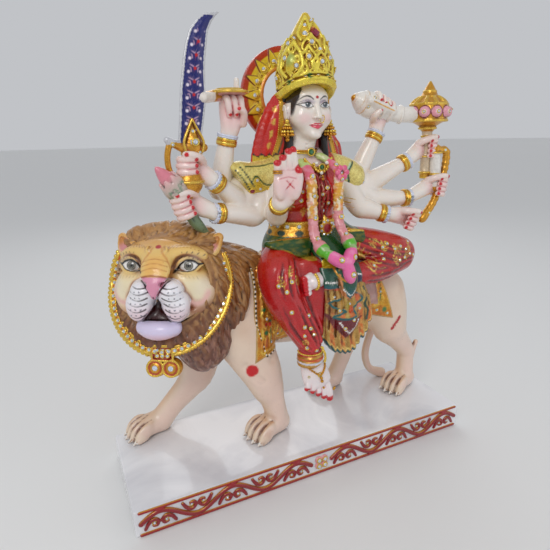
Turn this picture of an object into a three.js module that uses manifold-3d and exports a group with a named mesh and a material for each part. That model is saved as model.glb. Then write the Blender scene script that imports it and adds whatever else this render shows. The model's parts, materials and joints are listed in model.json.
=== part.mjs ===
// A painted marble statue: an eight-armed goddess seated on a walking lion, carved with its plinth
// from one block. Millimetres, +Z up. The goddess faces -Y and the lion walks towards -X. The origin
// is the middle of the plinth's underside.
import * as THREE from "three";
import { mergeVertices } from "three/addons/utils/BufferGeometryUtils.js";
import Module from "manifold-3d";

const wasm = await Module();
wasm.setup();

// Driving sizes
const plinthLength = 390;
const plinthDepth = 128;
const plinthHeight = 28;
const plinthEdgeRound = 2.5; // the rounding of the slab's upright corners
const borderRail = 4; // height of the two rails that frame the scrollwork
const borderRelief = 2.5; // how far rails and scrolls stand out of the front face
const scrollPitch = 39; // length of one S-scroll along the border
const figureHeight = 434; // crown tip above the plinth's top
const pawSink = 1.5; // how deep the feet run into the slab, so that they are one with it
const sliverTolerance = 0.4; // how far the surface may move where seams are cleaned
const stoneGap = 0.3; // clearance of a glued stone from the marble
const stoneDepth = 1.2; // how deep a glued stone sits in the marble
const stoneRise = 1.6; // how far it stands out
const crownStoneSide = 7; // the square stone high on the crown
const roundStone = 7.5; // diameter of the larger round stones on belt, pommel and pendant
const dropStone = 6; // width of the drop on the sword's guard

// The figure is modelled at this height, and its forms keep their proportions to it.
const modelHeight = 434;
const figureScale = figureHeight / modelHeight;

const X = new THREE.Vector3(1, 0, 0);
const Y = new THREE.Vector3(0, 1, 0);
const Z = new THREE.Vector3(0, 0, 1);
const vec = (p) => new THREE.Vector3(p[0], p[1], p[2]);

// A closed three.js geometry as a solid, with its faces outwards.
function solid(geometry, matrix = null) {
  const bare = new THREE.BufferGeometry().setAttribute("position", geometry.getAttribute("position").clone());
  if (geometry.index) bare.setIndex(geometry.index.clone());
  if (matrix) bare.applyMatrix4(matrix);
  const merged = mergeVertices(bare, 1e-4);
  const triVerts = new Uint32Array(merged.index.array);
  const vertProperties = merged.attributes.position.array;
  const made = new wasm.Manifold(new wasm.Mesh({ numProp: 3, vertProperties, triVerts }));
  if (made.volume() > 0) return made;
  for (let i = 0; i < triVerts.length; i += 3) [triVerts[i + 1], triVerts[i + 2]] = [triVerts[i + 2], triVerts[i + 1]];
  return new wasm.Manifold(new wasm.Mesh({ numProp: 3, vertProperties, triVerts }));
}

// Joins solids two by two, so that no step joins a small solid to a very large one.
function join(solids) {
  let parts = solids.flat(9);
  while (parts.length > 1) {
    const next = [];
    for (let i = 0; i < parts.length; i += 2) next.push(i + 1 < parts.length ? parts[i].add(parts[i + 1]) : parts[i]);
    parts = next;
  }
  return parts[0];
}

// Joins leave slivers along every seam. This takes out each vertex whose faces already run, within
// `tolerance`, through one of its neighbours, and keeps the surface closed while it does so.
function withoutSlivers(made, tolerance) {
  const out = made.getMesh();
  const points = [];
  for (let i = 0; i < out.vertProperties.length; i += out.numProp) points.push(new THREE.Vector3(...out.vertProperties.slice(i, i + 3)));
  const faces = [];
  const facesOf = points.map(() => new Set());
  for (let i = 0; i < out.triVerts.length; i += 3) {
    const face = [...out.triVerts.slice(i, i + 3)];
    face.forEach((v) => facesOf[v].add(faces.length));
    faces.push(face);
  }
  const triangle = new THREE.Triangle();
  const normalOf = (face, moved = -1, target = -1) => {
    triangle.set(...face.map((v) => points[v === moved ? target : v]));
    return { area: triangle.getArea(), normal: triangle.getNormal(new THREE.Vector3()), longest: Math.max(triangle.a.distanceTo(triangle.b), triangle.b.distanceTo(triangle.c), triangle.c.distanceTo(triangle.a)) };
  };
  // Each vertex carries the planes of the faces that it has stood for so far.
  const planes = points.map((p, v) => [...facesOf[v]].map((f) => normalOf(faces[f])).filter((f) => f.area > 1e-4).map((f) => new THREE.Plane().setFromNormalAndCoplanarPoint(f.normal, p)));
  const neighbours = (v) => {
    const found = new Set();
    facesOf[v].forEach((f) => faces[f].forEach((w) => w !== v && found.add(w)));
    return found;
  };
  const cost = (from, to) => planes[from].reduce((worst, plane) => Math.max(worst, Math.abs(plane.distanceToPoint(points[to]))), 0);
  const allowed = (from, to) => {
    const around = neighbours(to);
    let shared = 0;
    neighbours(from).forEach((v) => around.has(v) && shared++);
    if (shared !== 2) return false;
    for (const f of facesOf[from]) {
      if (faces[f].includes(to)) continue;
      const [before, after] = [normalOf(faces[f]), normalOf(faces[f], from, to)];
      if (after.area < 1e-3 || after.area < after.longest ** 2 * 0.006) return false;
      if (before.area > 1e-3 && before.normal.dot(after.normal) < 0.75) return false;
    }
    return true;
  };
  for (const limit of [0.02, 0.2, 0.5, 1, 1, 1].map((share) => share * tolerance)) {
    const moves = [];
    facesOf.forEach((own, from) => own.size && neighbours(from).forEach((to) => {
      const price = cost(from, to);
      if (price < limit) moves.push([price + 0.01 * points[from].distanceTo(points[to]) * tolerance, from, to]);
    }));
    moves.sort((p, q) => p[0] - q[0]);
    const touched = new Set();
    for (const [, from, to] of moves) {
      if (touched.has(from) || touched.has(to) || !facesOf[from].size || !allowed(from, to)) continue;
      for (const f of [...facesOf[from]]) {
        if (faces[f].includes(to)) faces[f].forEach((v) => facesOf[v].delete(f));
        else {
          faces[f] = faces[f].map((v) => (v === from ? to : v));
          facesOf[to].add(f);
        }
      }
      facesOf[from].clear();
      planes[to].push(...planes[from]);
      touched.add(from);
      neighbours(to).forEach((v) => touched.add(v));
    }
  }
  const kept = faces.filter((face, f) => facesOf[face[0]].has(f));
  const geometry = new THREE.BufferGeometry().setFromPoints(kept.flat().map((v) => points[v]));
  return solid(geometry);
}

// A limb, lock, fold or cord: rings along a smooth path through stations [x, y, z, a, b]. a is the
// half-width square to both the path and `up`, b the half-width towards `up`. Its ends are round,
// or plain points where it is bare. A flute pushes every other side in and out, which carves locks
// of hair and folds of cloth, and the twist turns those grooves along the path.
function limb(stations, { sides = 8, steps = 1, up = Z, round = 0.8, bare = false, flute = 0, twist = 0, matrix = null } = {}) {
  const path = new THREE.CatmullRomCurve3(stations.map(vec));
  const radii = new THREE.CatmullRomCurve3(stations.map((s) => new THREE.Vector3(s[3], s[4] ?? s[3], 0)));
  const count = (stations.length - 1) * steps;
  const rings = [];
  for (let i = 0; i <= count; i++) {
    const t = i / count;
    const size = radii.getPoint(t);
    rings.push({ at: path.getPoint(t), along: path.getTangent(t), a: size.x, b: size.y });
  }
  const [first, last] = [rings[0], rings[count]];
  const shoulder = 0.66; // size of the ring that rounds an end, and how far out it stands
  const endRing = (ring, sign) => {
    const reach = Math.min(ring.a, ring.b) * round * 0.7;
    return { ...ring, at: ring.at.clone().addScaledVector(ring.along, sign * reach), a: ring.a * shoulder, b: ring.b * shoulder };
  };
  const tip = (ring, sign) => ring.at.clone().addScaledVector(ring.along, sign * Math.min(ring.a, ring.b) * round * (bare ? 0.5 : 1));
  const all = bare ? rings : [endRing(first, -1), ...rings, endRing(last, 1)];
  const points = [];
  all.forEach((ring, r) => {
    const across = new THREE.Vector3().crossVectors(up, ring.along).normalize();
    const rise = new THREE.Vector3().crossVectors(ring.along, across);
    for (let k = 0; k < sides; k++) {
      const angle = (2 * Math.PI * (k + 0.5 + r * twist)) / sides;
      const swell = 1 + flute * (k % 2 ? 1 : -1);
      const p = ring.at.clone().addScaledVector(across, ring.a * swell * Math.cos(angle));
      points.push(p.addScaledVector(rise, ring.b * swell * Math.sin(angle)));
    }
  });
  const start = points.push(tip(first, -1)) - 1;
  const end = points.push(tip(last, 1)) - 1;
  const faces = [];
  for (let k = 0; k < sides; k++) {
    const next = (k + 1) % sides;
    faces.push(start, next, k, end, (all.length - 1) * sides + k, (all.length - 1) * sides + next);
    for (let r = 0; r + 1 < all.length; r++) {
      const [p, q] = [r * sides, (r + 1) * sides];
      faces.push(p + k, p + next, q + next, p + k, q + next, q + k);
    }
  }
  const geometry = new THREE.BufferGeometry().setFromPoints(points);
  geometry.setIndex(faces);
  return solid(geometry, matrix);
}

// Rings of points, all of one length, closed by a fan at each end or, where `loop` is set, joined
// from the last ring back to the first.
function rings(stack, { loop = false, matrix = null } = {}) {
  const sides = stack[0].length;
  const points = stack.flat().map(vec);
  const faces = [];
  const band = (p, q) => {
    for (let k = 0; k < sides; k++) {
      const next = (k + 1) % sides;
      faces.push(p * sides + k, p * sides + next, q * sides + next, p * sides + k, q * sides + next, q * sides + k);
    }
  };
  for (let r = 0; r + 1 < stack.length; r++) band(r, r + 1);
  if (loop) band(stack.length - 1, 0);
  else {
    for (const [r, flip] of [[0, true], [stack.length - 1, false]]) {
      const middle = new THREE.Vector3();
      stack[r].forEach((p) => middle.addScaledVector(vec(p), 1 / sides));
      const hub = points.push(middle) - 1;
      for (let k = 0; k < sides; k++) {
        const next = (k + 1) % sides;
        faces.push(hub, r * sides + (flip ? next : k), r * sides + (flip ? k : next));
      }
    }
  }
  const geometry = new THREE.BufferGeometry().setFromPoints(points);
  geometry.setIndex(faces);
  return solid(geometry, matrix);
}

// An ellipsoid with half-widths r, turned by Euler angles in degrees.
function ball(at, r, { turn = [0, 0, 0], around = 8, rows = 5, matrix = null } = {}) {
  const placed = new THREE.Matrix4().compose(
    vec(at),
    new THREE.Quaternion().setFromEuler(new THREE.Euler(...turn.map(THREE.MathUtils.degToRad))),
    new THREE.Vector3(...(Array.isArray(r) ? r : [r, r, r])),
  );
  if (matrix) placed.premultiply(matrix);
  const upright = new THREE.SphereGeometry(1, around, rows).rotateX(Math.PI / 2);
  return solid(upright, placed);
}

// A turned form from a profile of [radius, height] pairs, closed on its axis.
function turned(profile, { at = [0, 0, 0], axis = Z, around = 12, flat = 1, matrix = null } = {}) {
  const outline = profile.map(([r, h]) => new THREE.Vector2(r, h));
  const placed = new THREE.Matrix4().makeTranslation(...at);
  placed.multiply(new THREE.Matrix4().makeRotationFromQuaternion(new THREE.Quaternion().setFromUnitVectors(Z, axis)));
  placed.multiply(new THREE.Matrix4().makeScale(1, flat, 1));
  if (matrix) placed.premultiply(matrix);
  return solid(new THREE.LatheGeometry(outline, around).rotateX(Math.PI / 2), placed);
}

// The place of the lion's head: its own axes are across the face, out of the face, and up.
const headYaw = THREE.MathUtils.degToRad(31); // turned from -Y towards -X
const headLift = THREE.MathUtils.degToRad(15);
const headAt = [-131, 2, 187];
function headFrame() {
  const out = new THREE.Vector3(-Math.sin(headYaw), -Math.cos(headYaw), 0);
  const across = new THREE.Vector3(Math.cos(headYaw), -Math.sin(headYaw), 0);
  const face = out.clone().multiplyScalar(Math.cos(headLift)).addScaledVector(Z, Math.sin(headLift));
  const crest = Z.clone().multiplyScalar(Math.cos(headLift)).addScaledVector(out, -Math.sin(headLift));
  return new THREE.Matrix4().makeBasis(across, face, crest).setPosition(vec(headAt));
}

function lionHead() {
  const matrix = headFrame();
  const both = (make) => [make(-1), make(1)];
  const skull = limb([[0, -20, 4, 42, 34], [0, -2, 5, 47, 36], [0, 14, 7, 43, 32], [0, 26, 7, 31, 22], [0, 31, 8, 20, 14]], { sides: 12, matrix, round: 0.3, bare: true });
  const cheeks = both((s) => ball([s * 26, 10, -9], [21, 17, 17], { matrix, around: 6, rows: 4 }));
  const bridge = limb([[0, 26, 30, 10, 7], [0, 40, 18, 12, 7], [0, 48, 9, 12, 6]], { up: Y, matrix, sides: 5, bare: true, round: 0 });
  const nose = limb([[0, 47, 9, 12, 6], [0, 49, -9, 2.5, 4]], { up: Y, matrix, sides: 5, bare: true });
  const puffs = both((s) => ball([s * 13.5, 36, -11], [14.5, 14, 17], { matrix, around: 8, rows: 5 }));
  const jaw = limb([[0, -6, -14, 30, 22], [0, 22, -28, 20, 12], [0, 30, -38, 15, 8]], { sides: 7, matrix, bare: true, round: 0 });
  const chin = limb([[-14, 27, -38, 11, 8], [0, 30, -40, 13, 9], [14, 27, -38, 11, 8]], { matrix, sides: 6, bare: true, round: 1 });
  const brows = both((s) => limb([[s * 10, 30, 25, 4, 4], [s * 22, 28, 31, 5, 4], [s * 36, 16, 28, 4, 4]], { matrix, sides: 3, bare: true }));
  const eyes = both((s) => ball([s * 26, 26, 18.5], [8.5, 5, 5.5], { matrix, around: 6, rows: 3 }));
  const ears = both((s) => limb([[s * 34, 4, 30, 12, 7], [s * 43, 0, 39, 9, 6], [s * 50, -4, 45, 3.5, 3.5]], { up: Y, matrix, sides: 5, bare: true }));
  return [skull, cheeks, bridge, nose, puffs, jaw, chin, brows, eyes, ears];
}

// The mane: a full mass round head and neck, its locks as deep flutes that turn as they run back,
// with loose locks over the brow and a hanging chest.
function mane() {
  const mass = limb(
    [[-136, -5, 187, 52, 55], [-126, 9, 184, 55, 60], [-110, 14, 174, 51, 62], [-85, 18, 164, 45, 60], [-61, 20, 158, 41, 55], [-42, 21, 154, 37, 48]],
    { sides: 22, flute: 0.05, twist: 0.35, round: 0.3, bare: true },
  );
  const chest = limb([[-118, -4, 150, 36, 26], [-110, 4, 124, 32, 24], [-106, 8, 108, 18, 14]], { up: X, sides: 12, flute: 0.07, twist: 0.3, round: 0.5, bare: true });
  const matrix = headFrame();
  const locks = [];
  for (let i = 0; i < 4; i++) {
    const side = 1.8 * (i - 1.5);
    const high = 40 - side * side * 0.5;
    locks.push(limb([[side * 7, 10, high, 5, 4], [side * 8.5, -2, high + 12, 6, 4.5], [side * 9, -22, high + 12, 3, 2.5]], { sides: 4, matrix, bare: true }));
  }
  return [mass, chest, locks];
}

// One paw, pointing towards -X and turned by `turn` degrees: its toes are the ridges of one form.
function paw(at, turn = 0, wide = 16) {
  const matrix = new THREE.Matrix4().makeTranslation(...at);
  matrix.multiply(new THREE.Matrix4().makeRotationZ(THREE.MathUtils.degToRad(turn)));
  const stations = [[12, 0, 12, wide * 0.8, 12], [-6, 0, 14, wide, 14], [-18, 0, 14, wide * 1.12, 13.5], [-27, 0, 7, wide, 7.5]];
  return limb(stations, { matrix, sides: 16, flute: 0.08, bare: true, round: 0.6 });
}

function lionLegs() {
  const leg = (stations) => limb(stations, { up: Y, sides: 8, round: 0.4, bare: true });
  return [
    leg([[-62, -6, 140, 32, 16], [-51, -10, 92, 25, 16], [-38, -11, 60, 18, 14], [-29, -10, 38, 14, 13], [-23, -9, 12, 14, 12]]),
    leg([[-88, 44, 120, 26, 15], [-98, 48, 64, 22, 14], [-113, 50, 44, 16, 13], [-132, 52, 27, 13, 12], [-146, 52, 12, 13, 12]]),
    leg([[126, 6, 142, 26, 18], [130, 2, 112, 28, 19], [138, 2, 88, 21, 16], [158, 5, 66, 14, 12], [170, 7, 44, 12, 11], [168, 5, 12, 12, 11]]),
    leg([[122, 40, 120, 27, 17], [110, 43, 84, 17, 14], [103, 44, 58, 12, 11], [82, 45, 14, 10, 10]]),
    paw([-34, -10, -pawSink], 16, 17),
    paw([-154, 52, -pawSink - 1], 16, 16),
    paw([162, 4, -pawSink], 18, 16),
    paw([76, 45, -pawSink], 10, 14),
  ];
}

function lion() {
  const body = limb(
    [[-70, 21, 152, 38, 52], [-30, 22, 150, 39, 54], [20, 22, 146, 37, 55], [70, 22, 140, 34, 51], [110, 22, 135, 34, 45], [134, 22, 134, 30, 36]],
    { sides: 12, round: 0.5 },
  );
  const tail = limb(
    [[146, 34, 140, 7, 7], [158, 45, 112, 6, 6], [150, 47, 82, 5.5, 5.5], [138, 45, 56, 5, 5], [133, 44, 34, 5, 5], [139, 41, 14, 5, 5], [154, 37, 6, 7, 6]],
    { sides: 6, up: Y, bare: true },
  );
  return [body, tail, lionLegs(), mane(), lionHead(), collar()];
}

// The beaded collar that hangs round the mane, with its pendant of two lobes.
const pendantDrop = -76;
const pendantSides = [-6.5, 8.5];
function collar() {
  const matrix = headFrame();
  const around = [];
  for (let i = 0; i <= 8; i++) {
    const angle = THREE.MathUtils.degToRad(30 - (240 * i) / 8);
    around.push([Math.cos(angle) * 56, -7 + 24 * Math.max(0, -Math.sin(angle)), Math.sin(angle) * 61, 4, 4]);
  }
  const band = limb(around, { matrix, sides: 4, up: Y, bare: true });
  const lobe = (x) => turned([[0, -12], [8, -10], [9.5, 0], [7, 4], [0, 5]], { at: [x, 18, pendantDrop], axis: Y, around: 8, matrix });
  const plate = limb([[0, 15, -54, 9, 6], [0, 16, pendantDrop + 6, 10, 6]], { up: Y, matrix, sides: 5, bare: true, round: 0 });
  return [band, plate, pendantSides.map(lobe)];
}

// The saddle cloth: a draped slab over the back, with a point on each side of the rider's leg.
function saddleCloth() {
  const outline = [[-50, 100], [-62, 205], [122, 170], [128, 108], [96, 112], [40, 128], [-20, 118]];
  const shape = new THREE.Shape(outline.map(([x, z]) => new THREE.Vector2(x, z)));
  const sheet = new THREE.ExtrudeGeometry(shape, { depth: 90, bevelEnabled: false, steps: 1 });
  sheet.rotateX(Math.PI / 2).translate(0, 67, 0);
  const shell = limb(
    [[-75, 21, 150, 44, 63], [0, 22, 148, 43, 62], [60, 22, 140, 39, 56], [112, 22, 132, 39, 51], [140, 22, 131, 37, 45]],
    { sides: 12, steps: 1, round: 0.3 },
  );
  return solid(sheet).intersect(shell);
}

function goddessBody() {
  const torso = limb(
    [[25, 14, 204, 50, 36], [23, 10, 222, 43, 28], [21, 8, 238, 39, 25], [22, 7, 254, 38, 25], [24, 8, 272, 41, 24], [24, 11, 290, 38, 19], [24, 13, 302, 22, 14]],
    { up: Y, sides: 12, round: 0.4, bare: true },
  );
  const bust = [-1, 1].map((s) => ball([23 + s * 17, -9, 264], [15, 13, 14], { around: 7, rows: 5 }));
  const neck = limb([[23, 10, 298, 13, 13], [22, 6, 312, 12, 12], [22, 6, 324, 13, 13]], { up: Y, sides: 8, bare: true });
  return [torso, bust, neck];
}

function goddessHead() {
  const skull = ball([22, 5, 341], [21.5, 22, 27], { around: 12, rows: 7 });
  const hair = ball([22, 10, 348], [28, 19, 20], { around: 8, rows: 5 });
  const jaw = ball([22, -3, 328], [15, 14, 12], { around: 8, rows: 5 });
  const nose = limb([[22, -15, 344, 2.5, 2.5], [22, -20, 336, 4, 3.5]], { sides: 5, up: Y, bare: true });
  const ears = [-1, 1].map((s) => ball([22 + s * 20.7, 4.4, 337.5], [3.3, 5.6, 8.6], { around: 6, rows: 4 }));
  const earrings = [-1, 1].map((s) => ball([22 + s * 20.5, 3, 325], [4.6, 5, 9], { around: 5, rows: 4 }));
  return [skull, hair, jaw, nose, ears, earrings];
}

const crownAt = [24, 5, 0];

// One tier of the crown: a band whose upper edge rises to `count` points.
function tier(count, low, high) {
  const ring = (radius, z, rise) => {
    const points = [];
    for (let k = 0; k < 2 * count; k++) {
      const angle = (Math.PI * (k + 0.5)) / count;
      points.push([crownAt[0] + radius * Math.cos(angle), crownAt[1] + radius * Math.sin(angle), z + (k % 2 ? rise : 0)]);
    }
    return points;
  };
  return rings([ring(low[0], low[1], 0), ring(high[0], high[1], high[2])]);
}

function crown() {
  const body = turned([[0, 352], [24, 358], [26, 380], [22, 393], [19, 402], [13.5, 414], [8, 423], [3, 433], [0, 434]], { at: crownAt, around: 10 });
  const brim = turned([[0, 353], [25, 353], [28.5, 357], [26, 363], [0, 364]], { at: crownAt, around: 12 });
  return [body, brim, tier(7, [27, 365], [28, 378, 10]), tier(6, [23, 388], [21.5, 397, 9]), tier(4, [15.5, 407], [13.5, 413, 7])];
}

// The halo: a ring behind the crown with a zigzag relief, joined to the crown by a short bridge.
const haloAt = [18, 50, 362.5];
const [haloOuter, haloInner, haloThick] = [49, 26.5, 4];
const haloTeeth = 10;
function halo() {
  const edge = (radius, y, shift = 0) => {
    const points = [];
    for (let k = 0; k < 2 * haloTeeth; k++) {
      const angle = (Math.PI * k) / haloTeeth;
      const r = radius + (k % 2 ? shift : -shift);
      points.push([haloAt[0] + r * Math.cos(angle), haloAt[1] + y, haloAt[2] + r * Math.sin(angle)]);
    }
    return points;
  };
  const middle = (haloOuter + haloInner) / 2;
  const ring = rings(
    [edge(haloInner, haloThick), edge(haloInner, -haloThick), edge(middle, -haloThick - 2, 6), edge(haloOuter, -1), edge(haloOuter - 2, haloThick)],
    { loop: true },
  );
  const bridge = limb([[36, 24, 384, 11, 9], [36, 50, 384, 11, 9]], { sides: 5, bare: true, round: 0 });
  return [ring, bridge];
}

// The veil: it leaves the crown, frames head and neck, and flares over the shoulders.
function veil() {
  return limb(
    [[24, 17, 370, 26, 18], [24, 19, 350, 30, 17], [24, 20, 332, 33, 17], [24, 20, 310, 45, 15], [24, 20, 292, 53, 13], [24, 20, 276, 50, 12]],
    { up: Y, sides: 14, flute: 0.03, round: 0.4, bare: true },
  );
}

// A fist closed round a rod: a block of four finger ridges, the palm that reaches it from the
// wrist, and the thumb over the top.
function fist(at, axis, wrist, { size = 1, thumbUp = 1 } = {}) {
  const rod = vec(axis).normalize();
  const toWrist = vec(wrist).sub(vec(at));
  const side = toWrist.clone().addScaledVector(rod, -toWrist.dot(rod)).normalize();
  const back = new THREE.Vector3().crossVectors(rod, side);
  if (back.y < 0) back.negate();
  const place = (s, b, r) => vec(at).addScaledVector(side, s * size).addScaledVector(back, b * size).addScaledVector(rod, r * size).toArray();
  const pitch = 5.2;
  const ridges = [];
  for (let k = 0; k <= 8; k++) {
    const wide = (k % 2 ? 10.5 : 8.8) * size;
    ridges.push([...place(-1, -1, (k / 2 - 2) * pitch), wide, wide * 0.82]);
  }
  const fingers = limb(ridges, { sides: 5, up: back, bare: true, round: 0.1 });
  const heel = vec(wrist).lerp(vec(place(6, 0, 0)), 0.55).toArray();
  const palm = limb([[...wrist, 7 * size, 7 * size], [...heel, 10 * size, 7 * size], [...place(3, 0, 0), 10.5 * size, 6.5 * size]], { up: back, sides: 6, bare: true, round: 0 });
  const thumb = limb([[...place(8, -5, thumbUp * 8), 4 * size], [...place(-2, -7, thumbUp * 12), 3.6 * size], [...place(-10, -4, thumbUp * 12.5), 2.8 * size]], { sides: 4, up: rod, bare: true });
  return [fingers, palm, thumb];
}

// An arm from the shoulder over the elbow to the wrist, with a bangle round the wrist.
function arm([shoulder, elbow, wrist], radii = [13, 11.5, 7.5]) {
  const [from, to] = [vec(elbow), vec(wrist)];
  const axis = to.clone().sub(from).normalize();
  const on = (distance) => to.clone().addScaledVector(axis, distance).toArray();
  const round = radii[2];
  const bend = vec(shoulder).lerp(from, 0.75).lerp(from.clone().lerp(to, 0.2), 0.35).toArray();
  const flesh = limb([[...shoulder, radii[0]], [...bend, radii[1] * 1.04], [...from.lerp(to, 0.3).toArray(), radii[1]], [...on(-8), round], [...on(-7), round + 2], [...on(0), round + 1.6]], { sides: 6, bare: true, round: 0 });
  return flesh;
}

const wrists = {
  disc: [-63, 9, 320], sword: [-82, -5, 282], lotus: [-83, -8, 253], blessing: [-26, -26, 262],
  conch: [113, 14, 321], mace: [145, -1, 291], bow: [146, -6, 251], lap: [108, -14, 237],
};
const hands = {
  disc: [-57, 6, 342], sword: [-106, -8, 295], lotus: [-113, -10, 263], blessing: [-22, -34, 284],
  conch: [119, 14, 345], mace: [179, -2, 307], bow: [188, -8, 264], lap: [140, -18, 230],
};

function arms() {
  const shoulder = { right: [-20, 13, 280], left: [68, 13, 276] };
  const reach = (start, elbow, hand, radii) => arm([start, elbow, wrists[hand]], radii);
  return [
    reach(shoulder.right, [-72, 15, 270], "disc", [11, 10.5, 7.5]),
    reach(shoulder.right, [-52, 8, 258], "sword"),
    reach(shoulder.right, [-38, 4, 246], "lotus"),
    reach([-14, 6, 278], [-20, -6, 246], "blessing", [13, 12, 7.5]),
    reach(shoulder.left, [94, 16, 284], "conch"),
    reach(shoulder.left, [100, 8, 268], "mace"),
    reach(shoulder.left, [102, 2, 252], "bow"),
    reach(shoulder.left, [80, -4, 246], "lap"),
    fist(hands.sword, [0, 0, 1], wrists.sword),
    fist(hands.lotus, [0.35, 0, -1], wrists.lotus, { thumbUp: -1 }),
    fist(hands.mace, [0.05, 0, 1], wrists.mace),
    fist(hands.bow, [0.2, 0, 1], wrists.bow),
    fist(hands.lap, [0.3, -0.3, 1], wrists.lap),
    openHand(),
    discHand(),
    conchHand(),
  ];
}

// The raised front hand, its palm to the viewer: four straight fingers and a thumb.
function openHand() {
  const [w, h] = [wrists.blessing, hands.blessing];
  const palm = limb([[...w, 8, 7], [w[0] + 1, w[1] - 5, w[2] + 10, 11, 6.5], [h[0] - 1, h[1], h[2] + 9, 12, 4.5]], { up: Y, sides: 6, bare: true, round: 0.3 });
  const fingers = [-1.5, -0.5, 0.5, 1.5].map((k) => {
    const long = 24 - Math.abs(k - 0.5) * 3.5;
    const x = h[0] - 1 + k * 5.8;
    return limb([[x, h[1], h[2] + 8, 3.2, 3.6], [x + k * 0.7, h[1] + 2, h[2] + 6 + long, 2.7, 2.8]], { sides: 4, up: Y, bare: true, round: 1.2 });
  });
  const thumb = limb([[h[0] + 9, h[1] - 1, h[2] - 8, 4.5, 4.5], [h[0] + 14, h[1] - 2, h[2] + 3, 4, 4], [h[0] + 14, h[1] - 1, h[2] + 12, 3, 3]], { sides: 4, up: Y, bare: true });
  return [palm, fingers, thumb];
}

// The hand that spins the disc: one finger up through it, the rest folded under it, and the strut
// that ties the disc to the sword.
const discRadius = 17.5;
function discHand() {
  const [w, h] = [wrists.disc, hands.disc];
  const palm = limb([[...w, 8, 7.5], [h[0] - 2, h[1], h[2] - 10, 11, 8], [h[0], h[1], h[2] + 16, 12.5, 8]], { up: Y, sides: 7, bare: true, round: 0 });
  const finger = limb([[h[0] + 3, h[1], h[2] + 14, 3.6, 3.6], [h[0] + 4, h[1], h[2] + 30, 2.6, 2.6]], { up: Y, sides: 4, bare: true, round: 1.5 });
  const folded = [0, 1, 2].map((k) => {
    const x = h[0] - 7 + k * 7;
    return limb([[x, h[1] - 5, h[2] + 14, 3.6, 3.4], [x + 2, h[1] - 8, h[2] - 2, 3, 3]], { up: X, sides: 4, bare: true });
  });
  const disc = turned([[0, -2.5], [discRadius - 5, -2], [discRadius, 0], [discRadius - 5, 2], [0, 2]], { at: [h[0] - 3, h[1], h[2] + 19], around: 14 });
  const strut = limb([[h[0] - 14, h[1] - 1, h[2] + 16, 5, 3.5], [-90, -7, h[2] + 13, 5, 6]], { sides: 5, bare: true, round: 0 });
  return [palm, finger, folded, disc, strut];
}

// The hand that holds up the conch, and the strut of marble that ties it to the mace.
function conchHand() {
  const [w, h] = [wrists.conch, hands.conch];
  const palm = limb([[...w, 8, 7.5], [h[0] - 1, h[1], h[2] - 12, 10, 8], [h[0] + 2, h[1], h[2] + 10, 12, 9]], { up: Y, sides: 7, bare: true, round: 0 });
  const conch = limb([[h[0] - 30, h[1] + 4, h[2] + 13, 4, 4], [h[0] - 25, h[1] + 3, h[2] + 10, 10, 9], [h[0] - 14, h[1] + 2, h[2] + 7, 13, 12], [h[0] + 14, h[1] - 4, h[2] - 4, 9, 9], [162, 1, 343, 9, 9]], { sides: 7, bare: true, round: 0.5 });
  const fingers = [0, 1, 2].map((k) => {
    const x = h[0] - 8 + k * 8;
    const high = h[2] + 20 - k * 4;
    return limb([[x, h[1] + 4, high - 6, 3.8, 3.8], [x, h[1] - 3, high, 3.6, 3.6], [x, h[1] - 10, high - 8, 3, 3]], { sides: 4, up: X, bare: true });
  });
  return [palm, conch, fingers];
}

// The curved sword: blade, crest and quillons, grip, cup and knuckle guard.
const swordAt = [-105, -8];
function sword() {
  const [sx, sy] = swordAt;
  const blade = new THREE.Shape();
  blade.moveTo(-9, 0);
  blade.quadraticCurveTo(-4, 30, -2, 56);
  blade.quadraticCurveTo(2, 102, 33, 106);
  blade.quadraticCurveTo(36, 105, 32, 101);
  blade.quadraticCurveTo(20, 90, 19, 66);
  blade.quadraticCurveTo(18, 30, 12, 0);
  const bladeSolid = new THREE.ExtrudeGeometry(blade, { depth: 4, bevelEnabled: true, bevelSize: 1, bevelThickness: 1, bevelSegments: 1, curveSegments: 4 });
  bladeSolid.rotateX(Math.PI / 2).translate(sx, sy + 2, 319);
  const crest = turned([[0, 308], [9, 310], [11, 316], [5, 328], [0, 338]], { at: [sx + 3, sy, 0], around: 6, flat: 0.7 });
  const quillons = limb([[sx + 13, sy, 313, 4, 4], [sx - 6, sy, 315, 5, 5], [sx - 19, sy, 319, 3, 3]], { sides: 5, bare: true });
  const grip = turned([[0, 280], [5, 280], [6, 312], [0, 312]], { at: [sx - 1, sy, 0], around: 6 });
  const cup = turned([[0, 262], [3.5, 264], [4, 274], [12.5, 282], [12.5, 285], [0, 286]], { at: [sx - 2, sy, 0], around: 8 });
  const guard = limb([[sx - 18, sy, 318, 3, 3], [sx - 20, sy, 306, 2.6, 2.6], [sx - 19, sy, 294, 2.6, 2.6], [sx - 12, sy, 284, 2.6, 2.6]], { sides: 4, up: Y, bare: true });
  const boss = ball([sx - 5, sy - 4, 274], 6.5, { around: 6, rows: 4 });
  return [solid(bladeSolid), crest, quillons, grip, cup, boss, guard];
}

function lotus() {
  const h = hands.lotus;
  const bud = limb([[h[0] + 4, h[1], h[2] + 2, 5, 5], [h[0] - 5, h[1] - 1, h[2] + 12, 10, 9], [h[0] - 15, h[1] - 3, h[2] + 24, 9, 7.5], [h[0] - 24, h[1] - 5, h[2] + 34, 3, 3]], { sides: 10, flute: 0.06, bare: true, round: 1 });
  const stem = limb([[h[0] + 2, h[1], h[2] - 6, 6, 5], [h[0] + 10, h[1], h[2] - 18, 5.5, 5], [h[0] + 20, h[1] + 4, h[2] - 28, 2.5, 2.5]], { sides: 5, bare: true });
  return [bud, stem];
}

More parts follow.
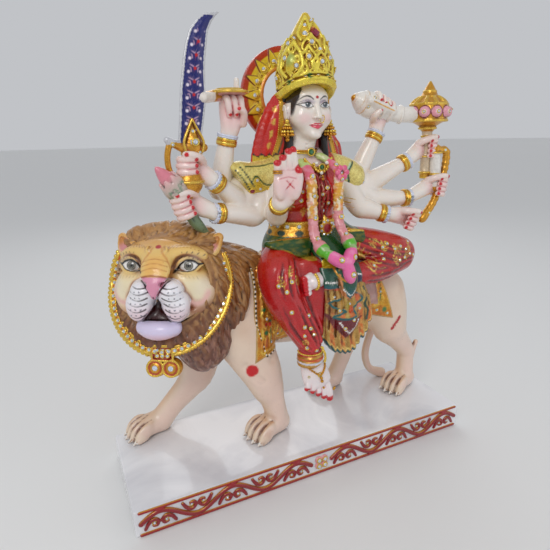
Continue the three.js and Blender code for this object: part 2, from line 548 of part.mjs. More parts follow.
const maceRadius = 22;
function mace() {
  const h = hands.mace;
  const [x, y] = [h[0] - 4, h[1] + 2];
  const profile = [[0, 272], [5.5, 272], [5.5, 326], [9, 329], [20, 335], [maceRadius, 343], [20, 352], [14, 357], [9, 361], [5, 370], [0, 377]];
  const spike = turned([[0, 0], [9, 0], [0, 12]], { at: [x + maceRadius - 4, y - 3, 346], axis: X, around: 6 });
  return [turned(profile, { at: [x, y, 0], around: 12 }), spike];
}

// The bow, end on, and the strut that ties it to the mace's handle.
function bow() {
  const h = hands.bow;
  const arc = limb([[h[0] + 2, h[1], h[2] + 38, 4, 4], [h[0] + 10, h[1], h[2] + 38, 4, 4], [h[0] + 9, h[1], h[2] + 22, 3.6, 3.6], [h[0] + 5, h[1], h[2] + 4, 3.6, 3.6], [h[0] - 4, h[1], h[2] - 20, 4, 4], [h[0] - 16, h[1], h[2] - 36, 5, 5]], { sides: 6, up: Y, bare: true });
  const rod = limb([[h[0] - 5, h[1] + 2, h[2] + 38, 6.5, 6], [h[0] - 3, h[1], h[2] + 6, 6.5, 6]], { sides: 6, up: Y, bare: true });
  return [arc, rod];
}

function sleeves() {
  return [
    limb([[0, 14, 292, 14, 15], [-24, 13, 286, 19, 17], [-42, 12, 276, 19, 17]], { sides: 12, flute: 0.03, round: 0.25, bare: true }),
    limb([[50, 14, 292, 14, 15], [70, 12, 284, 18, 16], [82, 10, 274, 18, 17]], { sides: 12, flute: 0.03, round: 0.25, bare: true }),
  ];
}

// The wide belt and the lobes of the overskirt that spread from it over both hips.
function belt() {
  const band = limb([[21, 8, 226, 45, 31], [21, 8, 240, 41, 28]], { up: Y, sides: 14, round: 0.1, bare: true });
  const lobes = limb([[24, 8, 204, 56, 38], [22, 8, 214, 52, 36], [21, 8, 226, 44, 30]], { up: Y, sides: 14, round: 0.1, bare: true });
  return [band, lobes];
}

function skirt() {
  const hips = limb([[0, 12, 204, 27, 34], [25, 12, 204, 29, 38], [54, 12, 204, 27, 34]], { up: Z, sides: 10, bare: true });
  const rightLeg = limb(
    [[0, 4, 206, 25, 25], [-22, -14, 204, 26, 24], [-31, -28, 190, 23, 20], [-26, -36, 164, 23, 18], [-10, -40, 136, 20, 16], [2, -42, 114, 14, 13], [6, -42, 103, 10, 11]],
    { sides: 14, up: X, flute: 0.05, twist: 0.4, bare: true },
  );
  const leftThigh = limb([[46, 2, 206, 26, 24], [86, -8, 200, 25, 23], [114, -16, 192, 24, 23], [130, -18, 188, 19, 19]], { sides: 12, flute: 0.04, twist: 0.4 });
  const leftShin = limb([[124, -24, 180, 16, 16], [88, -36, 174, 14, 15], [48, -40, 174, 13, 14], [16, -42, 180, 10, 10]], { sides: 10, flute: 0.05, twist: 0.4, bare: true });
  return [hips, rightLeg, leftThigh, leftShin];
}

// The apron between the legs: its pleats are deep flutes that fan out towards the hem.
function apron() {
  const pleats = limb([[36, -22, 200, 19, 9], [39, -45, 186, 24, 10], [41, -50, 150, 27, 9], [42, -50, 118, 30, 8], [42, -50, 101, 27, 6]], { up: Y, sides: 18, flute: 0.09, bare: true, round: 0.2 });
  const lap = limb([[32, -14, 222, 20, 8], [36, -32, 206, 20, 7], [40, -52, 182, 17, 6], [42, -56, 160, 8, 4]], { up: Y, sides: 7, bare: true });
  return [pleats, lap];
}

// A bare foot with five toes, pointing along -Y.
function foot(at, turn, size = 1) {
  const matrix = new THREE.Matrix4().makeTranslation(...at);
  matrix.multiply(new THREE.Matrix4().makeRotationFromEuler(new THREE.Euler(...turn.map(THREE.MathUtils.degToRad))));
  matrix.multiply(new THREE.Matrix4().makeScale(size, size, size));
  const sole = limb([[0, 10, 5, 8, 8], [0, -8, 3, 10, 7], [0, -24, 0, 12, 5]], { up: Z, sides: 7, bare: true, matrix });
  const toes = [-2, -1, 0, 1, 2].map((k) => limb([[k * 4.6, -24, 0, 2.6, 3.6], [k * 5, -34 + (2 - k) * 1.4, -1, 2.3, 3]], { up: Z, sides: 4, bare: true, matrix, round: 1 }));
  return [sole, toes];
}

// The garland: two strands from the shoulders that meet in a tassel of three petals on the lap.
function garland() {
  const strand = (points) => limb(points.map((p, i) => [...p, 5 + (i % 2) * 0.8, 4.5]), { up: Y, sides: 5, bare: true });
  return [
    strand([[4, 0, 300], [6, -16, 288], [7, -25, 272], [7, -24, 252], [8, -25, 234], [10, -32, 218], [18, -40, 208], [30, -50, 200], [40, -56, 192]]),
    strand([[42, 0, 300], [38, -16, 288], [36, -25, 272], [37, -24, 252], [38, -26, 234], [44, -34, 222], [52, -44, 210], [50, -54, 198], [42, -57, 192]]),
    ball([42, -58, 184], [8, 6, 9], { around: 6, rows: 5 }),
  ];
}

// The border's scrollwork on one side of its middle: a running wave between the rails, with a
// smaller arch under each crest and two curls over each dip.
function scrollwork(side) {
  const front = -plinthDepth / 2;
  const middle = plinthHeight / 2;
  const high = middle - borderRail - 1.5;
  const start = scrollPitch * 0.32;
  const end = plinthLength / 2 - plinthEdgeRound - 3;
  const halfWaves = 5;
  const span = (end - start) / halfWaves;
  const wave = [];
  const steps = 3;
  for (let i = 0; i <= halfWaves * steps; i++) {
    const t = i / steps;
    wave.push([side * (start + span * t), front, middle + high * Math.sin(Math.PI * t), 1.8, borderRelief]);
  }
  const parts = [limb(wave, { up: Y, sides: 4, bare: true, round: 0 })];
  for (let i = 0; i < halfWaves; i++) {
    const at = (u) => side * (start + span * (i + u));
    if (i % 2 === 0) {
      const arch = [[0.2, -0.95], [0.36, 0.05], [0.58, 0.1], [0.76, -0.6]].map(([u, w]) => [at(u), front, middle + high * w, 1.5, borderRelief]);
      parts.push(limb(arch, { up: Y, sides: 4, bare: true, round: 0 }));
    } else {
      for (const u of [0.38, 0.62]) parts.push(turned([[0, -1], [2.8, 0], [1.8, borderRelief], [0, borderRelief]], { at: [at(u), front, middle + high * 0.55], axis: Y.clone().negate(), around: 6 }));
    }
  }
  return parts;
}

// The flower in the border's middle: four round petals.
function flower() {
  return [0, 1, 2, 3].map((k) => {
    const angle = (Math.PI / 2) * k;
    const reach = scrollPitch * 0.13;
    const at = [Math.cos(angle) * reach, -plinthDepth / 2, plinthHeight / 2 + Math.sin(angle) * reach];
    return turned([[0, -1], [3.2, 0], [2, borderRelief], [0, borderRelief]], { at, axis: Y.clone().negate(), around: 7 });
  });
}

function plinth() {
  const [l, d, r] = [plinthLength / 2, plinthDepth / 2, plinthEdgeRound];
  const slab = new THREE.Shape();
  slab.moveTo(-l + r, -d);
  slab.lineTo(l - r, -d);
  slab.quadraticCurveTo(l, -d, l, -d + r);
  slab.lineTo(l, d - r);
  slab.quadraticCurveTo(l, d, l - r, d);
  slab.lineTo(-l + r, d);
  slab.quadraticCurveTo(-l, d, -l, d - r);
  slab.lineTo(-l, -d + r);
  slab.quadraticCurveTo(-l, -d, -l + r, -d);
  const block = solid(new THREE.ExtrudeGeometry(slab, { depth: plinthHeight, bevelEnabled: false, curveSegments: 3 }));
  const rail = (z) => {
    const bar = new THREE.BoxGeometry(plinthLength - 2 * r, 2 * borderRelief, borderRail);
    return solid(bar, new THREE.Matrix4().makeTranslation(0, -d, z));
  };
  return [block, rail(borderRail / 2), rail(plinthHeight - borderRail / 2), scrollwork(-1), scrollwork(1), flower()];
}

// Everything above the slab, at modelHeight.
function figure() {
  return join([
    lion(), saddleCloth(), goddessBody(), goddessHead(), crown(), halo(), veil(), arms(), sword(), lotus(), mace(), bow(),
    sleeves(), belt(), skirt(), apron(), foot([5, -38, 96], [62, 0, -8], 1.12), foot([-2, -46, 178], [0, 0, -78], 0.9), garland(),
  ]);
}

// A solid as a named three.js mesh.
function mesh(name, made, look) {
  const out = made.getMesh();
  const geometry = new THREE.BufferGeometry();
  geometry.setAttribute("position", new THREE.BufferAttribute(new Float32Array(out.vertProperties), 3));
  geometry.setIndex(new THREE.BufferAttribute(new Uint32Array(out.triVerts), 1));
  const result = new THREE.Mesh(geometry, new THREE.MeshStandardMaterial(look));
  result.name = name;
  return result;
}

// The larger glued stones: where each sits on the figure, which way it faces, and its half-width.
const [swordX, swordY] = swordAt;
const faceOut = new THREE.Vector3().setFromMatrixColumn(headFrame(), 1);
const onPendant = (x) => new THREE.Vector3(x, 21.5, pendantDrop).applyMatrix4(headFrame()).toArray();
const stones = [
  { name: "crown_stone", at: [23, -8.6, 414], axis: [0, -0.88, 0.47], radius: crownStoneSide / Math.SQRT2, around: 4, look: "ruby" },
  { name: "belt_stone", at: [26, -22, 230], axis: [0.1, -1, 0.15], radius: roundStone / 2, around: 7, look: "ruby" },
  { name: "pommel_stone", at: [swordX - 8.2, swordY - 8.2, 274], axis: [-0.6, -0.8, 0], radius: roundStone / 2, around: 7, look: "ruby" },
  { name: "hilt_stone", at: [swordX + 2.5, swordY - 6.6, 318], axis: [0, -1, 0.2], radius: dropStone / 2, around: 6, look: "clear" },
  { name: "pendant_stone_left", at: onPendant(pendantSides[0]), axis: faceOut.toArray(), radius: roundStone / 2, around: 7, look: "clear" },
  { name: "pendant_stone_right", at: onPendant(pendantSides[1]), axis: faceOut.toArray(), radius: roundStone / 2, around: 7, look: "clear" },
];

// A stone's form, or with `room` the seat that it is glued into.
function stone({ at, axis, radius, around }, room = 0) {
  const wide = radius + room;
  const top = room ? stoneRise * 3 : stoneRise;
  const table = room ? wide : wide * 0.55;
  return turned([[0, -stoneDepth - room], [wide, -stoneDepth - room], [wide, room ? top : 0.3], [table, top], [0, top]], { at, axis: vec(axis).normalize(), around });
}

const marble = { color: 0xe9e4da, roughness: 0.35, metalness: 0 };
const looks = {
  ruby: { color: 0x8c1033, roughness: 0.08, metalness: 0.1 },
  clear: { color: 0xeaf2ff, roughness: 0.05, metalness: 0.2 },
};
const lift = new THREE.Matrix4().makeTranslation(0, 0, plinthHeight).multiply(new THREE.Matrix4().makeScale(figureScale, figureScale, figureScale));
const placed = (made) => made.transform(lift.elements);
let carving = withoutSlivers(join([placed(figure()), plinth()]), sliverTolerance);
for (const one of stones) carving = carving.subtract(placed(stone(one, stoneGap)));
const group = new THREE.Group();
group.add(mesh("carved_statue", carving, marble));
for (const one of stones) group.add(mesh(one.name, placed(stone(one)), looks[one.look]));

export default group;
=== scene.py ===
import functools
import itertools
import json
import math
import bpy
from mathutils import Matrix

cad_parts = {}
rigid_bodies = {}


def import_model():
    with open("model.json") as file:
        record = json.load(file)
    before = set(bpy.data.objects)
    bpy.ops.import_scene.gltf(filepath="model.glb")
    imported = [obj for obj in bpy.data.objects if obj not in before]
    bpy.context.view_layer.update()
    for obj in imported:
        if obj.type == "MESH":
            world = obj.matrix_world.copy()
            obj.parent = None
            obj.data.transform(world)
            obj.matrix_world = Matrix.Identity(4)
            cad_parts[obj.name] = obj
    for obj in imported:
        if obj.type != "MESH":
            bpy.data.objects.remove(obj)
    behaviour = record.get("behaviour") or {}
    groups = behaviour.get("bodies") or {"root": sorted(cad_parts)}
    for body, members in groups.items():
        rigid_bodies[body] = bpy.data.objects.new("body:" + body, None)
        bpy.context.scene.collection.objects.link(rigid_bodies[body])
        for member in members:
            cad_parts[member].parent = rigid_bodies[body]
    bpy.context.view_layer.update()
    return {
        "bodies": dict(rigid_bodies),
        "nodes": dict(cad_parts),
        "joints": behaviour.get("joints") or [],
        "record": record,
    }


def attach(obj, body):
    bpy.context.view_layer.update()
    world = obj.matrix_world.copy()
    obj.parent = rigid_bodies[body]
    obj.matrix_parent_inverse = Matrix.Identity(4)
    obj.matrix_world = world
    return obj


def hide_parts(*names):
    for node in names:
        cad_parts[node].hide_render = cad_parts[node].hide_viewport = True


bl_info = {
    "name": "Painted Marble Goddess on a Lion",
    "version": (1, 0, 0),
    "blender": (4, 5, 0),
    "location": "3D View > Sidebar > Statue",
    "description": "Dresses the carved statue: painted marble, gilding, glued stones and its plinth",
    "category": "Object",
}

import bpy
import numpy as np
import openvdb
from bpy.props import FloatProperty, FloatVectorProperty, PointerProperty
from mathutils import Matrix, Vector

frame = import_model()

MM = 0.001
FAR = 1000.0
X, Y, Z = np.eye(3)
UP = tuple(Z)
SIDES = (-1, 1)


def tint(name, use, red, green, blue):
    """A colour property, as it looks on screen."""
    return FloatVectorProperty(name=name, description=use, default=(red, green, blue), min=0, max=1,
                               size=3, subtype="COLOR_GAMMA")


def length(name, use, metres):
    """A length property, in metres."""
    return FloatProperty(name=name, description=use, default=metres, min=0.0, subtype="DISTANCE",
                         unit="LENGTH")


class StatueColours(bpy.types.PropertyGroup):
    marble: tint("Marble", "Bare polished stone", 0.93, 0.91, 0.88)
    skin: tint("Skin", "The goddess's ivory skin", 0.93, 0.895, 0.86)
    blush: tint("Blush", "Palms, knuckles and cheeks", 0.93, 0.66, 0.68)
    ochre: tint("Ochre", "Airbrushed shade on the skin and coat", 0.86, 0.70, 0.42)
    red: tint("Red", "Veil, blouse and skirt", 0.70, 0.055, 0.075)
    maroon: tint("Maroon", "Shade in the red cloth, and the border", 0.40, 0.02, 0.05)
    gold: tint("Gold", "Gold paint", 0.86, 0.62, 0.20)
    pale_gold: tint("Pale gold", "Brightest gold paint", 0.96, 0.82, 0.36)
    green: tint("Green", "Green cloth and edges", 0.05, 0.32, 0.20)
    teal: tint("Teal", "Zigzag edges", 0.04, 0.42, 0.42)
    rose: tint("Rose", "The garland's pink flowers", 0.93, 0.42, 0.58)
    marigold: tint("Marigold", "The garland's yellow flowers", 0.90, 0.66, 0.18)
    leaf: tint("Leaf", "Sepals and stem", 0.48, 0.62, 0.52)
    blue: tint("Blue", "The blade's ground", 0.07, 0.10, 0.42)
    ink: tint("Ink", "Eyes, brows and outlines", 0.03, 0.025, 0.03)
    hair: tint("Hair", "The goddess's hair", 0.09, 0.06, 0.06)
    cream: tint("Cream", "The lion's coat", 0.92, 0.83, 0.745)
    # This colour is painted shade on the side of the coat that faces away from the front.
    tan: tint("Tan", "Airbrushed edges of the coat", 0.74, 0.50, 0.30)
    mane: tint("Mane", "The mane's upper locks", 0.62, 0.42, 0.20)
    mane_low: tint("Lower mane", "The mane's lower locks", 0.42, 0.22, 0.15)
    nose: tint("Nose", "The lion's nose and inner ears", 0.87, 0.58, 0.68)
    lip: tint("Lip", "The lion's lower lip", 0.86, 0.82, 0.93)
    mouth: tint("Mouth", "Inside the lion's mouth", 0.22, 0.07, 0.07)


class StatueSizes(bpy.types.PropertyGroup):
    plinth_length: length("Plinth length", "Long side of the slab", 0.390)
    plinth_depth: length("Plinth depth", "Short side of the slab", 0.128)
    plinth_height: length("Plinth height", "Thickness of the slab", 0.028)
    bead: length("Bead", "Radius of the raised beads along edges", 0.0011)
    stone: length("Stone", "Radius of the common glued stones", 0.0019)
    coat_grain: length("Coat grid", "Carving grid of the lion's body", 0.0015)
    mane_grain: length("Mane grid", "Carving grid of the mane", 0.0011)
    cloth_grain: length("Cloth grid", "Carving grid of skirt, veil and saddle cloth", 0.0012)
    muzzle_grain: length("Muzzle grid", "Carving grid of the lion's head", 0.0008)
    limb_grain: length("Limb grid", "Carving grid of arms, hands and feet", 0.0009)
    gold_grain: length("Gold grid", "Carving grid of crown, halo and weapons", 0.0008)
    face_grain: length("Face grid", "Carving grid of the goddess's face", 0.0006)


def colours():
    return bpy.context.scene.statue_colours


def sizes():
    return bpy.context.scene.statue_sizes


def mm(name):
    """One of the statue's sizes, in millimetres."""
    return getattr(sizes(), name) / MM


def linear(colour):
    """A screen colour, or the name of one of the statue's colours, as light."""
    value = np.array(getattr(colours(), colour) if isinstance(colour, str) else colour, float)
    return np.where(value <= 0.04045, value / 12.92, ((value + 0.055) / 1.055) ** 2.4)


def unit(vector):
    vector = np.asarray(vector, float)
    return vector / np.linalg.norm(vector)


def ramp(start, end, value):
    """A soft step from 0 at start to 1 at end."""
    t = np.clip((value - start) / (end - start), 0, 1)
    return t * t * (3 - 2 * t)


def spline(points, steps):
    """Rows on a smooth curve through `points`, `steps` of them for each stretch."""
    rows = np.array(points, float)
    if len(rows) == 2:
        return rows[0] + np.linspace(0, 1, steps + 1)[:, None] * (rows[1] - rows[0])
    ends = np.vstack([2 * rows[0] - rows[1], rows, 2 * rows[-1] - rows[-2]])
    t = (np.arange(steps) / steps)[:, None]
    out = []
    for a, b, c, d in zip(ends[:-3], ends[1:-2], ends[2:-1], ends[3:]):
        out.append(0.5 * (2 * b + (c - a) * t + (2 * a - 5 * b + 4 * c - d) * t**2 +
                          (3 * b - a - 3 * c + d) * t**3))
    return np.vstack(out + [rows[-1:]])


def arc(centre, across, up, radii, start, end, count):
    """Points on an ellipse, from one angle to another in degrees."""
    angles = np.radians(np.linspace(start, end, count))[:, None]
    return (np.array(centre) + np.cos(angles) * radii[0] * np.array(across) +
            np.sin(angles) * radii[1] * np.array(up))


def spaced(path, gap):
    """Points at even distances along a path."""
    path = np.array(path, float)
    far = np.concatenate([[0], np.cumsum(np.linalg.norm(np.diff(path, axis=0), axis=1))])
    count = max(2, int(round(far[-1] / gap)) + 1)
    at = np.linspace(0, far[-1], count)
    return np.column_stack([np.interp(at, far, path[:, k]) for k in range(path.shape[1])])


def waves(points, size, seed):
    """Smooth unevenness between -1 and 1, always the same for a seed."""
    random = np.random.default_rng(seed)
    total = np.zeros(len(points))
    for _ in range(6):
        heading = unit(random.normal(size=3))
        span = size * random.uniform(0.7, 1.4)
        start = random.uniform(0, 2 * math.pi)
        total += np.sin(points @ heading * 2 * math.pi / span + start)
    return total / 3.2


class Place:
    """A turned and moved set of axes: columns across, out and up, and where its origin stands."""

    def __init__(self, axes=np.eye(3), at=(0, 0, 0)):
        self.axes = np.array(axes, float)
        self.at = np.array(at, float)

    def __call__(self, points):
        return np.asarray(points, float) @ self.axes.T + self.at

    def back(self, points):
        return (np.asarray(points, float) - self.at) @ np.linalg.inv(self.axes.T)

    def turned(self, vectors):
        return np.asarray(vectors, float) @ np.linalg.inv(self.axes)

    def stations(self, rows):
        """Stations of a limb, moved here."""
        rows = [list(r) for r in rows]
        return [list(self(r[:3])) + r[3:] for r in rows]


def turned_axes(yaw=0.0, lift=0.0, roll=0.0):
    """Axes turned about Z, then about the new X, then about the new Y, in degrees."""
    y, p, r = (math.radians(v) for v in (yaw, lift, roll))
    about_z = np.array([[math.cos(y), -math.sin(y), 0], [math.sin(y), math.cos(y), 0], [0, 0, 1]])
    about_x = np.array([[1, 0, 0], [0, math.cos(p), -math.sin(p)], [0, math.sin(p), math.cos(p)]])
    about_y = np.array([[math.cos(r), 0, math.sin(r)], [0, 1, 0], [-math.sin(r), 0, math.cos(r)]])
    return about_z @ about_x @ about_y


def inside_outline(x, z, outline):
    """Signed distance to a closed outline in the picture plane, negative inside."""
    gap = np.full(np.shape(x), FAR)
    sign = np.ones(np.shape(x))
    for k in range(len(outline)):
        ax, az = outline[k]
        bx, bz = outline[(k + 1) % len(outline)]
        ex, ez = bx - ax, bz - az
        t = np.clip(((x - ax) * ex + (z - az) * ez) / (ex * ex + ez * ez), 0, 1)
        gap = np.minimum(gap, np.hypot(x - ax - t * ex, z - az - t * ez))
        crosses = ((az <= z) != (bz <= z)) & (x < ax + (z - az) * ex / (ez if ez else 1e-9))
        sign = np.where(crosses, -sign, sign)
    return sign * gap


class Clay:
    """A block of clay on a grid of signed distances, in millimetres above the plinth's top.

    Smooth forms are joined to it or cut from it, and the block is then cast as a mesh."""

    def __init__(self, low, high, step, place=None):
        self.low = np.array(low, float)
        self.step = step
        self.place = place or Place()
        shape = [int(math.ceil((b - a) / step)) + 1 for a, b in zip(low, high)]
        self.field = np.full(shape, FAR, np.float32)

    def window(self, low, high):
        """The part of the grid between two corners, and its coordinates."""
        limit = np.array(self.field.shape)
        first = np.clip(np.floor((np.array(low) - self.low) / self.step).astype(int), 0, limit - 1)
        last = np.clip(np.ceil((np.array(high) - self.low) / self.step).astype(int) + 1, first + 1, limit)
        part = tuple(slice(a, b) for a, b in zip(first, last))
        axes = [(self.low[k] + self.step * np.arange(first[k], last[k])).astype(np.float32)
                for k in range(3)]
        return part, np.meshgrid(*axes, indexing="ij", sparse=True)

    def merge(self, part, made, blend, cut=False):
        """Joins or cuts a form, its join as soft as `blend`."""
        sign = -1 if cut else 1
        old = sign * self.field[part]
        h = np.clip(0.5 + 0.5 * (old - made) / blend, 0, 1)
        self.field[part] = sign * (old + (made - old) * h - blend * h * (1 - h))
        return self

    def tube(self, stations, up=UP, blend=2.0, steps=4, cut=False, ends=1.0, folds=None):
        """A limb through stations [x, y, z, a, b]: a is its half-width square to the path and `up`,
        b the one towards `up`. folds is (count, depth, turns): grooves that run along it."""
        rows = [list(s) + ([s[3]] if len(s) == 4 else []) for s in stations]
        path = spline(rows, steps)
        path[:, 3:] = np.maximum(path[:, 3:], 0.15)
        margin = blend + 4 * self.step + (folds[1] if folds else 0)
        widest = path[:, 3:].max(axis=1)[:, None]
        part, (x, y, z) = self.window((path[:, :3] - widest).min(0) - margin,
                                      (path[:, :3] + widest).max(0) + margin)
        made = np.full(self.field[part].shape, FAR, np.float32)
        corner = self.low + self.step * np.array([s.start for s in part])
        for i, (p, q) in enumerate(zip(path[:-1], path[1:])):
            axis = q[:3] - p[:3]
            long = np.linalg.norm(axis)
            if long < 1e-6:
                continue
            axis /= long
            side = np.cross(up, axis)
            side = unit(side if np.linalg.norm(side) > 1e-3 else np.cross(axis, unit((0.3, 0.5, 0.8))))
            rise = np.cross(axis, side)
            reach = max(p[3], p[4], q[3], q[4]) + margin
            low = np.minimum(p[:3], q[:3]) - reach
            high = np.maximum(p[:3], q[:3]) + reach
            first = np.clip(((low - corner) / self.step).astype(int), 0, None)
            last = np.clip(np.ceil((high - corner) / self.step).astype(int) + 1, 0, made.shape)
            cell = tuple(slice(a, b) for a, b in zip(first, last))
            if min(b - a for a, b in zip(first, last)) <= 0:
                continue
            dx = x[cell[0]] - p[0]
            dy = y[:, cell[1]] - p[1]
            dz = z[:, :, cell[2]] - p[2]
            along = dx * axis[0] + dy * axis[1] + dz * axis[2]
            t = np.clip(along / long, 0, 1)
            past = along - t * long
            s = dx * side[0] + dy * side[1] + dz * side[2]
            r = dx * rise[0] + dy * rise[1] + dz * rise[2]
            a = p[3] + (q[3] - p[3]) * t
            b = p[4] + (q[4] - p[4]) * t
            cap = np.minimum(a, b) * (ends if i in (0, len(path) - 2) else 1)
            k0 = np.sqrt((s / a) ** 2 + (r / b) ** 2 + (past / cap) ** 2)
            k1 = np.sqrt((s / a**2) ** 2 + (r / b**2) ** 2 + (past / cap**2) ** 2)
            distance = k0 * (k0 - 1) / (k1 + 1e-6)
            if folds:
                count, depth, turns = folds
                along_all = (i + t) / (len(path) - 1)
                twist = np.arctan2(r / b, s / a) + 2 * math.pi * turns * along_all
                distance = distance - depth * np.cos(count * twist)
            made[cell] = np.minimum(made[cell], distance)
        return self.merge(part, made, blend, cut)

    def ball(self, at, radii, axes=None, blend=2.0, cut=False):
        """An ellipsoid, its axes turned by the columns of `axes`."""
        radii = np.broadcast_to(np.array(radii, float), (3,))
        at = np.array(at, float)
        reach = radii.max() + blend + 4 * self.step
        part, (x, y, z) = self.window(at - reach, at + reach)
        axes = np.eye(3) if axes is None else np.array(axes)
        spread = [((x - at[0]) * axes[0, k] + (y - at[1]) * axes[1, k] + (z - at[2]) * axes[2, k])
                  for k in range(3)]
        k0 = np.sqrt(sum((s / r) ** 2 for s, r in zip(spread, radii)))
        k1 = np.sqrt(sum((s / r**2) ** 2 for s, r in zip(spread, radii)))
        return self.merge(part, k0 * (k0 - 1) / (k1 + 1e-6), blend, cut)

    def both(self, form, rows, **how):
        """The same form on both sides of the block's middle."""
        for side in SIDES:
            if form == "ball":
                self.ball((side * rows[0], rows[1], rows[2]), rows[3], **how)
            else:
                self.tube([[side * r[0]] + list(r[1:]) for r in rows], **how)
        return self

    def shape(self, low, high, rule, blend=0.5, cut=False):
        """A form given by a rule of x, y and z that returns a distance."""
        part, (x, y, z) = self.window(low, high)
        made = np.broadcast_to(rule(x, y, z), self.field[part].shape).astype(np.float32)
        return self.merge(part, made, blend, cut)

    def keep(self, low, high, rule, blend=1.0):
        """Keeps only what lies inside a rule's form."""
        part, (x, y, z) = self.window(low, high)
        made = np.broadcast_to(rule(x, y, z), self.field[part].shape).astype(np.float32)
        return self.merge(part, -made, blend, cut=True)

    def sample(self, points):
        g = (np.asarray(points, float) - self.low) / self.step
        cell = np.clip(np.floor(g).astype(int), 0, np.array(self.field.shape) - 2)
        f = np.clip(g - cell, 0, 1)
        total = np.zeros(len(g))
        for corner in itertools.product((0, 1), repeat=3):
            weight = np.prod(np.where(corner, f, 1 - f), axis=1)
            index = cell + corner
            total += weight * self.field[index[:, 0], index[:, 1], index[:, 2]]
        return total

    def slope(self, points):
        """Outward normals."""
        points = np.asarray(points, float)
        e = self.step
        rows = [self.sample(points + e * axis) - self.sample(points - e * axis) for axis in np.eye(3)]
        normals = np.column_stack(rows)
        return normals / (np.linalg.norm(normals, axis=1)[:, None] + 1e-9)

    def press(self, points, lift=0.0):
        """Points moved onto the surface, or `lift` above it."""
        points = np.array(points, float)
        for _ in range(6):
            points = points - self.slope(points) * np.clip(self.sample(points) - lift, -4, 4)[:, None] * 0.8
        return points

    def meet(self, starts, toward, far=200.0):
        """Where rays first meet the surface. A ray that misses keeps its start."""
        starts = np.atleast_2d(np.array(starts, float))
        toward = unit(toward)
        found = starts.copy()
        open_rays = np.ones(len(starts), bool)
        for distance in np.arange(0, far, self.step * 0.7):
            points = starts + toward * distance
            hit = open_rays & (self.sample(points) <= 0)
            found[hit] = points[hit]
            open_rays &= ~hit
            if not open_rays.any():
                break
        return found

    def front(self, places, y=-75.0):
        """The points of the front at given (x, z)."""
        places = np.atleast_2d(np.array(places, float))
        return self.meet(np.column_stack([places[:, 0], np.full(len(places), y), places[:, 1]]), Y)

    def cast(self):
        """The surface as points, faces and outward normals."""
        band = 4 * self.step
        grid = openvdb.FloatGrid(band)
        grid.copyFromArray(np.clip(self.field, -band, band))
        points, triangles, quads = grid.convertToPolygons(isovalue=0.0)
        points = np.array(points, float) * self.step + self.low
        faces = [np.array(f, int)[:, ::-1] for f in (triangles, quads) if len(f)]
        some = faces[-1][:: max(1, len(faces[-1]) // 500)]
        across = np.cross(points[some[:, 1]] - points[some[:, 0]], points[some[:, 2]] - points[some[:, 0]])
        out = self.slope(points[some].mean(axis=1))
        if (across * out).sum() < 0:
            faces = [f[:, ::-1] for f in faces]
        return points, faces, self.slope(points)

    def hollows(self, points, normals, reach=4.0):
        """1 in grooves and where forms meet, 0 on open surface: the mask by which shade is painted in."""
        return np.clip((reach - self.sample(points + normals * reach)) / reach * 1.6, 0, 1)

    def ridges(self, points, normals, reach=3.0):
        """1 on sharp ridges and thin parts, 0 on flat surface: the mask by which highlights are painted in.
        """
        return np.clip((self.sample(points - normals * reach) + reach) / reach * 1.6, 0, 1)


class Paint:
    """Colour and gilding on the points of a cast."""

    def __init__(self, points, normals, base, gold=0.0):
        self.points = points
        self.normals = normals
        self.colour = np.tile(linear(base), (len(points), 1))
        self.gilt = np.full(len(points), float(gold))

    def wash(self, mask, colour, gold=0.0):
        mask = np.clip(np.broadcast_to(mask, len(self.points)), 0, 1)
        self.colour += mask[:, None] * (linear(colour) - self.colour)
        self.gilt += mask * (gold - self.gilt)
        return self

    def stroke(self, path, width, colour, soft=0.45, gold=0.0):
        """A painted line; `width` may be one number or one for each point of the path."""
        path = np.array(path, float)
        wide = np.broadcast_to(np.array(width, float), len(path)) / 2
        reach = wide.max() + soft
        inside = np.all((self.points > path.min(0) - reach) & (self.points < path.max(0) + reach), axis=1)
        index = np.nonzero(inside)[0]
        if not len(index):
            return self
        near = self.points[index]
        mask = np.zeros(len(index))
        for p, q, a, b in zip(path[:-1], path[1:], wide[:-1], wide[1:]):
            run = q - p
            t = np.clip((near - p) @ run / (run @ run + 1e-9), 0, 1)
            gap = np.linalg.norm(near - p - t[:, None] * run, axis=1)
            mask = np.maximum(mask, 1 - ramp(-soft, soft, gap - (a + (b - a) * t)))
        self.colour[index] += mask[:, None] * (linear(colour) - self.colour[index])
        self.gilt[index] += mask * (gold - self.gilt[index])
        return self

    def spot(self, at, radii, colour, soft=0.3, gold=0.0, axes=None, strength=1.0):
        """An oval touch of the brush."""
        radii = np.broadcast_to(np.array(radii, float), (3,))
        apart = self.points - np.array(at, float)
        if axes is not None:
            apart = apart @ np.array(axes)
        distance = np.sqrt(((apart / radii) ** 2).sum(axis=1))
        return self.wash((1 - ramp(1 - soft, 1 + soft, distance)) * strength, colour, gold)


def link(tree, start, end):
    tree.links.new(start, end)


